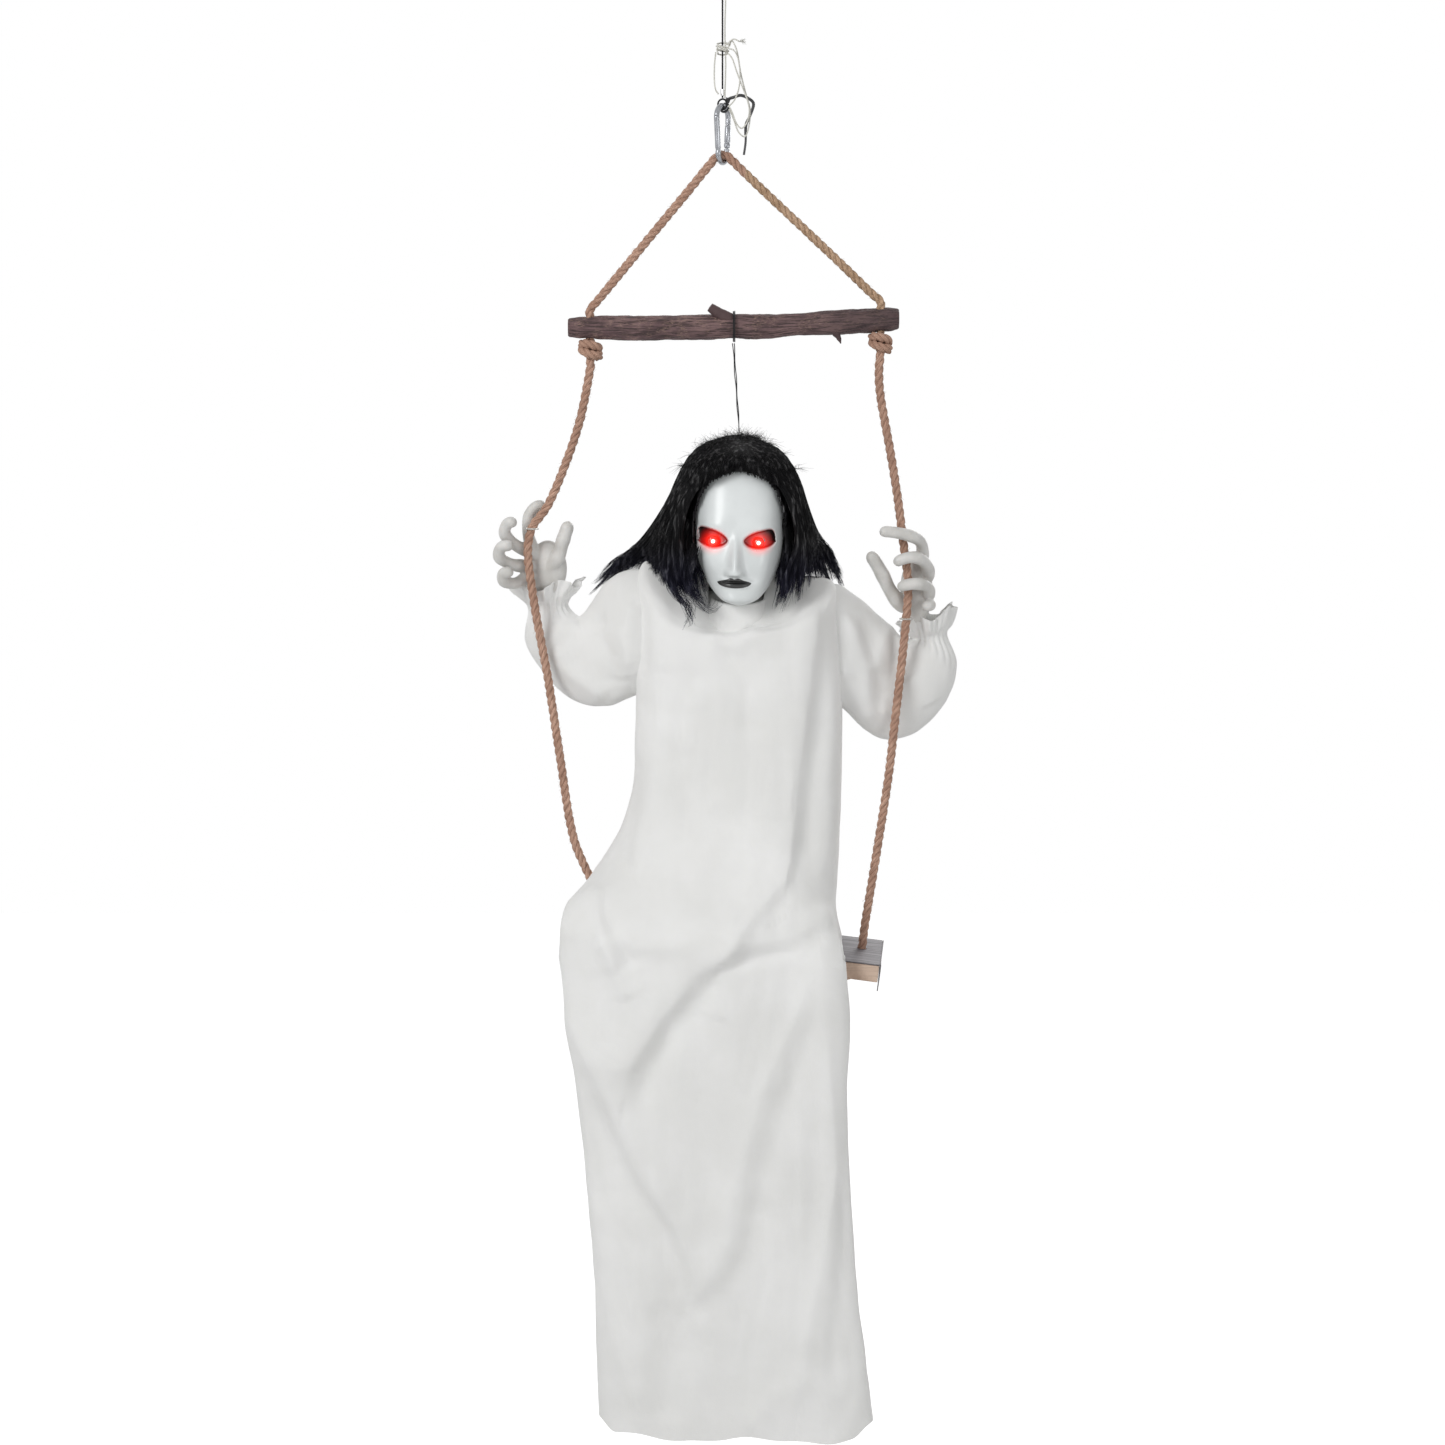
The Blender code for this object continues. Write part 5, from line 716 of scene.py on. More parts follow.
# Branch
def bark_finish():
    """Purple-brown bark: slanting grooves, tan flecks, darker at the right end."""
    material, tree, shader = new_finish("branch_bark", (0.13, 0.075, 0.078), 0.72)
    place = coordinates(tree)
    round_bark = coordinates(tree, "UV")
    slant = stretched(tree, round_bark, (26.0, 9.0, 1.0), (0.0, 0.0, 0.55))
    grooves = noise_node(tree, slant, 1.6, 6.0, rough=0.62, warp=0.5)
    cracks = stepped(tree, grooves.outputs[0], 0.42, 0.55)
    cloud = clouds(tree, place, 34.0, 0.5, (0.095, 0.052, 0.056), (0.2, 0.122, 0.12))
    bark = mixed(tree, cracks, (0.04, 0.021, 0.022, 1), cloud["Color"])
    flecks = noise_node(tree, stretched(tree, slant, (2.4, 5.5, 1.0)), 2.2, 4.0)
    spots = noise_node(tree, place, 60.0, 2.0)
    fleck = math_node(tree, "MULTIPLY", stepped(tree, flecks.outputs[0], 0.54, 0.66),
            stepped(tree, spots.outputs[0], 0.44, 0.6))
    bark = mixed(tree, fleck, bark, (0.42, 0.28, 0.21, 1))
    across = node(tree, "SeparateXYZ", {0: place}).outputs[0]
    dark_end = math_node(tree, "MULTIPLY", stepped(tree, across, 0.06, 0.21), 0.62)
    bark = mixed(tree, dark_end, bark, (0.03, 0.016, 0.018, 1))
    shader_input(tree, shader, "Base Color", bark)
    height = math_node(tree, "ADD", grooves.outputs[0],
            math_node(tree, "MULTIPLY", flecks.outputs[0], 0.35))
    raised(tree, shader, height, 0.0022, 0.9)
    return material


def end_grain_finish():
    """Cut wood ends: rings, stained like the bark."""
    material, tree, shader = new_finish("branch_end_grain", (0.12, 0.07, 0.065), 0.8)
    place = stretched(tree, coordinates(tree), (0.02, 1.0, 1.0))
    rings = node(tree, "TexWave", {"Vector": place, "Scale": 150.0, "Distortion": 3.0, "Detail": 2.0},
            wave_type="RINGS", rings_direction="X")
    shade = mixed(tree, rings.outputs[1], (0.07, 0.04, 0.038, 1), (0.17, 0.1, 0.085, 1))
    shader_input(tree, shader, "Base Color", shade)
    raised(tree, shader, rings.outputs[1], 0.0006, 0.6)
    return material


BRANCH_ENDS = (-0.2054, 0.2346)
BRANCH_LINE = thousandths((
    (-500, -500.39, 12.6), (-460, -500.6, 14.2), (-400, -500.81, 15.7), (-300, -500.88, 16.6),
    (-200, -500.6, 16.5), (-100, -499.98, 16.8), (0, -499, 16), (50, -499.6, 17), (100, -499, 16.5),
    (200, -496, 14.8), (300, -493.97, 16.5), (400, -491.59, 16.3), (470, -489.5, 16), (500, -488.86, 14),
))


def along_table(table, key):
    """Linear values of a table at a key, with smooth steps between rows."""
    for low, high in zip(table, table[1:]):
        if key <= high[0]:
            t = max(0.0, (key - low[0]) / (high[0] - low[0]))
            t = t * t * (3 - 2 * t)
            return [a + (b - a) * t for a, b in zip(low[1:], high[1:])]
    return list(table[-1][1:])


def branch_skin(around, along):
    """A point of the bark: slanting ridges, lumps, and a pinched rim at each cut end."""
    share = along - 0.5
    middle, radius = along_table(BRANCH_LINE, share)
    x = BRANCH_ENDS[0] + (BRANCH_ENDS[1] - BRANCH_ENDS[0]) * along
    angle = tau * around
    ring = Vector((cos(angle), sin(angle), x * 14.0))
    lumps = 0.06 * noise.noise(ring * 1.1) + 0.035 * noise.noise(ring * 2.7 + Vector((4, 1, 2)))
    slant = rough_at(cos(angle + x * 26) * 2.4, sin(angle + x * 26) * 2.4, x * 9.0)
    ridge = 0.045 * (1.0 - 2.0 * abs(slant)) - 0.02
    rough = 0.01 * rough_at(cos(angle) * 6, sin(angle) * 6, x * 160)
    pinch = 1.0 - 0.1 * max(0.0, 1 - min(along, 1 - along) / 0.006) ** 2
    radius *= (0.98 + lumps + ridge + rough) * pinch
    return Vector((x, radius * cos(angle), middle + radius * sin(angle)))


def add_branch():
    """The branch with its closed cut ends, cut stub and thorn, bored for the ropes."""
    bark, grain = bark_finish(), end_grain_finish()
    trunk = swept("branch_bark_skin", 72, 230, branch_skin, bark, capped=True)
    trunk.data.materials.append(grain)
    for face in trunk.data.polygons:
        if len(face.vertices) > 8:
            face.material_index = 1
            face.use_smooth = False
    for name, route, radii in (
        ("cut_stub", ((0.015, -0.004, -0.493), (0.006, -0.006, -0.488), (-0.006, -0.009, -0.481),
            (-0.0165, -0.011, -0.4738)), (1.0, 0.95, 0.8, 0.66)),
        ("thorn", ((0.148, -0.004, -0.5), (0.152, -0.006, -0.509), (0.1555, -0.0075, -0.5165),
            (0.1572, -0.0085, -0.5215)), (1.0, 0.72, 0.38, 0.1)),
    ):
        line = even_route(route, 0.0016)
        shares = [along_table(tuple((k / (len(radii) - 1), r) for k, r in enumerate(radii)),
                n / (len(line) - 1))[0] * (1 + 0.05 * rough_at(n * 0.5, 3, 1)) for n in range(len(line))]
        side = tubes(name, [line], 0.0092 if name == "cut_stub" else 0.0085, bark, 6, [shares])
        join_into(trunk, side)
    cutters = []
    for x, z in ((-0.176, -0.5007), (0.21, -0.4904)):
        bm = bmesh.new()
        bmesh.ops.create_cone(bm, cap_ends=True, segments=32, radius1=0.007, radius2=0.007, depth=0.06)
        bmesh.ops.translate(bm, verts=bm.verts, vec=(x, 0, z))
        cutters.append(finished("rope_hole", bm, grain, False))
    trunk = cut_away(trunk, cutters)
    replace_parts(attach(trunk, "yoke"), "branch")
    loop = [Vector((0.0145, 0.0198 * cos(t), -0.499 + 0.0198 * sin(t)))
            for t in (tau * step / 60 for step in range(61))]
    second = [Vector((point.x + 0.0018, point.y * 1.02, -0.499 + (point.z + 0.499) * 1.02))
            for point in loop]
    string = tubes("branch_string_loop", [loop, second], 0.0008, BLACK_CORD, 1)
    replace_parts(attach(string, "yoke"), "string_loop")


def cut_away(item, cutters):
    """The item with the cutters' volumes removed; the cutters are deleted."""
    for cutter in cutters:
        modifier = item.modifiers.new("cut", "BOOLEAN")
        modifier.object = cutter
        modifier.solver = "EXACT"
    bpy.context.view_layer.update()
    mesh = bpy.data.meshes.new_from_object(item.evaluated_get(bpy.context.evaluated_depsgraph_get()))
    item.modifiers.clear()
    item.data = mesh
    for cutter in cutters:
        bpy.data.objects.remove(cutter)
    return item


# Snap hook, cable tie and ceiling plate
def add_snap_hook():
    """Bent wire body with its eye lug, sprung gate with a bevelled sleeve, pin and tongue."""
    along = Vector((0.469472, 0.882948, 0.0))
    low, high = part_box("carabiner_body")
    wire = 0.00375
    top = Vector((0, 0, high.z - wire - 0.0162))
    bottom = Vector((0, 0, low.z + wire + 0.0118))
    hinge = Vector((0.005844, 0.010991, bottom.z + 0.006257))
    rise = Vector((0.0444231, 0.0835477, 0.9955131))
    across = Vector((-0.882948, 0.469472, 0.0))
    route = [hinge + rise * 0.0325]
    for number in range(33):
        angle = -0.09 + (pi + 0.18) * number / 32
        route.append(top + (along * cos(angle) + Vector((0, 0, sin(angle)))) * 0.0162)
    for number in range(31):
        angle = pi + 0.09 + (pi - 0.18) * number / 30
        route.append(bottom + (along * cos(angle) + Vector((0, 0, sin(angle)))) * 0.0118)
    route.append(hinge - rise * 0.0002)
    line = even_route(route, 0.0012)
    radii = []
    for point in line:
        flat = 1.0
        if point.dot(along) < -0.004 and abs(point.z - (bottom.z + 0.004)) < 0.0016:
            flat = 0.86
        radii.append(flat)
    body = tubes("snap_hook_wire", [line], wire, ZINC, 7, [radii])
    lug = rounded_box("snap_hook_lug", (0.0046, 0.0022, 0.0088), 0.0004, ZINC)
    put_on(lug, hinge + rise * 0.0036, rise, across)
    join_into(body, lug)
    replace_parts(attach(body, "carabiner"), "carabiner_body")
    profile = ((0.0026, 0.0014), (0.0036, 0.002), (0.004, 0.0032), (0.004, 0.0075), (0.0035, 0.0082),
            (0.0035, 0.009),
            (0.004, 0.0097), (0.004, 0.027), (0.0037, 0.028), (0.0037, 0.029), (0.004, 0.0296),
            (0.0036, 0.0312), (0.0028, 0.0314))
    gate = turned("snap_hook_gate", profile, hinge, rise, ZINC, 40)
    tongue = rounded_box("gate_tongue", (0.0038, 0.0022, 0.0076), 0.0003, ZINC)
    put_on(tongue, hinge + rise * 0.0338, rise, across)
    join_into(gate, tongue)
    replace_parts(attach(gate, "gate"), "carabiner_gate")
    pin = turned("gate_rivet", ((0.0, -0.0042), (0.0011, -0.0042), (0.0016, -0.0039), (0.0011, -0.0036),
            (0.0011, 0.0036), (0.0016, 0.0039), (0.0011, 0.0042), (0.0, 0.0042)), hinge + rise * 0.0054,
            across, ZINC, 20)
    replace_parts(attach(pin, "carabiner"), "gate_pin")


def put_on(item, centre, up, across):
    """Moves a piece's mesh to a centre, its Z along up and its Y along across."""
    side = across.cross(up).normalized()
    turn = Matrix((side, across, up)).transposed().to_4x4()
    item.data.transform(Matrix.Translation(centre) @ turn)
    return item


def rounded_box(name, size, edge, material, cuts=0):
    """A box with rounded edges, about the origin."""
    bm = bmesh.new()
    bmesh.ops.create_cube(bm, size=1.0)
    bmesh.ops.scale(bm, verts=bm.verts, vec=size)
    if cuts:
        bmesh.ops.subdivide_edges(bm, edges=bm.edges[:], cuts=cuts, use_grid_fill=True)
    sharp = [e for e in bm.edges if len(e.link_faces) == 2 and e.calc_face_angle(0.0) > 1.0]
    bmesh.ops.bevel(bm, geom=sharp, offset=edge, segments=3, profile=0.5, affect="EDGES", material=-1)
    bmesh.ops.recalc_face_normals(bm, faces=bm.faces)
    return finished(name, bm, material)


def turned(name, profile, base, direction, material, sides=32):
    """A lathe-turned piece: radius and height pairs spun round a direction at a base."""
    bm = bmesh.new()
    verts = [bm.verts.new((radius, 0.0, height)) for radius, height in profile]
    for low, high in zip(verts, verts[1:]):
        bm.edges.new((low, high))
    bmesh.ops.spin(bm, geom=bm.verts[:] + bm.edges[:], cent=(0, 0, 0), axis=(0, 0, 1), angle=tau,
            steps=sides, use_merge=True)
    bmesh.ops.remove_doubles(bm, verts=bm.verts, dist=0.000003)
    rims = [e for e in bm.edges if e.is_boundary]
    if rims:
        bmesh.ops.holes_fill(bm, edges=rims, sides=0)
    bmesh.ops.recalc_face_normals(bm, faces=bm.faces)
    turn = Vector(direction).to_track_quat("Z", "Y").to_matrix().to_4x4()
    bmesh.ops.transform(bm, matrix=Matrix.Translation(Vector(base)) @ turn, verts=bm.verts)
    item = finished(name, bm, material)
    item.data.set_sharp_from_angle(angle=radians(40))
    return item


TIE_ROUTE = thousandths((
    (6.8, 7.5, -202), (10, 5, -199.8), (15, 3, -198.5), (23.8, 2, -196.1), (33, 1, -199.5),
    (41, 0, -207.4), (35.5, 0, -224.5), (31, 0, -235.2), (30.6, 0, -256.4), (28.3, 0, -273.8),
))


def add_cable_tie():
    """Flat toothed strap round the hook's wire, its square head and its bent tail with a stub tip."""
    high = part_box("carabiner_body")[1]
    top_z = high.z - 0.00375
    ring = []
    centre = Vector((0.003, 0.0056, top_z - 0.0021))
    axis = Vector((0.8829, -0.4695, 0.0)).cross(Vector((0.18, 0.33, 0.92))).normalized()
    side = axis.cross(Vector((0, 0, 1))).normalized()
    up = side.cross(axis).normalized()
    for number in range(41):
        angle = tau * number / 40
        ring.append(centre + side * (0.006 * cos(angle)) + up * (0.006 * sin(angle)))
    tail = even_route(TIE_ROUTE, 0.0012)
    radii = [[1.0] * len(ring), [1.25 + 0.12 * (number % 2) - 0.35 * (number > len(tail) * 0.75)
            for number in range(len(tail))]]
    strap = tubes("cable_tie_strap", [ring, tail], 0.0016, TIE_PLASTIC, 3, radii)
    head = rounded_box("cable_tie_head", (0.0058, 0.005, 0.006), 0.0008, TIE_PLASTIC)
    put_on(head, Vector(TIE_ROUTE[0]), Vector((0.35, -0.3, 0.88)).normalized(),
           Vector((0.35, -0.3, 0.88)).normalized().cross(Vector((1, 0.2, 0))).normalized())
    join_into(strap, head)
    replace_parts(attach(strap, "carabiner"), "cable_tie")


# Seat
def seat_print_finish():
    """Grey printed wood grain: long streaks and broad darker patches on matt film."""
    material, tree, shader = new_finish("seat_wood_print", (0.24, 0.225, 0.235), 0.62)
    place = stretched(tree, coordinates(tree), (1.0, 1.0, 1.0), (0.0, radians(-6.4), radians(4.0)))
    long_grain = stretched(tree, place, (5.0, 90.0, 5.0))
    grain = noise_node(tree, long_grain, 2.2, 8.0, rough=0.62, warp=0.7)
    broad = noise_node(tree, stretched(tree, place, (3.0, 22.0, 3.0)), 2.0, 3.0)
    tone = mixed(tree, stepped(tree, grain.outputs[0], 0.3, 0.68), (0.06, 0.052, 0.06, 1),
            (0.25, 0.235, 0.245, 1))
    tone = mixed(tree, math_node(tree, "MULTIPLY", stepped(tree, broad.outputs[0], 0.45, 0.7), 0.5), tone,
            (0.12, 0.105, 0.12, 1))
    shader_input(tree, shader, "Base Color", tone)
    raised(tree, shader, grain.outputs[0], 0.0005, 0.5)
    return material


def seat_foam_finish():
    """Cut tan foam board: fine cells, saw lines and soiled patches."""
    material, tree, shader = new_finish("seat_foam_edge", (0.55, 0.4, 0.31), 0.9)
    place = coordinates(tree)
    cells = node(tree, "TexVoronoi", {"Vector": place, "Scale": 900.0})
    lines = noise_node(tree, stretched(tree, place, (6.0, 6.0, 160.0)), 2.0, 5.0)
    cloud = clouds(tree, place, 26.0, 0.5, (0.4, 0.27, 0.2), (0.62, 0.47, 0.37))
    shade = mixed(tree, math_node(tree, "MULTIPLY", stepped(tree, lines.outputs[0], 0.45, 0.65), 0.45),
            cloud["Color"], (0.33, 0.235, 0.18, 1))
    shader_input(tree, shader, "Base Color", shade)
    raised(tree, shader, math_node(tree, "ADD", cells.outputs[0], lines.outputs[0]), 0.0006, 0.6)
    return material


def dented(item, scale, depth):
    """Moves a mesh's points a little, in soft waves, so no face stays dead flat."""
    for vert in item.data.vertices:
        place = vert.co * scale
        vert.co += Vector((noise.noise(place), noise.noise(place + Vector((7, 3, 1))),
                noise.noise(place + Vector((1, 9, 5))))) * depth


def add_seat():
    """Foam board with soft edges under a printed sheet that turns down over its right end."""
    foam, print_sheet = seat_foam_finish(), seat_print_finish()
    board = rounded_box("seat_foam_board", (0.42, 0.18, 0.022), 0.0012, foam, 8)
    board.data.transform(Matrix.Translation((0, 0, -0.0128)))
    sheet = rounded_box("seat_print_sheet", (0.4216, 0.1804, 0.0015), 0.0004, print_sheet, 8)
    sheet.data.transform(Matrix.Translation((0.0, 0, -0.00075)))
    flap = rounded_box("seat_print_flap", (0.0015, 0.1804, 0.035), 0.0004, print_sheet, 8)
    flap.data.transform(Matrix.Translation((0.2116, 0, -0.0175)))
    other = rounded_box("seat_print_end", (0.0015, 0.1804, 0.012), 0.0004, print_sheet, 4)
    other.data.transform(Matrix.Translation((-0.2114, 0, -0.006)))
    for item, depth in ((board, 0.0007), (sheet, 0.0002), (flap, 0.001), (other, 0.0005)):
        dented(item, 22.0, depth)
        item.data.transform(SEAT_PLACE)
    holes = []
    for x in (-0.184, 0.184):
        for item in (1, 2):
            bm = bmesh.new()
            bmesh.ops.create_cone(bm, cap_ends=True, segments=28, radius1=0.0068, radius2=0.0068,
                    depth=0.09)
            bmesh.ops.transform(bm, matrix=SEAT_PLACE @ Matrix.Translation((x, 0.012, 0)), verts=bm.verts)
            holes.append(finished("seat_hole", bm, foam, False))
    board = cut_away(board, holes[0::2])
    sheet = join_into(cut_away(sheet, holes[1::2]), flap, other)
    for item in (board, sheet):
        item.data.set_sharp_from_angle(angle=radians(50))
    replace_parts(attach(board, "swing"), "seat_board")
    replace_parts(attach(sheet, "swing"), "seat_skin")


add_branch()
add_snap_hook()
add_cable_tie()
add_seat()


# Gown
def curve_value(table, key):
    """Values of a table at a key, on a smooth curve through its rows."""
    if key <= table[0][0]:
        return list(table[0][1:])
    for number in range(len(table) - 1):
        low, high = table[number], table[number + 1]
        if key > high[0]:
            continue
        before, after = table[max(0, number - 1)], table[min(len(table) - 1, number + 2)]
        span = high[0] - low[0]
        t = (key - low[0]) / span
        values = []
        for b, p, q, a in zip(before[1:], low[1:], high[1:], after[1:]):
            rise_in = (q - b) / max(1e-9, high[0] - before[0]) * span
            rise_out = (a - p) / max(1e-9, after[0] - low[0]) * span
            values.append((2 * t ** 3 - 3 * t * t + 1) * p + (t ** 3 - 2 * t * t + t) * rise_in
                    + (3 * t * t - 2 * t ** 3) * q + (t ** 3 - t * t) * rise_out)
        return values
    return list(table[-1][1:])


def oval(angle, left, right, front, back, power):
    """A point of a rounded section from its four reaches."""
    cosine, sine = cos(angle), sin(angle)
    return (copysign(abs(cosine) ** (2 / power), cosine) * (right if cosine > 0 else left),
            copysign(abs(sine) ** (2 / power), sine) * (back if sine > 0 else front))


def smooth_step(low, high, value):
    """0 below low, 1 above high, eased between."""
    t = min(1.0, max(0.0, (value - low) / (high - low)))
    return t * t * (3 - 2 * t)


FIGURE = Matrix.Translation((0.0065, 0, -1.318)) @ Matrix.Rotation(radians(-4.0), 4, "Z")
GOWN_SHARES = thousandths((
    (0, 140, 290, 350, 340, 1000, 0, 0), (13, 440, 560, 400, 430, 850, 50, 18),
    (42, 625, 770, 420, 520, 620, 86, 36), (100, 675, 810, 480, 620, 300, 64, 34),
    (300, 685, 855, 490, 660, 0, 0, 0), (540, 700, 860, 500, 660, 0, 0, 0),
    (700, 800, 840, 560, 660, 0, 0, 0), (820, 940, 830, 720, 660, 0, 0, 0),
    (915, 1080, 820, 900, 660, 0, 0, 0), (1000, 1180, 860, 1000, 660, 0, 0, 0),
))


def body_point(angle, height):
    """A point of the gown's body in the figure frame: neck at 0, lap at 1 on the sloping seat."""
    left, right, front, back, hang, rise, lift = curve_value(GOWN_SHARES, height)
    square = 2.5 + 2.5 * smooth_step(0.8, 1.0, height)
    x, y = oval(angle, left * 0.18, right * 0.18, front * 0.15, back * 0.15, square)
    reach = (left if x < 0 else right) * 0.18
    knee = skirt_point(angle, 0.0)
    join = smooth_step(0.86, 1.0, height) * smooth_step(-0.05, 0.25, -sin(angle))
    x, y = x + (knee.x - x) * join, y + (knee.y - y) * join
    shoulder = (abs(x) / reach) ** 2 * (rise if x < 0 else lift) * 0.487
    z = 0.482 - height * 0.487 + hang * (1.18 * min(y, 0.0) + 0.04 * max(y, 0.0)) + shoulder
    seat = 0.0022 - x * tan(radians(6.4))
    rest = seat - 0.014 * smooth_step(-0.092, -0.15, y)
    share = smooth_step(0.55, 1.0, height)
    z += (rest + 0.0075) * share
    return Vector((x, y, z + max(0.0, knee.z + 0.0006 + 0.05 * (1 - height) - z) * join))


def skirt_point(angle, share):
    """A point of the skirt in the figure frame: knees at 0, hem at 1."""
    x, y = oval(angle, 0.19, 0.19, 0.04, 0.0155, 3.0)
    rise = max(0.0, -y) * 0.3 + 0.0015
    narrow = 1.0 - 0.03 * share - 0.06 * sin(pi * share)
    lean = 0.19 * 0.24 * share
    corner = 0.016 * smooth_step(0.8, 1.0, abs(cos(angle))) * share ** 8
    wave = (0.0035 * sin(34 * x + 0.6) + 0.0015 * sin(81 * x)) * share ** 6
    z = -0.012 - rise - share * (0.644 - rise) + corner + wave
    return Vector((-0.0265 + x * narrow + lean, -0.11 + y * (1.0 + 0.25 * share), z))


BODY_END, SKIRT_START, CLOTH_PART = 0.42, 0.475, 0.51


def gown_base(around, along):
    """The gown's plain form: body, the turn over the knees and under the thighs, then the skirt."""
    angle = tau * around
    if along <= BODY_END:
        return body_point(angle, along / BODY_END)
    if along >= SKIRT_START:
        return skirt_point(angle, (along - SKIRT_START) / (1 - SKIRT_START))
    share = (along - BODY_END) / (SKIRT_START - BODY_END)
    low, high = body_point(angle, 1.0), skirt_point(angle, 0.0)
    point = low.lerp(high, share)
    behind = smooth_step(-0.1, 0.35, sin(angle))
    seat = 0.0022 - point.x * tan(radians(6.4)) + 0.0045 * (1 - behind)
    point.z += smooth_step(-0.1, -0.088, point.y) * (max(point.z, seat) * (1 - behind) + seat * behind
            - point.z)
    return point


def more_at_front(around):
    """A share of the way round, with its points packed closer at the front."""
    return around - 0.42 * sin(tau * (around - 0.75)) / tau


def gown_skin(around, along):
    return FIGURE @ gown_base(more_at_front(around), along)


# Each fold: height (a valley where negative), width on its two sides, then its line seen from the front
BODY_FOLDS = thousandths((
    (-5, 10, 16, (-12, -898), (1, -915), (18, -940), (32, -970), (34, -1050)),
    (5.5, 14, 10, (58, -868), (40, -900), (20, -918), (-4, -916), (-20, -896)),
    (-4.5, 18, 12, (-25, -940), (-63, -1015), (-66, -1055), (-49, -1093)),
    (6, 16, 20, (-80, -1000), (-92, -1062), (-97, -1144), (-114, -1196), (-128, -1240)),
    (-5, 12, 14, (-110, -1060), (-116, -1130), (-134, -1200), (-148, -1262)),
    (8.5, 26, 11, (118, -835), (121, -906), (113, -974), (106, -1021), (100, -1062), (93, -1127), (86,
        -1206)), (9, 30, 8, (90, -1150), (86, -1206), (79, -1232), (53, -1261), (19, -1299), (4, -1322)),
    (-5, 12, 18, (128, -900), (126, -980), (118, -1060), (112, -1150), (100, -1230)),
    (4.5, 12, 12, (152, -940), (147, -1008), (140, -1110), (136, -1230)),
    (7, 14, 10, (-166, -1236), (-163, -1276), (-152, -1306), (-138, -1350)),
    (-6, 12, 14, (-150, -1240), (-147, -1276), (-134, -1304), (-118, -1345)),
    (5, 12, 16, (-152, -1299), (-114, -1309), (-67, -1309), (-5, -1295)),
    (7, 10, 14, (-10, -1330), (29, -1309), (97, -1295), (138, -1276), (156, -1262)),
    (-6, 8, 14, (-4, -1345), (36, -1324), (100, -1310), (142, -1292)),
    (-5, 5, 10, (-106, -850), (-107, -906), (-108, -960)),
    (3.5, 22, 18, (-90, -845), (-77, -893), (-83, -960)),
    (-3.5, 22, 20, (-39, -994), (-26, -1062), (-5, -1130)),
    (3.5, 24, 20, (60, -930), (66, -1010), (58, -1110), (40, -1210)),
))
SKIRT_FOLDS = thousandths((
    (11, 30, 10, (45, -1292), (22, -1304), (-29, -1343), (-84, -1408), (-125, -1473), (-129, -1505)),
    (-8, 14, 16, (4, -1340), (-30, -1372), (-60, -1415), (-92, -1472), (-116, -1530)),
    (4.5, 14, 16, (20, -1322), (1, -1356), (-14, -1410)),
    (8, 12, 26, (132, -1300), (120, -1347), (95, -1412), (57, -1495), (31, -1582), (10, -1665), (10,
        -1700), (-12, -1749), (-42, -1800)),
    (-6.5, 20, 14, (120, -1380), (104, -1450), (78, -1520), (55, -1600), (36, -1690)),
    (7, 10, 24, (128, -1340), (142, -1477), (152, -1608), (132, -1740), (115, -1829), (104, -1920)),
    (-5.5, 16, 14, (150, -1420), (168, -1560), (160, -1700), (148, -1840), (140, -1950)),
    (8, 12, 22, (-216, -1370), (-165, -1486), (-114, -1608), (-59, -1683), (-37, -1740), (-20, -1820)),
    (-5.5, 16, 12, (-178, -1500), (-132, -1600), (-80, -1690), (-56, -1760)),
    (6, 10, 16, (-160, -1296), (-139, -1343), (-122, -1385)),
    (4.5, 12, 20, (-190, -1424), (-153, -1490), (-127, -1547), (-63, -1674)),
    (6, 12, 20, (136, -1318), (160, -1400), (168, -1500), (176, -1640), (188, -1800), (196, -1950)),
    (-6, 18, 16, (-46, -1810), (-3, -1770), (31, -1723), (58, -1640)),
    (5, 20, 14, (20, -1968), (70, -1915), (110, -1893), (170, -1927)),
    (4, 22, 22, (-110, -1700), (-104, -1820), (-112, -1950)),
    (-4, 24, 22, (-70, -1780), (-66, -1870), (-74, -1960)),
    (4, 20, 20, (-150, -1640), (-140, -1760), (-146, -1900)),
))


def fold_relief(across, up, fold):
    """How far a fold lifts the cloth at each place, arrays in and out."""
    height, left, right, *line = fold
    best = numpy.full(across.shape, 9.0)
    share = numpy.zeros(across.shape)
    width = numpy.full(across.shape, left)
    steps = [dist(a, b) for a, b in zip(line, line[1:])]
    done = 0.0
    for (ax, az), (bx, bz), length in zip(line, line[1:], steps):
        dx, dz = (bx - ax) / length, (bz - az) / length
        along = numpy.clip((across - ax) * dx + (up - az) * dz, 0.0, length)
        off_x, off_z = across - ax - along * dx, up - az - along * dz
        far = numpy.hypot(off_x, off_z)
        near = far < best
        best[near] = far[near]
        share[near] = (done + along[near]) / sum(steps)
        width[near] = numpy.where(off_x[near] * dz - off_z[near] * dx > 0, left, right)
        done += length
    ends = numpy.clip(numpy.minimum(share, 1 - share) / 0.16, 0.0, 1.0)
    return height * (0.25 + 0.75 * ends * ends
            * (3 - 2 * ends)) / numpy.cosh(numpy.minimum(best / width, 12.0)) ** 1.3


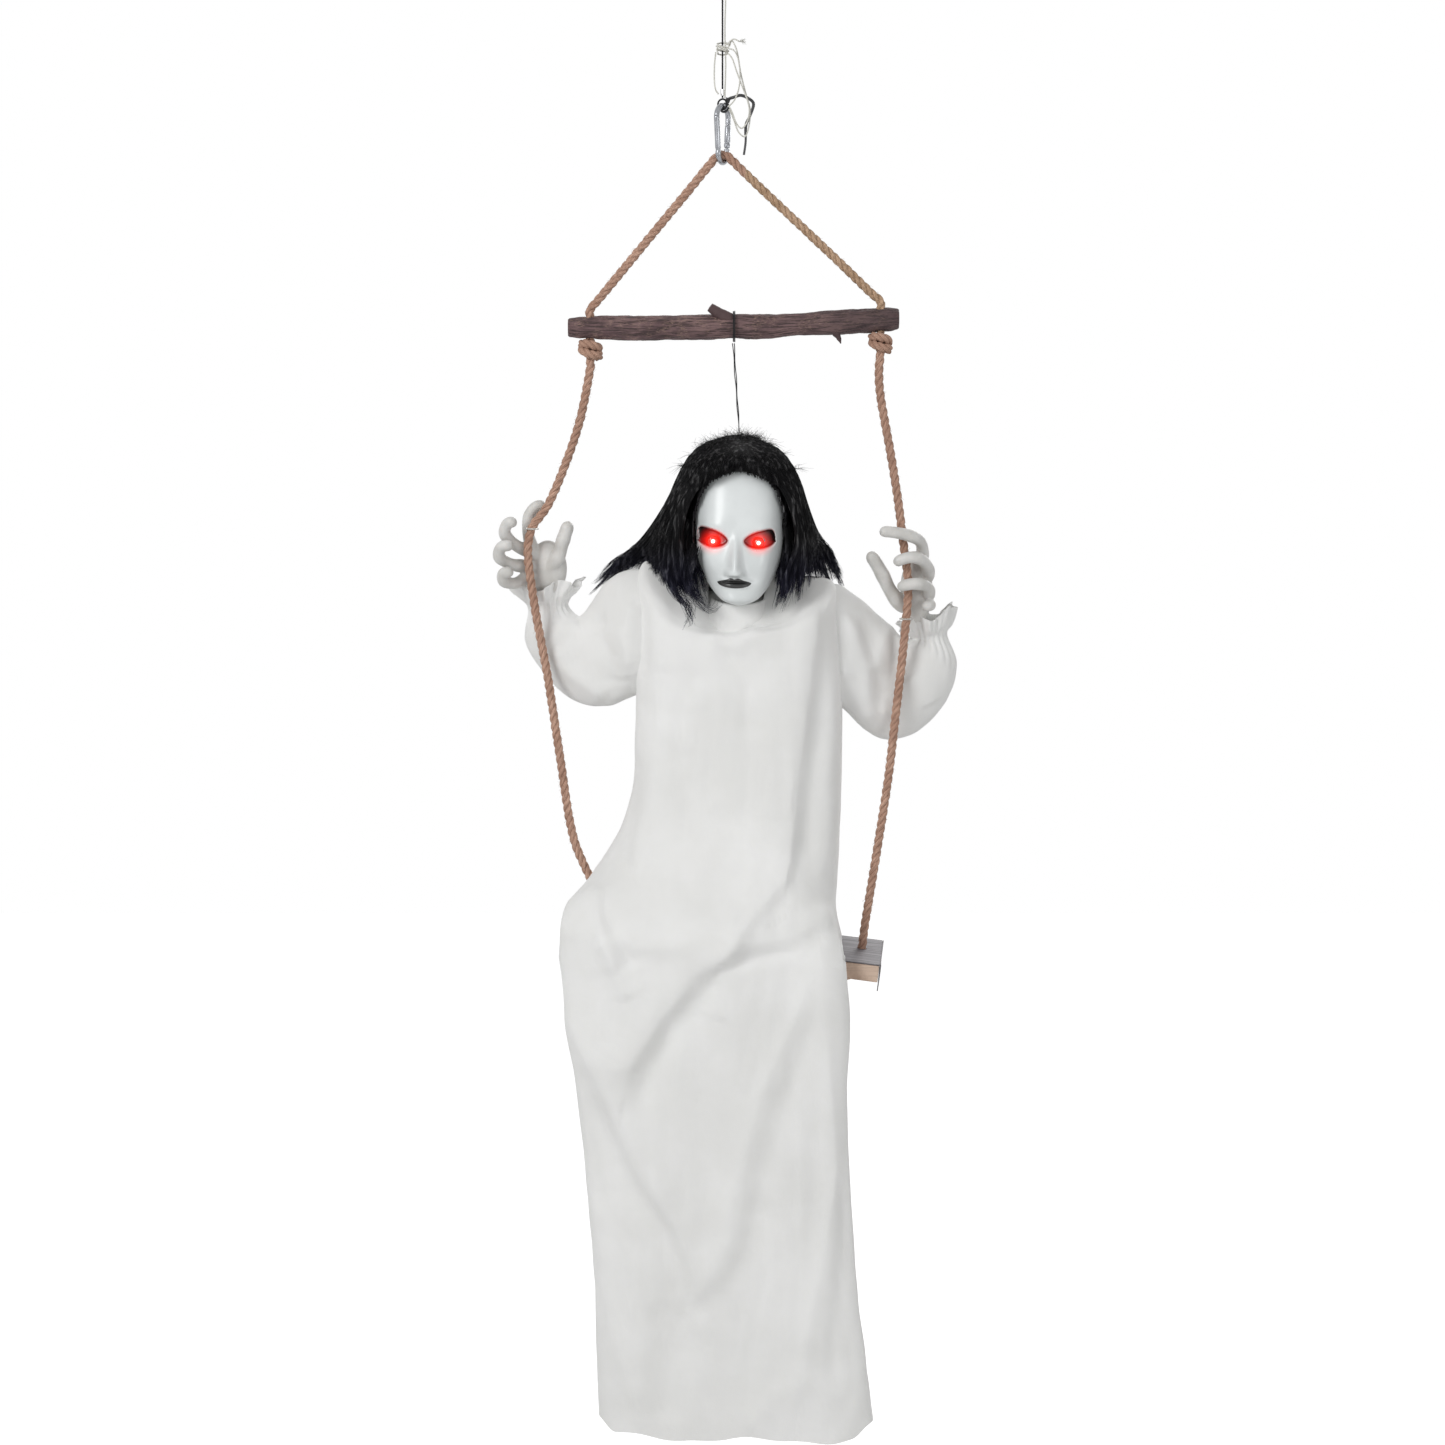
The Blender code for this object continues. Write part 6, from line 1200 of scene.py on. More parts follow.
def fold_cloth(item, folds, slant, depth, fine):
    """Presses folds and small creases into a sheet, along its outward normals."""
    mesh = item.data
    count = len(mesh.vertices)
    place, normal = numpy.empty(count * 3), numpy.empty(count * 3)
    mesh.vertices.foreach_get("co", place)
    mesh.vertices.foreach_get("normal", normal)
    place, normal = place.reshape(-1, 3), normal.reshape(-1, 3)
    if ((place - place.mean(axis=0)) * normal)[:, :2].sum() < 0:
        normal = -normal
    facing = numpy.clip(-normal[:, 1] * 2.2, 0.0, 1.0)
    lift = numpy.zeros(count)
    for fold in folds:
        lift += fold_relief(place[:, 0], place[:, 2], fold) * facing
    for number, (x, y, z) in enumerate(place):
        lean = x + slant * (z + 1.3)
        warp = rough_at(x * 7, y * 7, z * 4)
        lift[number] += depth * rough_at(lean * 24 + warp, y * 18, z * 5 + warp)
        lift[number] += fine * rough_at(lean * 62, y * 50, z * 19 + warp * 3)
    lift = numpy.maximum(lift, 0) + numpy.minimum(lift, 0) * numpy.clip(1.4 - 2 * normal[:, 2], 0, 1)
    place += normal * lift[:, None]
    mesh.vertices.foreach_set("co", place.ravel())
    mesh.update()
    return item


def cloth_finish():
    """Off-white polyester: fine plain weave, soft sheen, faint cloud of tone, thin when lit."""
    material, tree, shader = new_finish("gown_polyester", (0.8, 0.8, 0.785), 0.86, Sheen_Weight=0.25,
            Subsurface_Weight=0.12, Subsurface_Radius=(0.01, 0.01, 0.009))
    place = coordinates(tree)
    weave = noise_node(tree, stretched(tree, place, (1.0, 1.0, 1.0)), 1400.0, 2.0)
    fine = noise_node(tree, place, 46.0, 5.0, rough=0.6)
    cloud = clouds(tree, place, 9.0, 0.2, (0.765, 0.765, 0.75), (0.82, 0.82, 0.81))
    shader_input(tree, shader, "Base Color", cloud["Color"])
    height = math_node(tree, "ADD", weave.outputs[0], math_node(tree, "MULTIPLY", fine.outputs[0], 2.2))
    raised(tree, shader, height, 0.0005, 0.55)
    return material


GOWN_CLOTH = cloth_finish()


def add_gown():
    """The gown's body over the lap, its skirt from the knees to the hem, and the neck band."""
    gown = fold_cloth(swept("gown_cloth", 240, 380, gown_skin, GOWN_CLOTH), BODY_FOLDS + SKIRT_FOLDS, 0.0,
            0.003, 0.0009)
    body = finished("gown_body_cloth", rows_of(gown, 0.0, CLOTH_PART), GOWN_CLOTH)
    skirt = finished("gown_skirt_cloth", rows_of(gown, CLOTH_PART, 1.0), GOWN_CLOTH)
    bpy.data.objects.remove(gown)
    for item, node_name in ((body, "gown_body"), (skirt, "gown_skirt")):
        thicken(item, 0.0012)
        item.data.set_sharp_from_angle(angle=radians(60))
        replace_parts(item, node_name)
        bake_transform(item)
    band = swept("neck_band", 150, 24, neck_band_skin, GOWN_CLOTH)
    thicken(band, 0.0012)
    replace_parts(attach(band, "swing"), "gown_body")


def rows_of(item, low, high):
    """A copy of a swept sheet that keeps its rows between two shares of its length."""
    bm = bmesh.new()
    bm.from_mesh(item.data)
    shares = bm.loops.layers.uv.active
    gone = [face for face in bm.faces
            if not low < sum(corner[shares].uv.y for corner in face.loops) / len(face.loops) <= high]
    bmesh.ops.delete(bm, geom=gone, context="FACES")
    return bm


def neck_band_skin(around, along):
    """A point of the soft round band that stands in the gown's neck, under the chin."""
    angle = tau * around
    x, y = oval(angle, 0.034 + 0.016 * along, 0.036 + 0.018 * along, 0.046 + 0.01 * along, 0.034, 2.2)
    bulge = 0.0025 * sin(pi * min(1.0, along * 1.6))
    ribs = 0.0006 * sin(7 * angle + 3 * sin(2 * angle)) + 0.001 * rough_at(x * 40, y * 40, along * 2)
    grow = 1 + (bulge + ribs) / 0.045
    return Vector((0.0205 + x * grow, -0.01 + y * grow, -0.858 - 0.055 * along + 0.16 * min(y, 0.0) + 0.1
            * max(y, 0.0)))


def open_loops(edges):
    """The edges of a mesh's open rims, one list for each rim."""
    left, loops = set(edges), []
    while left:
        loop, ends = [], [next(iter(sorted(left, key=lambda edge: edge.index)))]
        while ends:
            edge = ends.pop()
            if edge not in left:
                continue
            left.discard(edge)
            loop.append(edge)
            ends += [other for vert in edge.verts for other in vert.link_edges if other in left]
        loops.append(loop)
    return loops


def thicken(item, depth):
    """Gives a sheet its thickness, inwards, and closes its rims."""
    bm = bmesh.new()
    bm.from_mesh(item.data)
    bmesh.ops.recalc_face_normals(bm, faces=bm.faces)
    bm.normal_update()
    bm.edges.index_update()
    rims = [edge for edge in bm.edges if edge.is_boundary]
    shifts = [vert.normal * -depth for vert in bm.verts]
    outer = bm.verts[:]
    made = bmesh.ops.duplicate(bm, geom=bm.verts[:] + bm.edges[:] + bm.faces[:])
    inner = made["vert_map"]
    for vert, shift in zip(outer, shifts):
        inner[vert].co += shift
    bmesh.ops.reverse_faces(bm, faces=[item
            for item in made["geom"] if isinstance(item, bmesh.types.BMFace)])
    doubles = made["edge_map"]
    for rim in open_loops(rims):
        bmesh.ops.bridge_loops(bm, edges=rim + [doubles[edge] for edge in rim])
    bm.to_mesh(item.data)
    bm.free()
    item.data.shade_smooth()
    return item


LEFT_SLEEVE = thousandths((
    (0, -96, 12, -826, -100, 12, -986, 40), (95, -125, 20, -824, -120, 24, -994, 44),
    (210, -156, 30, -840, -160, 36, -1012, 40), (330, -178, 40, -870, -200, 44, -1006, 36),
    (450, -190, 46, -886, -238, 50, -975, 34), (590, -198, 48, -888, -270, 52, -925, 30),
    (740, -211, 48, -874, -264, 50, -881, 22), (860, -204, 47, -860, -272, 48, -866, 31),
    (1000, -190, 46, -842, -286, 48, -850, 39),
))
RIGHT_SLEEVE = thousandths((
    (0, 132, 12, -844, 140, 12, -996, 40), (85, 156, 20, -845, 164, 24, -1012, 44),
    (190, 184, 30, -864, 196, 36, -1042, 42), (295, 208, 40, -884, 226, 44, -1058, 40),
    (400, 222, 46, -896, 264, 50, -1048, 36), (520, 234, 48, -908, 302, 52, -1010, 34),
    (650, 244, 48, -918, 318, 50, -956, 30), (760, 256, 48, -920, 304, 50, -916, 22),
    (880, 248, 47, -911, 310, 48, -898, 29), (1000, 240, 46, -902, 316, 48, -876, 34),
))


SLEEVE_FOLDS = thousandths((
    (5, 10, 14, (-156, -892), (-136, -937), (-132, -974)),
    (-4.5, 10, 12, (-172, -900), (-152, -940), (-146, -984)),
    (6, 12, 10, (-223, -925), (-213, -955), (-176, -985), (-155, -1000)),
    (-4.5, 8, 10, (-202, -875), (-182, -893), (-155, -895)),
    (4.5, 8, 10, (-190, -895), (-215, -905), (-250, -930)),
    (5.5, 8, 14, (-117, -860), (-129, -910), (-125, -960)),
    (-4, 10, 10, (-105, -870), (-112, -910), (-110, -960)),
    (5.5, 8, 12, (166, -880), (169, -937), (160, -970)),
    (6, 10, 12, (240, -890), (216, -920), (206, -965)),
    (-4.5, 12, 10, (256, -925), (232, -950), (220, -1000)),
    (6, 12, 12, (175, -885), (192, -954), (196, -998), (200, -1040)),
    (-5, 10, 12, (185, -880), (208, -950), (214, -1020)),
    (-4.5, 12, 12, (137, -858), (154, -910), (158, -970)),
    (4.5, 10, 12, (250, -965), (270, -985), (285, -1010)),
))


def sleeve_skin(table, around, along):
    """A point of a sleeve: baggy at the elbow, gathered at the elastic, frilled beyond it."""
    values = curve_value(table, along)
    top, bottom, depth = Vector(values[0:3]), Vector(values[3:6]), values[6]
    angle = tau * around
    middle, width_way = (top + bottom) / 2, (top - bottom) / 2
    frill = smooth_step(0.76, 0.95, along)
    gathers = 0.09 * frill * sin(11 * angle + 1.3 * sin(2 * angle))
    gathers += 0.04 * frill * sin(27 * angle + 0.7)
    pinch = 1 - smooth_step(0.0, 0.15, abs(along - 0.75))
    gathers += 0.05 * pinch * sin(21 * angle)
    grow = 1 + gathers
    dip = Vector((0, 0, 0.006 * frill * sin(5 * angle + 1.0)))
    return (middle + width_way * (grow * cos(angle)) + Vector((0, depth * grow * sin(angle), 0)) + dip)


def add_sleeves():
    """Two baggy sleeves with gathered, frilled cuffs."""
    for name, table, flat in (("left_sleeve", LEFT_SLEEVE, (0.3, 0.25)),
            ("right_sleeve", RIGHT_SLEEVE, (0.34, 0.27))):
        sleeve = swept(name + "_cloth", 200, 220, lambda u, v: sleeve_skin(table, u, v), GOWN_CLOTH)
        fold_cloth(sleeve, SLEEVE_FOLDS, 0.4, 0.003, 0.0009)
        thicken(sleeve, 0.0012)
        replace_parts(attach(sleeve, "swing"), name)


# Head
HEAD_SHARES = thousandths((
    (0, 150, -130, 130), (45, 600, -460, 500), (160, 880, -700, 780), (350, 1000, -870, 940),
    (540, 980, -930, 950), (690, 910, -970, 780), (830, 710, -1000, 440), (945, 430, -980, -340),
    (1000, 180, -920, -560),
))


def head_point(angle, share, grow=0.0):
    """A point of the plain head at an angle and a share of its height, a little larger where asked."""
    half, front, back = curve_value(HEAD_SHARES, share)
    x, y = oval(angle, half * 0.066 + grow, half * 0.066 + grow, (back - front) * 0.045 + grow,
            (back - front) * 0.045 + grow, 2.45)
    return Vector((0.0225 + x, (front + back) * 0.045 + y, -0.655 - 0.211 * share))


add_gown()
add_sleeves()


# Mask and eyes
def bump_share(value, middle, width):
    """A rounded bump of height 1 about a middle."""
    return exp(-((value - middle) / width) ** 2)


FACE_X, EYE_Z, EYE_SPREAD = 0.0175, -0.78, 0.03
FACE_TILT = radians(-2.2)


def face_place(x, z):
    """Sideways and upward distance on the face from the point between the eyes, less its tilt."""
    across, up = x - FACE_X, z - EYE_Z
    return (across * cos(FACE_TILT) + up * sin(FACE_TILT), -across * sin(FACE_TILT) + up * cos(FACE_TILT))


def socket_depth(across, up):
    """How deep the almond eye sockets are at a place on the face: 0 outside, 1 deep inside."""
    side = abs(across) - EYE_SPREAD - 0.0012
    lid = 0.016 + 0.26 * side
    low = -0.0125 + 0.06 * side
    if abs(side) > 0.0215:
        return 0.0
    top = lid * sqrt(max(0.0, 1 - abs(side / 0.0215) ** (6 if side > 0 else 2.4)))
    bottom = low * sqrt(max(0.0, 1 - (side / 0.0215) ** 2))
    if up > 0:
        return smooth_step(0.0, 0.005, top - up)
    return smooth_step(0.0, 0.006, up - bottom)


def lips_share(across, up):
    """1 on the lips, 0 off them, with the bow of the upper lip."""
    half = 0.0225
    if abs(across) > half:
        return 0.0
    u = abs(across) / half
    bow = 0.0052 * (1 - u ** 1.6) + 0.0012 * bump_share(abs(across), 0.0055,
            0.0035) - 0.001 * bump_share(across, 0, 0.002)
    low = -0.0078 * sqrt(max(0.0, 1 - u * u))
    height = up + 0.054
    return smooth_step(-0.0006, 0.0008, min(bow - height, height - low))


def mask_point(around, along):
    """A point of the mask: the plain head with brow, sockets, nose, lips, cheeks and chin."""
    angle = tau * around
    point = head_point(angle, along)
    ends = min(1.0, along / 0.03, (1 - along) / 0.035)
    if ends < 1.0:
        centre = head_point(pi / 2, along).lerp(head_point(-pi / 2, along), 0.5)
        point = centre.lerp(point, sqrt(max(0.0, 1 - (1 - ends) ** 2)))
    if point.y > -0.045:
        return point
    across, up = face_place(point.x, point.z)
    front = smooth_step(-0.045, -0.065, point.y)
    relief = -0.0115 * socket_depth(across, up)
    relief += 0.0035 * bump_share(up, 0.02, 0.012) * bump_share(abs(across), 0.03, 0.022)
    relief -= 0.003 * bump_share(up, 0.0, 0.014) * bump_share(across, 0.0, 0.009) * 0.6
    bridge = smooth_step(0.012, -0.04, up) * smooth_step(-0.052, -0.044, up)
    relief += (0.004 + 0.013 * bridge) * bump_share(across, 0.0, 0.0056 + 0.003 * bridge) * (
        smooth_step(0.024, -0.004, up) * smooth_step(-0.0525, -0.043, up))
    relief += 0.005 * bump_share(up, -0.0415, 0.005) * bump_share(abs(across), 0.0085, 0.0045)
    relief += 0.0045 * bump_share(up, -0.022, 0.02) * bump_share(abs(across), 0.04, 0.014)
    relief -= 0.0022 * bump_share(up, -0.048, 0.01) * bump_share(abs(across), 0.026, 0.01)
    mouth = up + 0.054
    lips = exp(-(across / 0.019) ** 4)
    relief += lips * (0.0036 * bump_share(mouth, 0.003, 0.003) + 0.0042 * bump_share(mouth, -0.004, 0.0036)
            - 0.003 * bump_share(mouth, 0.0002, 0.0011))
    relief -= 0.0012 * bump_share(across, 0.0, 0.003) * bump_share(mouth, 0.0095, 0.004)
    relief += 0.0035 * bump_share(up, -0.078, 0.008) * bump_share(across, 0.0, 0.014)
    point.y -= relief * front
    return point


def mask_finish():
    """Glossy pale grey-white plastic: black sockets and lips, and a painted red glow round the eyes, red
    colour and emission that stand for the eyes' light soaking into the plastic.
    """
    material, tree, shader = new_finish("mask_gloss_plastic", (0.7, 0.73, 0.73), 0.22,
            Emission_Color=(1.0, 0.01, 0.004, 1), Coat_Weight=0.25, Coat_Roughness=0.26)
    place = coordinates(tree)
    socket = node(tree, "Attribute", {}, attribute_name="socket").outputs["Fac"]
    lips = node(tree, "Attribute", {}, attribute_name="lips").outputs["Fac"]
    glow = node(tree, "Attribute", {}, attribute_name="glow").outputs["Fac"]
    cloud = clouds(tree, place, 16.0, 0.15, (0.66, 0.69, 0.69), (0.73, 0.76, 0.76))
    colour = mixed(tree, stepped(tree, lips, 0.3, 0.7), cloud["Color"], (0.008, 0.008, 0.008, 1))
    colour = mixed(tree, stepped(tree, socket, 0.15, 0.75), colour, (0.012, 0.006, 0.006, 1))
    # painted red light: the eyes' glow on the mask, laid in as red colour and emission
    painted_red_light = math_node(tree, "MULTIPLY", glow, 0.75)
    colour = mixed(tree, painted_red_light, colour, (0.75, 0.02, 0.015, 1))
    shader_input(tree, shader, "Base Color", colour)
    shader_input(tree, shader, "Emission Strength", math_node(tree, "MULTIPLY",
            math_node(tree, "POWER", glow, 1.35), 1.9))
    rough = math_node(tree, "ADD", math_node(tree, "MULTIPLY", cloud["Share"], 0.08), 0.3)
    shader_input(tree, shader, "Roughness", rough)
    raised(tree, shader, cloud["Share"], 0.0003, 0.25)
    return material


def add_attribute(item, name, value_at):
    """A number at each vertex, from its place."""
    attribute = item.data.attributes.new(name, "FLOAT", "POINT")
    for vert, entry in zip(item.data.vertices, attribute.data):
        entry.value = value_at(vert.co)


def eye_glow(place):
    """How much red light reaches a place on the mask: full at each eye, fading outwards."""
    across, up = face_place(place.x, place.z)
    side = abs(across) - EYE_SPREAD
    if place.y > -0.05:
        return 0.0
    far = sqrt((side / (0.0245 if side * up < 0.00002 else 0.0225)) ** 2 + ((up + 0.0015) / 0.0212) ** 2)
    return max(0.0, 1.0 - far) ** 1.6


def half_of(item, plane_y, keep_front):
    """Keeps one side of a closed skin at a plane across the depth."""
    bm = bmesh.new()
    bm.from_mesh(item.data)
    bmesh.ops.bisect_plane(bm, geom=bm.verts[:] + bm.edges[:] + bm.faces[:], plane_co=(0, plane_y, 0),
            plane_no=(0, 1, 0), clear_outer=keep_front, clear_inner=not keep_front)
    bm.to_mesh(item.data)
    bm.free()


def add_head():
    """Mask shell with soft rims, and the two lit lenses."""
    plastic = mask_finish()
    mask = swept("ghost_mask", 300, 300, mask_point, plastic)
    half_of(mask, -0.022, True)
    thicken(mask, 0.0022)
    add_attribute(mask, "socket", lambda co: socket_depth(*face_place(co.x, co.z)) if co.y < -0.05 else 0.0)
    add_attribute(mask, "lips", lambda co: lips_share(*face_place(co.x, co.z)) if co.y < -0.06 else 0.0)
    # glow: the share of painted red light from the eyes at each point of the mask
    add_attribute(mask, "glow", eye_glow)
    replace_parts(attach(mask, "head"), "face_mask")
    lens = lens_finish()
    for name, side in (("left_eye_lens", -1), ("right_eye_lens", 1)):
        x = FACE_X + side * EYE_SPREAD
        z = EYE_Z - side * EYE_SPREAD * sin(-FACE_TILT) - 0.0015
        profile = [(0.0, 0.0), (0.007, 0.0), (0.0076, 0.0006), (0.0074, 0.0016), (0.0062, 0.003),
                (0.0042, 0.0042), (0.002, 0.0048), (0.0, 0.005)]
        dome = turned(name + "_dome", profile, (x, -0.0735, z), (0, -1, 0), lens, 48)
        add_attribute(dome, "core", lambda co: max(0.0, 1 - hypot(co.x - x, co.z - z) / 0.0062))
        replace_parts(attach(dome, "head"), name)


def lens_finish():
    """Red lens that glows, white-hot at its middle where the lamp sits."""
    material, tree, shader = new_finish("lens_red_glow", (0.55, 0.01, 0.008), 0.12)
    core = node(tree, "Attribute", {}, attribute_name="core").outputs["Fac"]
    grain = clouds(tree, coordinates(tree), 90.0, 0.3, (0.4, 0.006, 0.004), (0.62, 0.012, 0.009))
    shader_input(tree, shader, "Base Color", grain["Color"])
    hot = stepped(tree, core, 0.42, 0.95)
    shader_input(tree, shader, "Emission Color", mixed(tree, hot, (1.0, 0.015, 0.006, 1),
            (1.0, 0.86, 0.74, 1)))
    strength = math_node(tree, "ADD", math_node(tree, "MULTIPLY", hot, 9.0), 1.6)
    shader_input(tree, shader, "Emission Strength", strength)
    return material


add_head()


# Hands
LEFT_FINGERS = thousandths((
    ((-232.7, 20, -820.5), (-220.6, 12, -804.2), (-214.9, 6, -786), (-207.9, 2, -765.9), (-205.3, 0,
        -758.2)),
    ((-254.6, 22, -798.9), (-261.8, 20, -774.9), (-259.6, 16, -751), (-249.1, 15, -738.6), (-237.7, 16,
        -739.1)),
    ((-258.4, 20, -801.3), (-277.5, 8, -790.7), (-291.2, -6, -774.5), (-286.6, -16, -760.1), (-274.7,
        -22, -758.2)),
    ((-260.5, 20, -819.5), (-281.9, 8, -816.6), (-298.6, -6, -806.1), (-295.4, -16, -791.7), (-279.7,
        -22, -788.8)),
    ((-260.6, 20, -833), (-278.3, 8, -841.6), (-292.8, -4, -837.8), (-293.1, -12, -827.2), (-280.3,
        -18, -824.3)),
))
RIGHT_FINGERS = thousandths((
    ((244.6, 20, -873.1), (227.6, 14, -854.1), (214.7, 8, -829.1), (202.8, 2, -809), (195.5, 0, -800.3)),
    ((269, 16, -810.9), (266, -4, -787), (250, -17, -776.4), (222.2, -18, -771.1), (209.4, -16, -772.6)),
    ((277.8, 16, -830.1), (270, -6, -811.8), (254.4, -17.5, -805.1), (237.2, -17, -809.4), (232.6, -15,
        -816.6)),
    ((278, 16, -858), (274, -4, -845.4), (258.6, -17.5, -840.6), (242.3, -17.5, -843.5), (237.7, -15,
        -850.2)), ((275, 22, -869), (279, 8, -871), (270, -2, -872)),
))


def glove_finish():
    """Pale grey moulded glove plastic: matt, faintly mottled, with a soft inner light."""
    material, tree, shader = new_finish("hand_moulded_plastic", (0.62, 0.61, 0.585), 0.5,
            Subsurface_Weight=0.15, Subsurface_Radius=(0.006, 0.005, 0.004))
    place = coordinates(tree)
    cloud = clouds(tree, place, 38.0, 0.35, (0.54, 0.53, 0.505), (0.67, 0.66, 0.64))
    scuffs = use_group(tree, SCUFFS, Vector=place, Scale=55.0, Roughness=0.48, Spread=0.25)
    shader_input(tree, shader, "Base Color", cloud["Color"])
    shader_input(tree, shader, "Roughness", scuffs["Roughness"])
    raised(tree, shader, scuffs["Height"], 0.0004, 0.35)
    return material


def finger_radii(count, thick):
    """Shares of a finger's radius: knuckle and joint swellings, then a rounded tip."""
    shares = []
    for number in range(count):
        s = number / (count - 1)
        share = 1.02 - 0.14 * s + 0.07 * bump_share(s, 0.3, 0.06) + 0.06 * bump_share(s, 0.66, 0.06)
        share -= 0.05 * bump_share(s, 0.48, 0.09)
        left = (1 - s) * (count - 1) * 0.0016 / thick
        shares.append(share * sqrt(max(0.05, 1 - max(0.0, 1 - left) ** 2)))
    return shares


def fused(item, voxel, rounds):
    """Melts the overlapping parts of a mesh into one smooth skin."""
    melt = item.modifiers.new("melt", "REMESH")
    melt.mode = "VOXEL"
    melt.voxel_size = voxel
    soft = item.modifiers.new("soft", "SMOOTH")
    soft.factor, soft.iterations = 0.6, rounds
    bpy.context.view_layer.update()
    mesh = bpy.data.meshes.new_from_object(item.evaluated_get(bpy.context.evaluated_depsgraph_get()))
    item.modifiers.clear()
    item.data = mesh
    mesh.shade_smooth()
    return item


def add_hands():
    """Both hands: melted palm, knuckled fingers, thumb and wrist."""
    glove = glove_finish()
    for name, palm, size, fingers, wrist in (
        ("left", Vector((-0.2359, 0.026, -0.8229)), (0.052, 0.03, 0.076), LEFT_FINGERS,
         Vector((-0.244, 0.04, -0.853))),
        ("right", Vector((0.2622, 0.026, -0.852)), (0.044, 0.03, 0.096), RIGHT_FINGERS,
         Vector((0.268, 0.04, -0.887))),
    ):
        bm = bmesh.new()
        bmesh.ops.create_uvsphere(bm, u_segments=32, v_segments=24, radius=0.5)
        bmesh.ops.scale(bm, verts=bm.verts, vec=size)
        bmesh.ops.translate(bm, verts=bm.verts, vec=palm)
        hand = finished(name + "_hand_skin", bm, glove)
        for number, finger in enumerate(fingers):
            thick = 0.0088 if number else 0.0102
            root = palm.lerp(Vector(finger[0]), 0.35)
            line = even_route(smooth_route([root] + list(finger), 0.002), 0.0016)
            join_into(hand, tubes(f"{name}_finger_{number}", [line], thick, glove, 5,
                    [finger_radii(len(line), thick)]))
        line = even_route([wrist, palm], 0.003)
        join_into(hand, tubes(name + "_wrist", [line], 0.0122, glove, 6,
                [[1 + 0.12 * (n / (len(line) - 1)) for n in range(len(line))]]))
        fused(hand, 0.0011, 7)
        if not hand.data.materials:
            hand.data.materials.append(glove)
        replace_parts(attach(hand, "swing"), name + "_hand")


add_hands()


# Hair
HAIR_TIMES = (0.0, 0.08, 0.18, 0.32, 0.48, 0.64, 0.82, 1.0)
LEFT_INNER = thousandths((
    (24, -646), (17, -664), (0, -686), (-33, -708), (-54, -748), (-56, -790), (-40, -835), (-15, -870),
))
LEFT_OUTER = thousandths((
    (16, -643), (-14, -650), (-40, -666), (-60, -700), (-78, -738), (-106, -780), (-138, -812),
    (-172, -844),
))
RIGHT_INNER = thousandths((
    (26, -646), (32, -664), (47, -684), (75, -706), (96, -748), (98, -790), (84, -835), (66, -874),
))
RIGHT_OUTER = thousandths((
    (30, -643), (52, -650), (79, -664), (101, -696), (112, -734), (128, -774), (149, -808), (166, -844),
))
BACK_LINE = thousandths((
    (20, -645), (52, -654), (82, -676), (100, -710), (105, -750), (108, -795), (110, -842), (112, -890),
))
FRONT_DEPTHS = (-0.014, -0.04, -0.058, -0.07, -0.072, -0.07, -0.072, -0.076)


def at_time(values, t):
    """Smooth value of a row table of pairs at a share of the hair's length."""
    return curve_value(tuple((time, *value) for time, value in zip(HAIR_TIMES, values)), t)


def hair_place(side, s, t):
    """A point of the hair's shell: s from the face edge (0) by the outline (1) to the back (2)."""
    inner = at_time(LEFT_INNER if side < 0 else RIGHT_INNER, t)
    outer = at_time(LEFT_OUTER if side < 0 else RIGHT_OUTER, t)
    back = at_time(BACK_LINE, t)
    front = at_time(tuple((depth,) for depth in FRONT_DEPTHS), t)[0]
    middle = 0.016
    if s <= 1:
        turn = s * pi / 2
        x = inner[0] + (outer[0] - inner[0]) * sin(turn)
        y = front + (middle - front) * (1 - cos(turn))
        z = inner[1] + (outer[1] - inner[1]) * s
        tucked = smooth_step(0.22, 0.5, s) * smooth_step(0.5, 0.86, t)
        y += (0.088 - 0.04 * s) * tucked
        z += 0.02 * smooth_step(0.04, 0.36, s) * smooth_step(0.6, 1.0, t) * (1 - smooth_step(0.75, 1.0, s))
    else:
        turn = (s - 1) * pi / 2
        x = 0.0225 + (outer[0] - 0.0225) * cos(turn)
        y = middle + (back[0] - middle) * sin(turn)
        y += 0.048 * (1 - sin(turn)) * smooth_step(0.5, 0.86, t)
        z = outer[1] + (back[1] - outer[1]) * (s - 1)
    return Vector((x, y, z))


def lock_routes(chance, side, low, high, locks, strands, ends=(0.86, 1.04), start=0.0, spread=0.05,
        wave=0.004, deep=0.0):
    """Strands in locks over part of the shell: they part at the roots and draw together at the tips."""
    routes, radii = [], []
    for number in range(locks):
        middle = low + (high - low) * (number + chance.random()) / locks
        last = chance.uniform(*ends)
        first = start + chance.uniform(0.0, 0.05)
        sway = Vector((chance.uniform(-1, 1), chance.uniform(-1, 1), chance.uniform(-0.5, 0.5))) * 0.006
        seed = chance.random() * 50
        depth = deep + chance.uniform(0.0, 0.01)
        for strand in range(strands):
            off = chance.gauss(0, spread)
            inward = depth + chance.uniform(0.0, 0.006)
            own = chance.random() * 90
            stop = last - abs(chance.gauss(0, 0.05))
            route, shares = [], []
            steps = 15
            for step in range(steps):
                u = step / (steps - 1)
                t = first + (stop - first) * u
                s = min(1.985, max(0.0, middle + off * (1 - 0.72 * u ** 1.5)))
                point = hair_place(side, s, min(1.0, t))
                if t > 1.0:
                    point += (point - hair_place(side, s, 0.96)) * ((t - 1.0) / 0.04)
                centre = Vector((0.0225, 0.012, point.z))
                point = centre.lerp(point, 1 - inward * 6 * (1 - 0.4 * u))
                rough = Vector((rough_at(seed, u * 3.0, 1), rough_at(seed, u * 3.0, 9),
                        rough_at(seed, u * 3.0, 17)))
                fine = Vector((rough_at(own, u * 5.0, 3), rough_at(own, u * 5.0, 7), 0))
                point += rough * (wave * (0.3 + u)) + fine * (0.0022 * (0.3 + u)) + sway * u * u
                route.append(point)
                shares.append(0.75 + 0.35 * sin(pi * min(1.0, u * 1.15)) - 0.55 * u ** 5)
            routes.append(route)
            radii.append(shares)
    return routes, radii


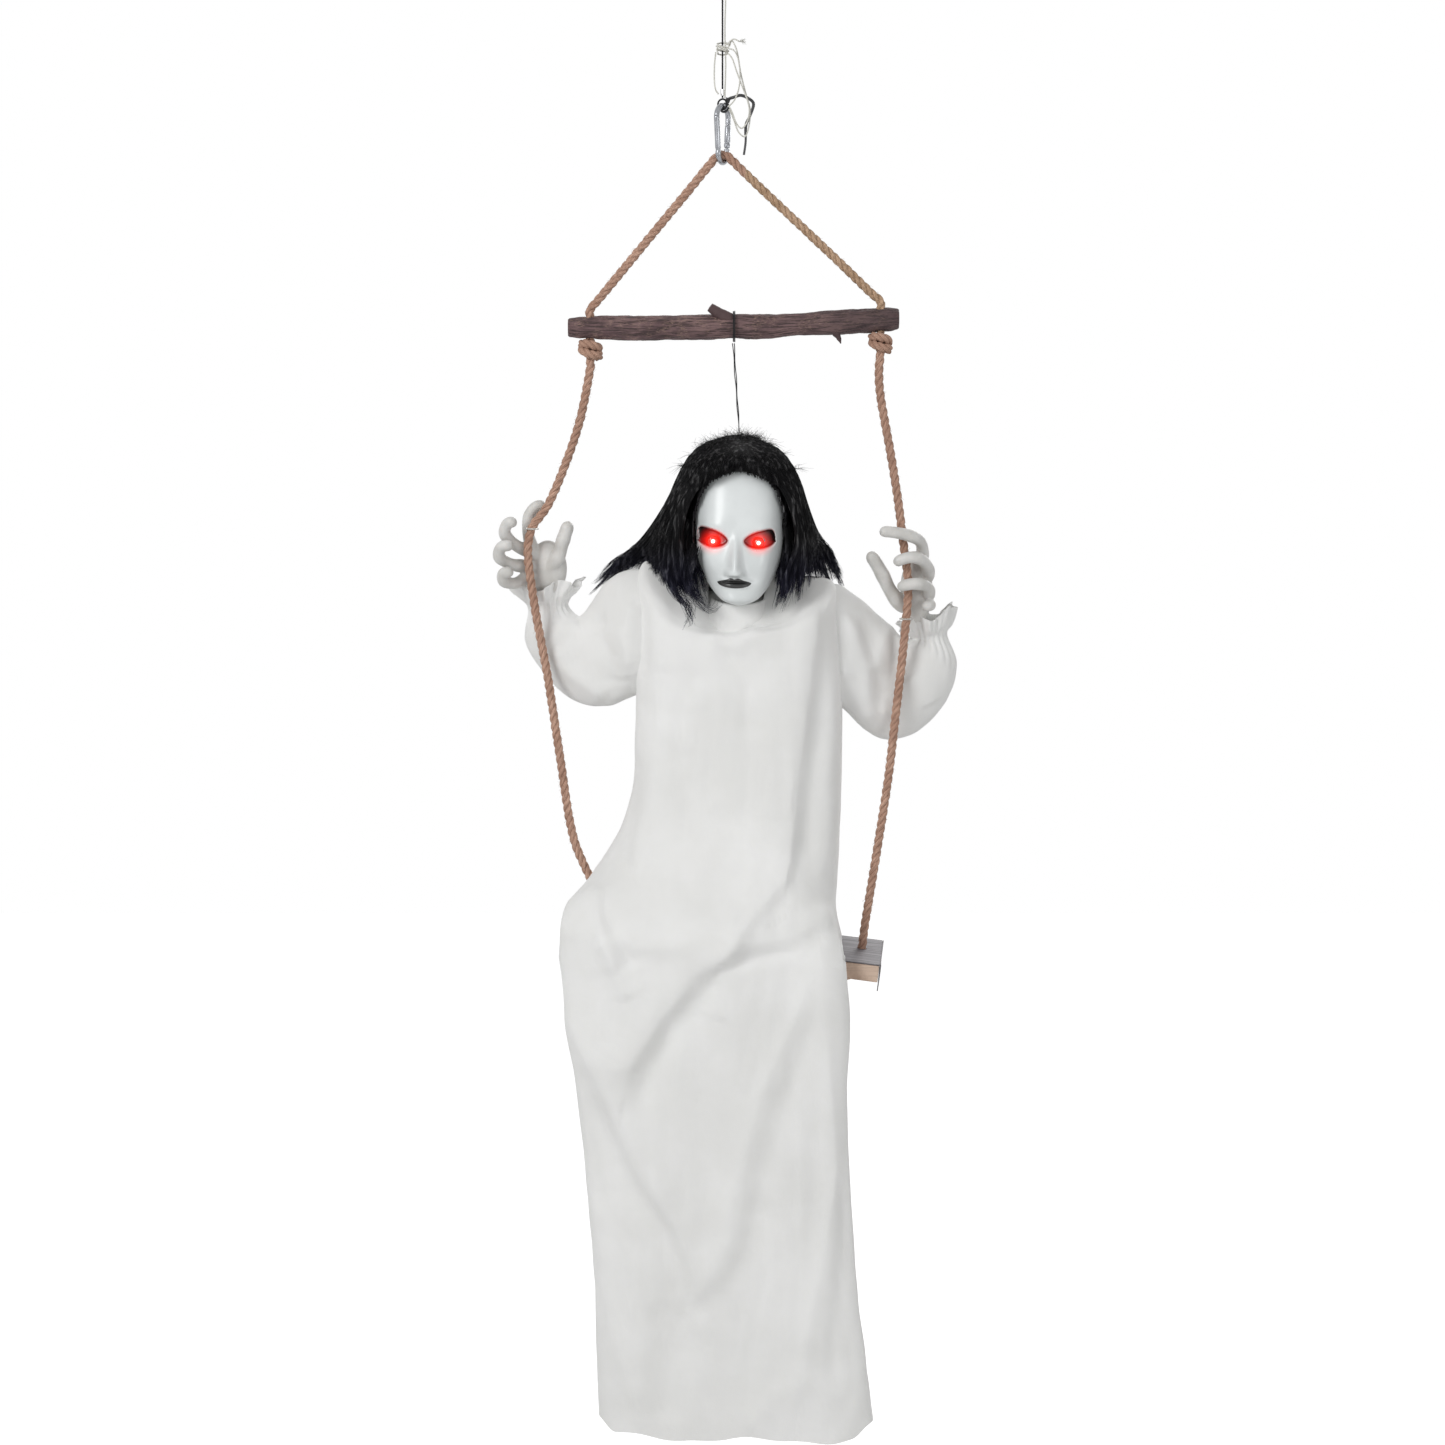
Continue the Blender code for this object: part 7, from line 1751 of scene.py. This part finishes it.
def parting_routes(chance, side, count):
    """Strands that lie on the cap from the crown over the forehead's top and turn aside at the face."""
    routes, radii = [], []
    for number in range(count):
        lean = chance.random()
        own = chance.random() * 80
        aside = (0.62 * (1 - lean) + 0.16) * chance.uniform(0.05, 1.0)
        start = -pi / 2 + side * pi * 0.46 * (lean - 0.08)
        last = 0.16 + 0.2 * lean
        crown = Vector((0.0255 + 0.01 * side * lean, -0.004, -0.6435))
        lift = 0.0115 + chance.uniform(0.0, 0.0055)
        route = []
        for step in range(12):
            u = step / 11
            turn = start + side * aside * u * u
            point = head_point(turn, 0.006 + (last - 0.006) * u, lift + 0.002 * rough_at(own, u * 4, 2))
            point = crown.lerp(point, smooth_step(-0.12, 0.42, u))
            route.append(point + Vector((0.002 * rough_at(own, u * 5, 8), 0, 0)))
        routes.append(route)
        radii.append([1.0 - 0.4 * (step / 11) ** 3 for step in range(12)])
    return routes, radii


def wisp_routes(chance, starts, count, reach, rise):
    """Loose short hairs that spring off the crown."""
    routes, radii = [], []
    for number in range(count):
        base = Vector(chance.choice(starts)) + Vector((chance.gauss(0, 0.006), chance.gauss(0, 0.01), 0))
        way = Vector((chance.uniform(-1, 1), chance.uniform(-0.7, 0.5), chance.uniform(0.1, 1.0)
                * rise)).normalized()
        bend = Vector((chance.uniform(-1, 1), chance.uniform(-1, 1), chance.uniform(-1.6, 0.2)))
        length = reach * chance.uniform(0.4, 1.0)
        route = []
        for step in range(9):
            u = step / 8
            route.append(base + way * (length * u) + bend * (length * 0.55 * u * u))
        routes.append(route)
        radii.append([0.8 - 0.6 * step / 8 for step in range(9)])
    return routes, radii


def curl_routes(chance, spine, count, spread, coil):
    """Strands that follow one spine and curl about it."""
    line = even_route(smooth_route(spine, 0.002), 0.004)
    routes, radii = [], []
    for number in range(count):
        phase, own = chance.uniform(0, tau), chance.random() * 60
        shift = Vector((chance.gauss(0, spread), chance.gauss(0, spread * 0.6),
                chance.gauss(0, spread * 0.6)))
        stop = int(len(line) * chance.uniform(0.72, 1.0))
        route = []
        for place, point in enumerate(line[:max(4, stop)]):
            u = place / (len(line) - 1)
            turn = phase + u * 9.0
            curl = Vector((cos(turn), 0.5 * sin(turn), sin(turn))) * (coil * u)
            loose = Vector((rough_at(own, u * 6, 1), 0, rough_at(own, u * 6, 5))) * 0.006 * u
            route.append(point + shift * (1 - 0.35 * u) + curl + loose)
        routes.append(route)
        radii.append([0.85 - 0.55 * place / (len(route) - 1) for place in range(len(route))])
    return routes, radii


def hair_finish():
    """Black synthetic hair: dark streaks, hard sheen, bluish towards the tips."""
    material, tree, shader = new_finish("wig_black_hair", (0.01, 0.01, 0.011), 0.42)
    place = coordinates(tree)
    streak = noise_node(tree, stretched(tree, place, (1.0, 1.0, 0.12)), 220.0, 2.0)
    height = node(tree, "SeparateXYZ", {0: place}).outputs[2]
    low = stepped(tree, height, -0.775, -0.85)
    dark = mixed(tree, low, (0.0035, 0.0035, 0.004, 1), (0.006, 0.006, 0.014, 1))
    pale = mixed(tree, low, (0.012, 0.0115, 0.0125, 1), (0.026, 0.026, 0.052, 1))
    shader_input(tree, shader, "Base Color", mixed(tree, stepped(tree, streak.outputs[0], 0.45, 0.68),
            dark, pale))
    sheen = math_node(tree, "MULTIPLY", stepped(tree, streak.outputs[0], 0.52, 0.74), 0.75)
    shader_input(tree, shader, "Specular IOR Level", math_node(tree, "ADD", sheen, 0.08))
    return material


def add_hair():
    """The wig: a woven cap and locks of strands, with the falls' ends resting on the gown."""
    hair = hair_finish()
    chance = random.Random(11)

    def cap_point(around, along):
        angle = tau * around
        point = head_point(angle, min(0.8, along * 0.8), 0.0085 + 0.004
                * rough_at(around * 40, along * 5, 0))
        return point

    cap = swept("wig_cap", 120, 90, cap_point, hair, capped=True)
    bm = bmesh.new()
    bm.from_mesh(cap.data)
    gone = [face for face in bm.faces if in_face_opening(face.calc_center_median())]
    bmesh.ops.delete(bm, geom=gone, context="FACES")
    bm.to_mesh(cap.data)
    bm.free()
    thicken(cap, 0.002)
    pieces = [cap]
    for side, word in ((-1, "left"), (1, "right")):
        front = lock_routes(chance, side, 0.02, 1.0, 34, 30)
        under = lock_routes(chance, side, 0.05, 1.0, 22, 22, (0.8, 0.96))
        pieces.append(hair_piece(f"{word}_fall", front, under, hair, 0.00048))
        rear = lock_routes(chance, side, 1.0, 1.98, 30, 28, (0.84, 1.0))
        pieces.append(hair_piece(f"{word}_back_fall", rear, None, hair, 0.00052))
        cheek = lock_routes(chance, side, 0.0, 0.34, 12, 34, (0.84, 0.99), 0.3, 0.035, 0.006)
        pieces.append(hair_piece(f"{word}_cheek_fall", cheek, parting_routes(chance, side, 760), hair,
                0.00046))
        nape = lock_routes(chance, side, 0.05, 0.9, 22, 28, (0.88, 1.0), 0.5, 0.06, 0.004, 0.03)
        under = lock_routes(chance, side, 0.02, 0.8, 18, 26, (0.8, 0.93), 0.46, 0.06, 0.004, 0.052)
        pieces.append(hair_piece(f"{word}_nape_fall", nape, under, hair, 0.0005))
    tips = lock_routes(chance, -1, 0.78, 1.0, 9, 26, (0.98, 1.1), 0.42, 0.05, 0.01)
    more = lock_routes(chance, 1, 0.7, 1.0, 8, 24, (0.96, 1.06), 0.42, 0.05, 0.008)
    pieces.append(hair_piece("stray_tips", tips, more, hair, 0.0003))
    crown = ((0.004, 0.0, -0.652), (0.02, 0.005, -0.647), (0.036, 0.0, -0.648), (-0.014, 0.0, -0.658),
            (0.05, 0.0, -0.656))
    wisps = wisp_routes(chance, crown, 1500, 0.021, 0.8)
    flat = wisp_routes(chance, ((-0.03, 0.0, -0.67), (-0.046, 0.0, -0.684), (0.09, 0.0, -0.688),
            (0.07, 0, -0.668)), 240, 0.02, 0.3)
    pieces.append(hair_piece("crown_wisps", wisps, flat, hair, 0.0003))
    curl = curl_routes(chance, ((-0.07, -0.06, -0.8), (-0.072, -0.072, -0.828), (-0.06, -0.078, -0.85),
            (-0.046, -0.084, -0.866), (-0.042, -0.088, -0.884),
            (-0.049, -0.088, -0.894)), 70, 0.0035, 0.004)
    second = curl_routes(chance, ((-0.036, -0.07, -0.79), (-0.046, -0.078, -0.83), (-0.03, -0.084, -0.858),
            (-0.016, -0.086, -0.868), (-0.006, -0.084, -0.862)), 60, 0.004, 0.005)
    pieces.append(hair_piece("chest_curls", curl, second, hair, 0.00036))
    for piece in pieces:
        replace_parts(piece, "wig")
        if piece.name in ("wig_cap", "crown_wisps"):
            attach(piece, "head")
        else:
            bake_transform(piece)


def hair_piece(name, first, second, hair, radius):
    """One mesh of strands from one or two sets of routes."""
    routes, radii = list(first[0]), list(first[1])
    if second:
        routes += second[0]
        radii += second[1]
    return tubes(name, routes, radius, hair, 0, radii)


def in_face_opening(place):
    """Whether a place lies in the oval at the front that the wig leaves open."""
    across, up = (place.x - 0.0225) / 0.0625, (place.z + 0.776) / 0.087
    return place.y < -0.012 and (abs(across) ** 2.3 + abs(up) ** 2.3 < 1 or up < -0.6 and abs(across) < 0.8)


add_hair()


# Pieces carried over from the CAD model
def clear_tie_finish():
    """Clear nylon tie: see-through, with a faint yellow cast and fine teeth across it."""
    material, tree, shader = new_finish("clear_nylon", (0.86, 0.86, 0.82), 0.22, Transmission_Weight=0.6)
    teeth = node(tree, "TexWave", {"Vector": coordinates(tree), "Scale": 420.0, "Distortion": 0.4})
    cloud = clouds(tree, coordinates(tree), 120.0, 0.3, (0.78, 0.78, 0.73), (0.9, 0.9, 0.87))
    shader_input(tree, shader, "Base Color", cloud["Color"])
    raised(tree, shader, teeth.outputs[1], 0.0002, 0.5)
    return material


def circuit_finish():
    """Green board lacquer with copper tracks and pads under it."""
    material, tree, shader = new_finish("circuit_lacquer", (0.03, 0.2, 0.09), 0.35)
    place = stretched(tree, coordinates(tree), (1.0, 1.0, 1.0), (radians(90), 0, 0))
    tracks = node(tree, "TexBrick", {"Vector": place, "Scale": 60.0, "Mortar Size": 0.03,
            "Color1": (0.03, 0.2, 0.09, 1), "Color2": (0.025, 0.17, 0.08, 1),
            "Mortar": (0.1, 0.34, 0.13, 1)})
    pads = node(tree, "TexVoronoi", {"Vector": place, "Scale": 160.0})
    dots = stepped(tree, pads.outputs[0], 0.16, 0.12)
    shader_input(tree, shader, "Base Color", mixed(tree, dots, tracks.outputs[0], (0.62, 0.5, 0.3, 1)))
    raised(tree, shader, tracks.outputs[1], 0.0001, 0.4)
    return material


def cell_finish():
    """Printed battery sleeve: dark green film with a bare metal band at each end."""
    material, tree, shader = new_finish("cell_film", (0.02, 0.1, 0.06), 0.3)
    place = coordinates(tree)
    cloud = clouds(tree, place, 70.0, 0.2, (0.016, 0.085, 0.05), (0.03, 0.14, 0.08))
    bands = node(tree, "TexWave", {"Vector": place, "Scale": 18.0}, bands_direction="Z")
    silver = stepped(tree, bands.outputs[1], 0.88, 0.93)
    shader_input(tree, shader, "Base Color", mixed(tree, silver, cloud["Color"], (0.55, 0.55, 0.56, 1)))
    shader_input(tree, shader, "Metallic", silver)
    raised(tree, shader, cloud["Share"], 0.00005, 0.3)
    return material


def dress_carried_nodes():
    """Gives each CAD piece that stays its finish, and breaks its sharp edges."""
    shell = plastic_finish("blown_shell_white", (0.7, 0.7, 0.68), 0.46, 40.0, 0.0001)
    grey = plastic_finish("battery_box_grey", (0.26, 0.27, 0.28), 0.42)
    black = plastic_finish("switch_black", (0.03, 0.03, 0.032), 0.4, 90.0)
    nylon = plastic_finish("gear_nylon", (0.74, 0.73, 0.67), 0.36, 80.0)
    steel = metal_finish("shaft_steel", (0.5, 0.5, 0.5), 0.26)
    for material, names in (
        (ZINC, ("ceiling_plate", "plate_screw_left", "plate_screw_right", "ceiling_hook")),
        (steel, ("ferrule_upper", "ferrule_lower", "cross_shaft", "leg_motor")),
        (shell, ("torso_front", "torso_back", "neck_post", "skull_back", "left_arm", "right_arm",
            "left_shin", "right_shin", "kick_bar")),
        (grey, ("battery_box", "battery_door", "drive_base", "drive_cover", "eye_light_unit")),
        (black, ("mode_switch", "speaker")),
        (nylon, ("pinion", "sector_gear")),
        (circuit_finish(), ("control_board",)),
        (cell_finish(), ("battery_cell_1", "battery_cell_2", "battery_cell_3")),
        (clear_tie_finish(), ("left_tie", "right_tie")),
    ):
        for name in names:
            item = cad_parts[name]
            item.data.materials.clear()
            item.data.materials.append(material)
            edge = item.modifiers.new("soft_edges", "BEVEL")
            edge.width, edge.segments = 0.0003, 2
            edge.limit_method, edge.angle_limit = "ANGLE", radians(50)


dress_carried_nodes()
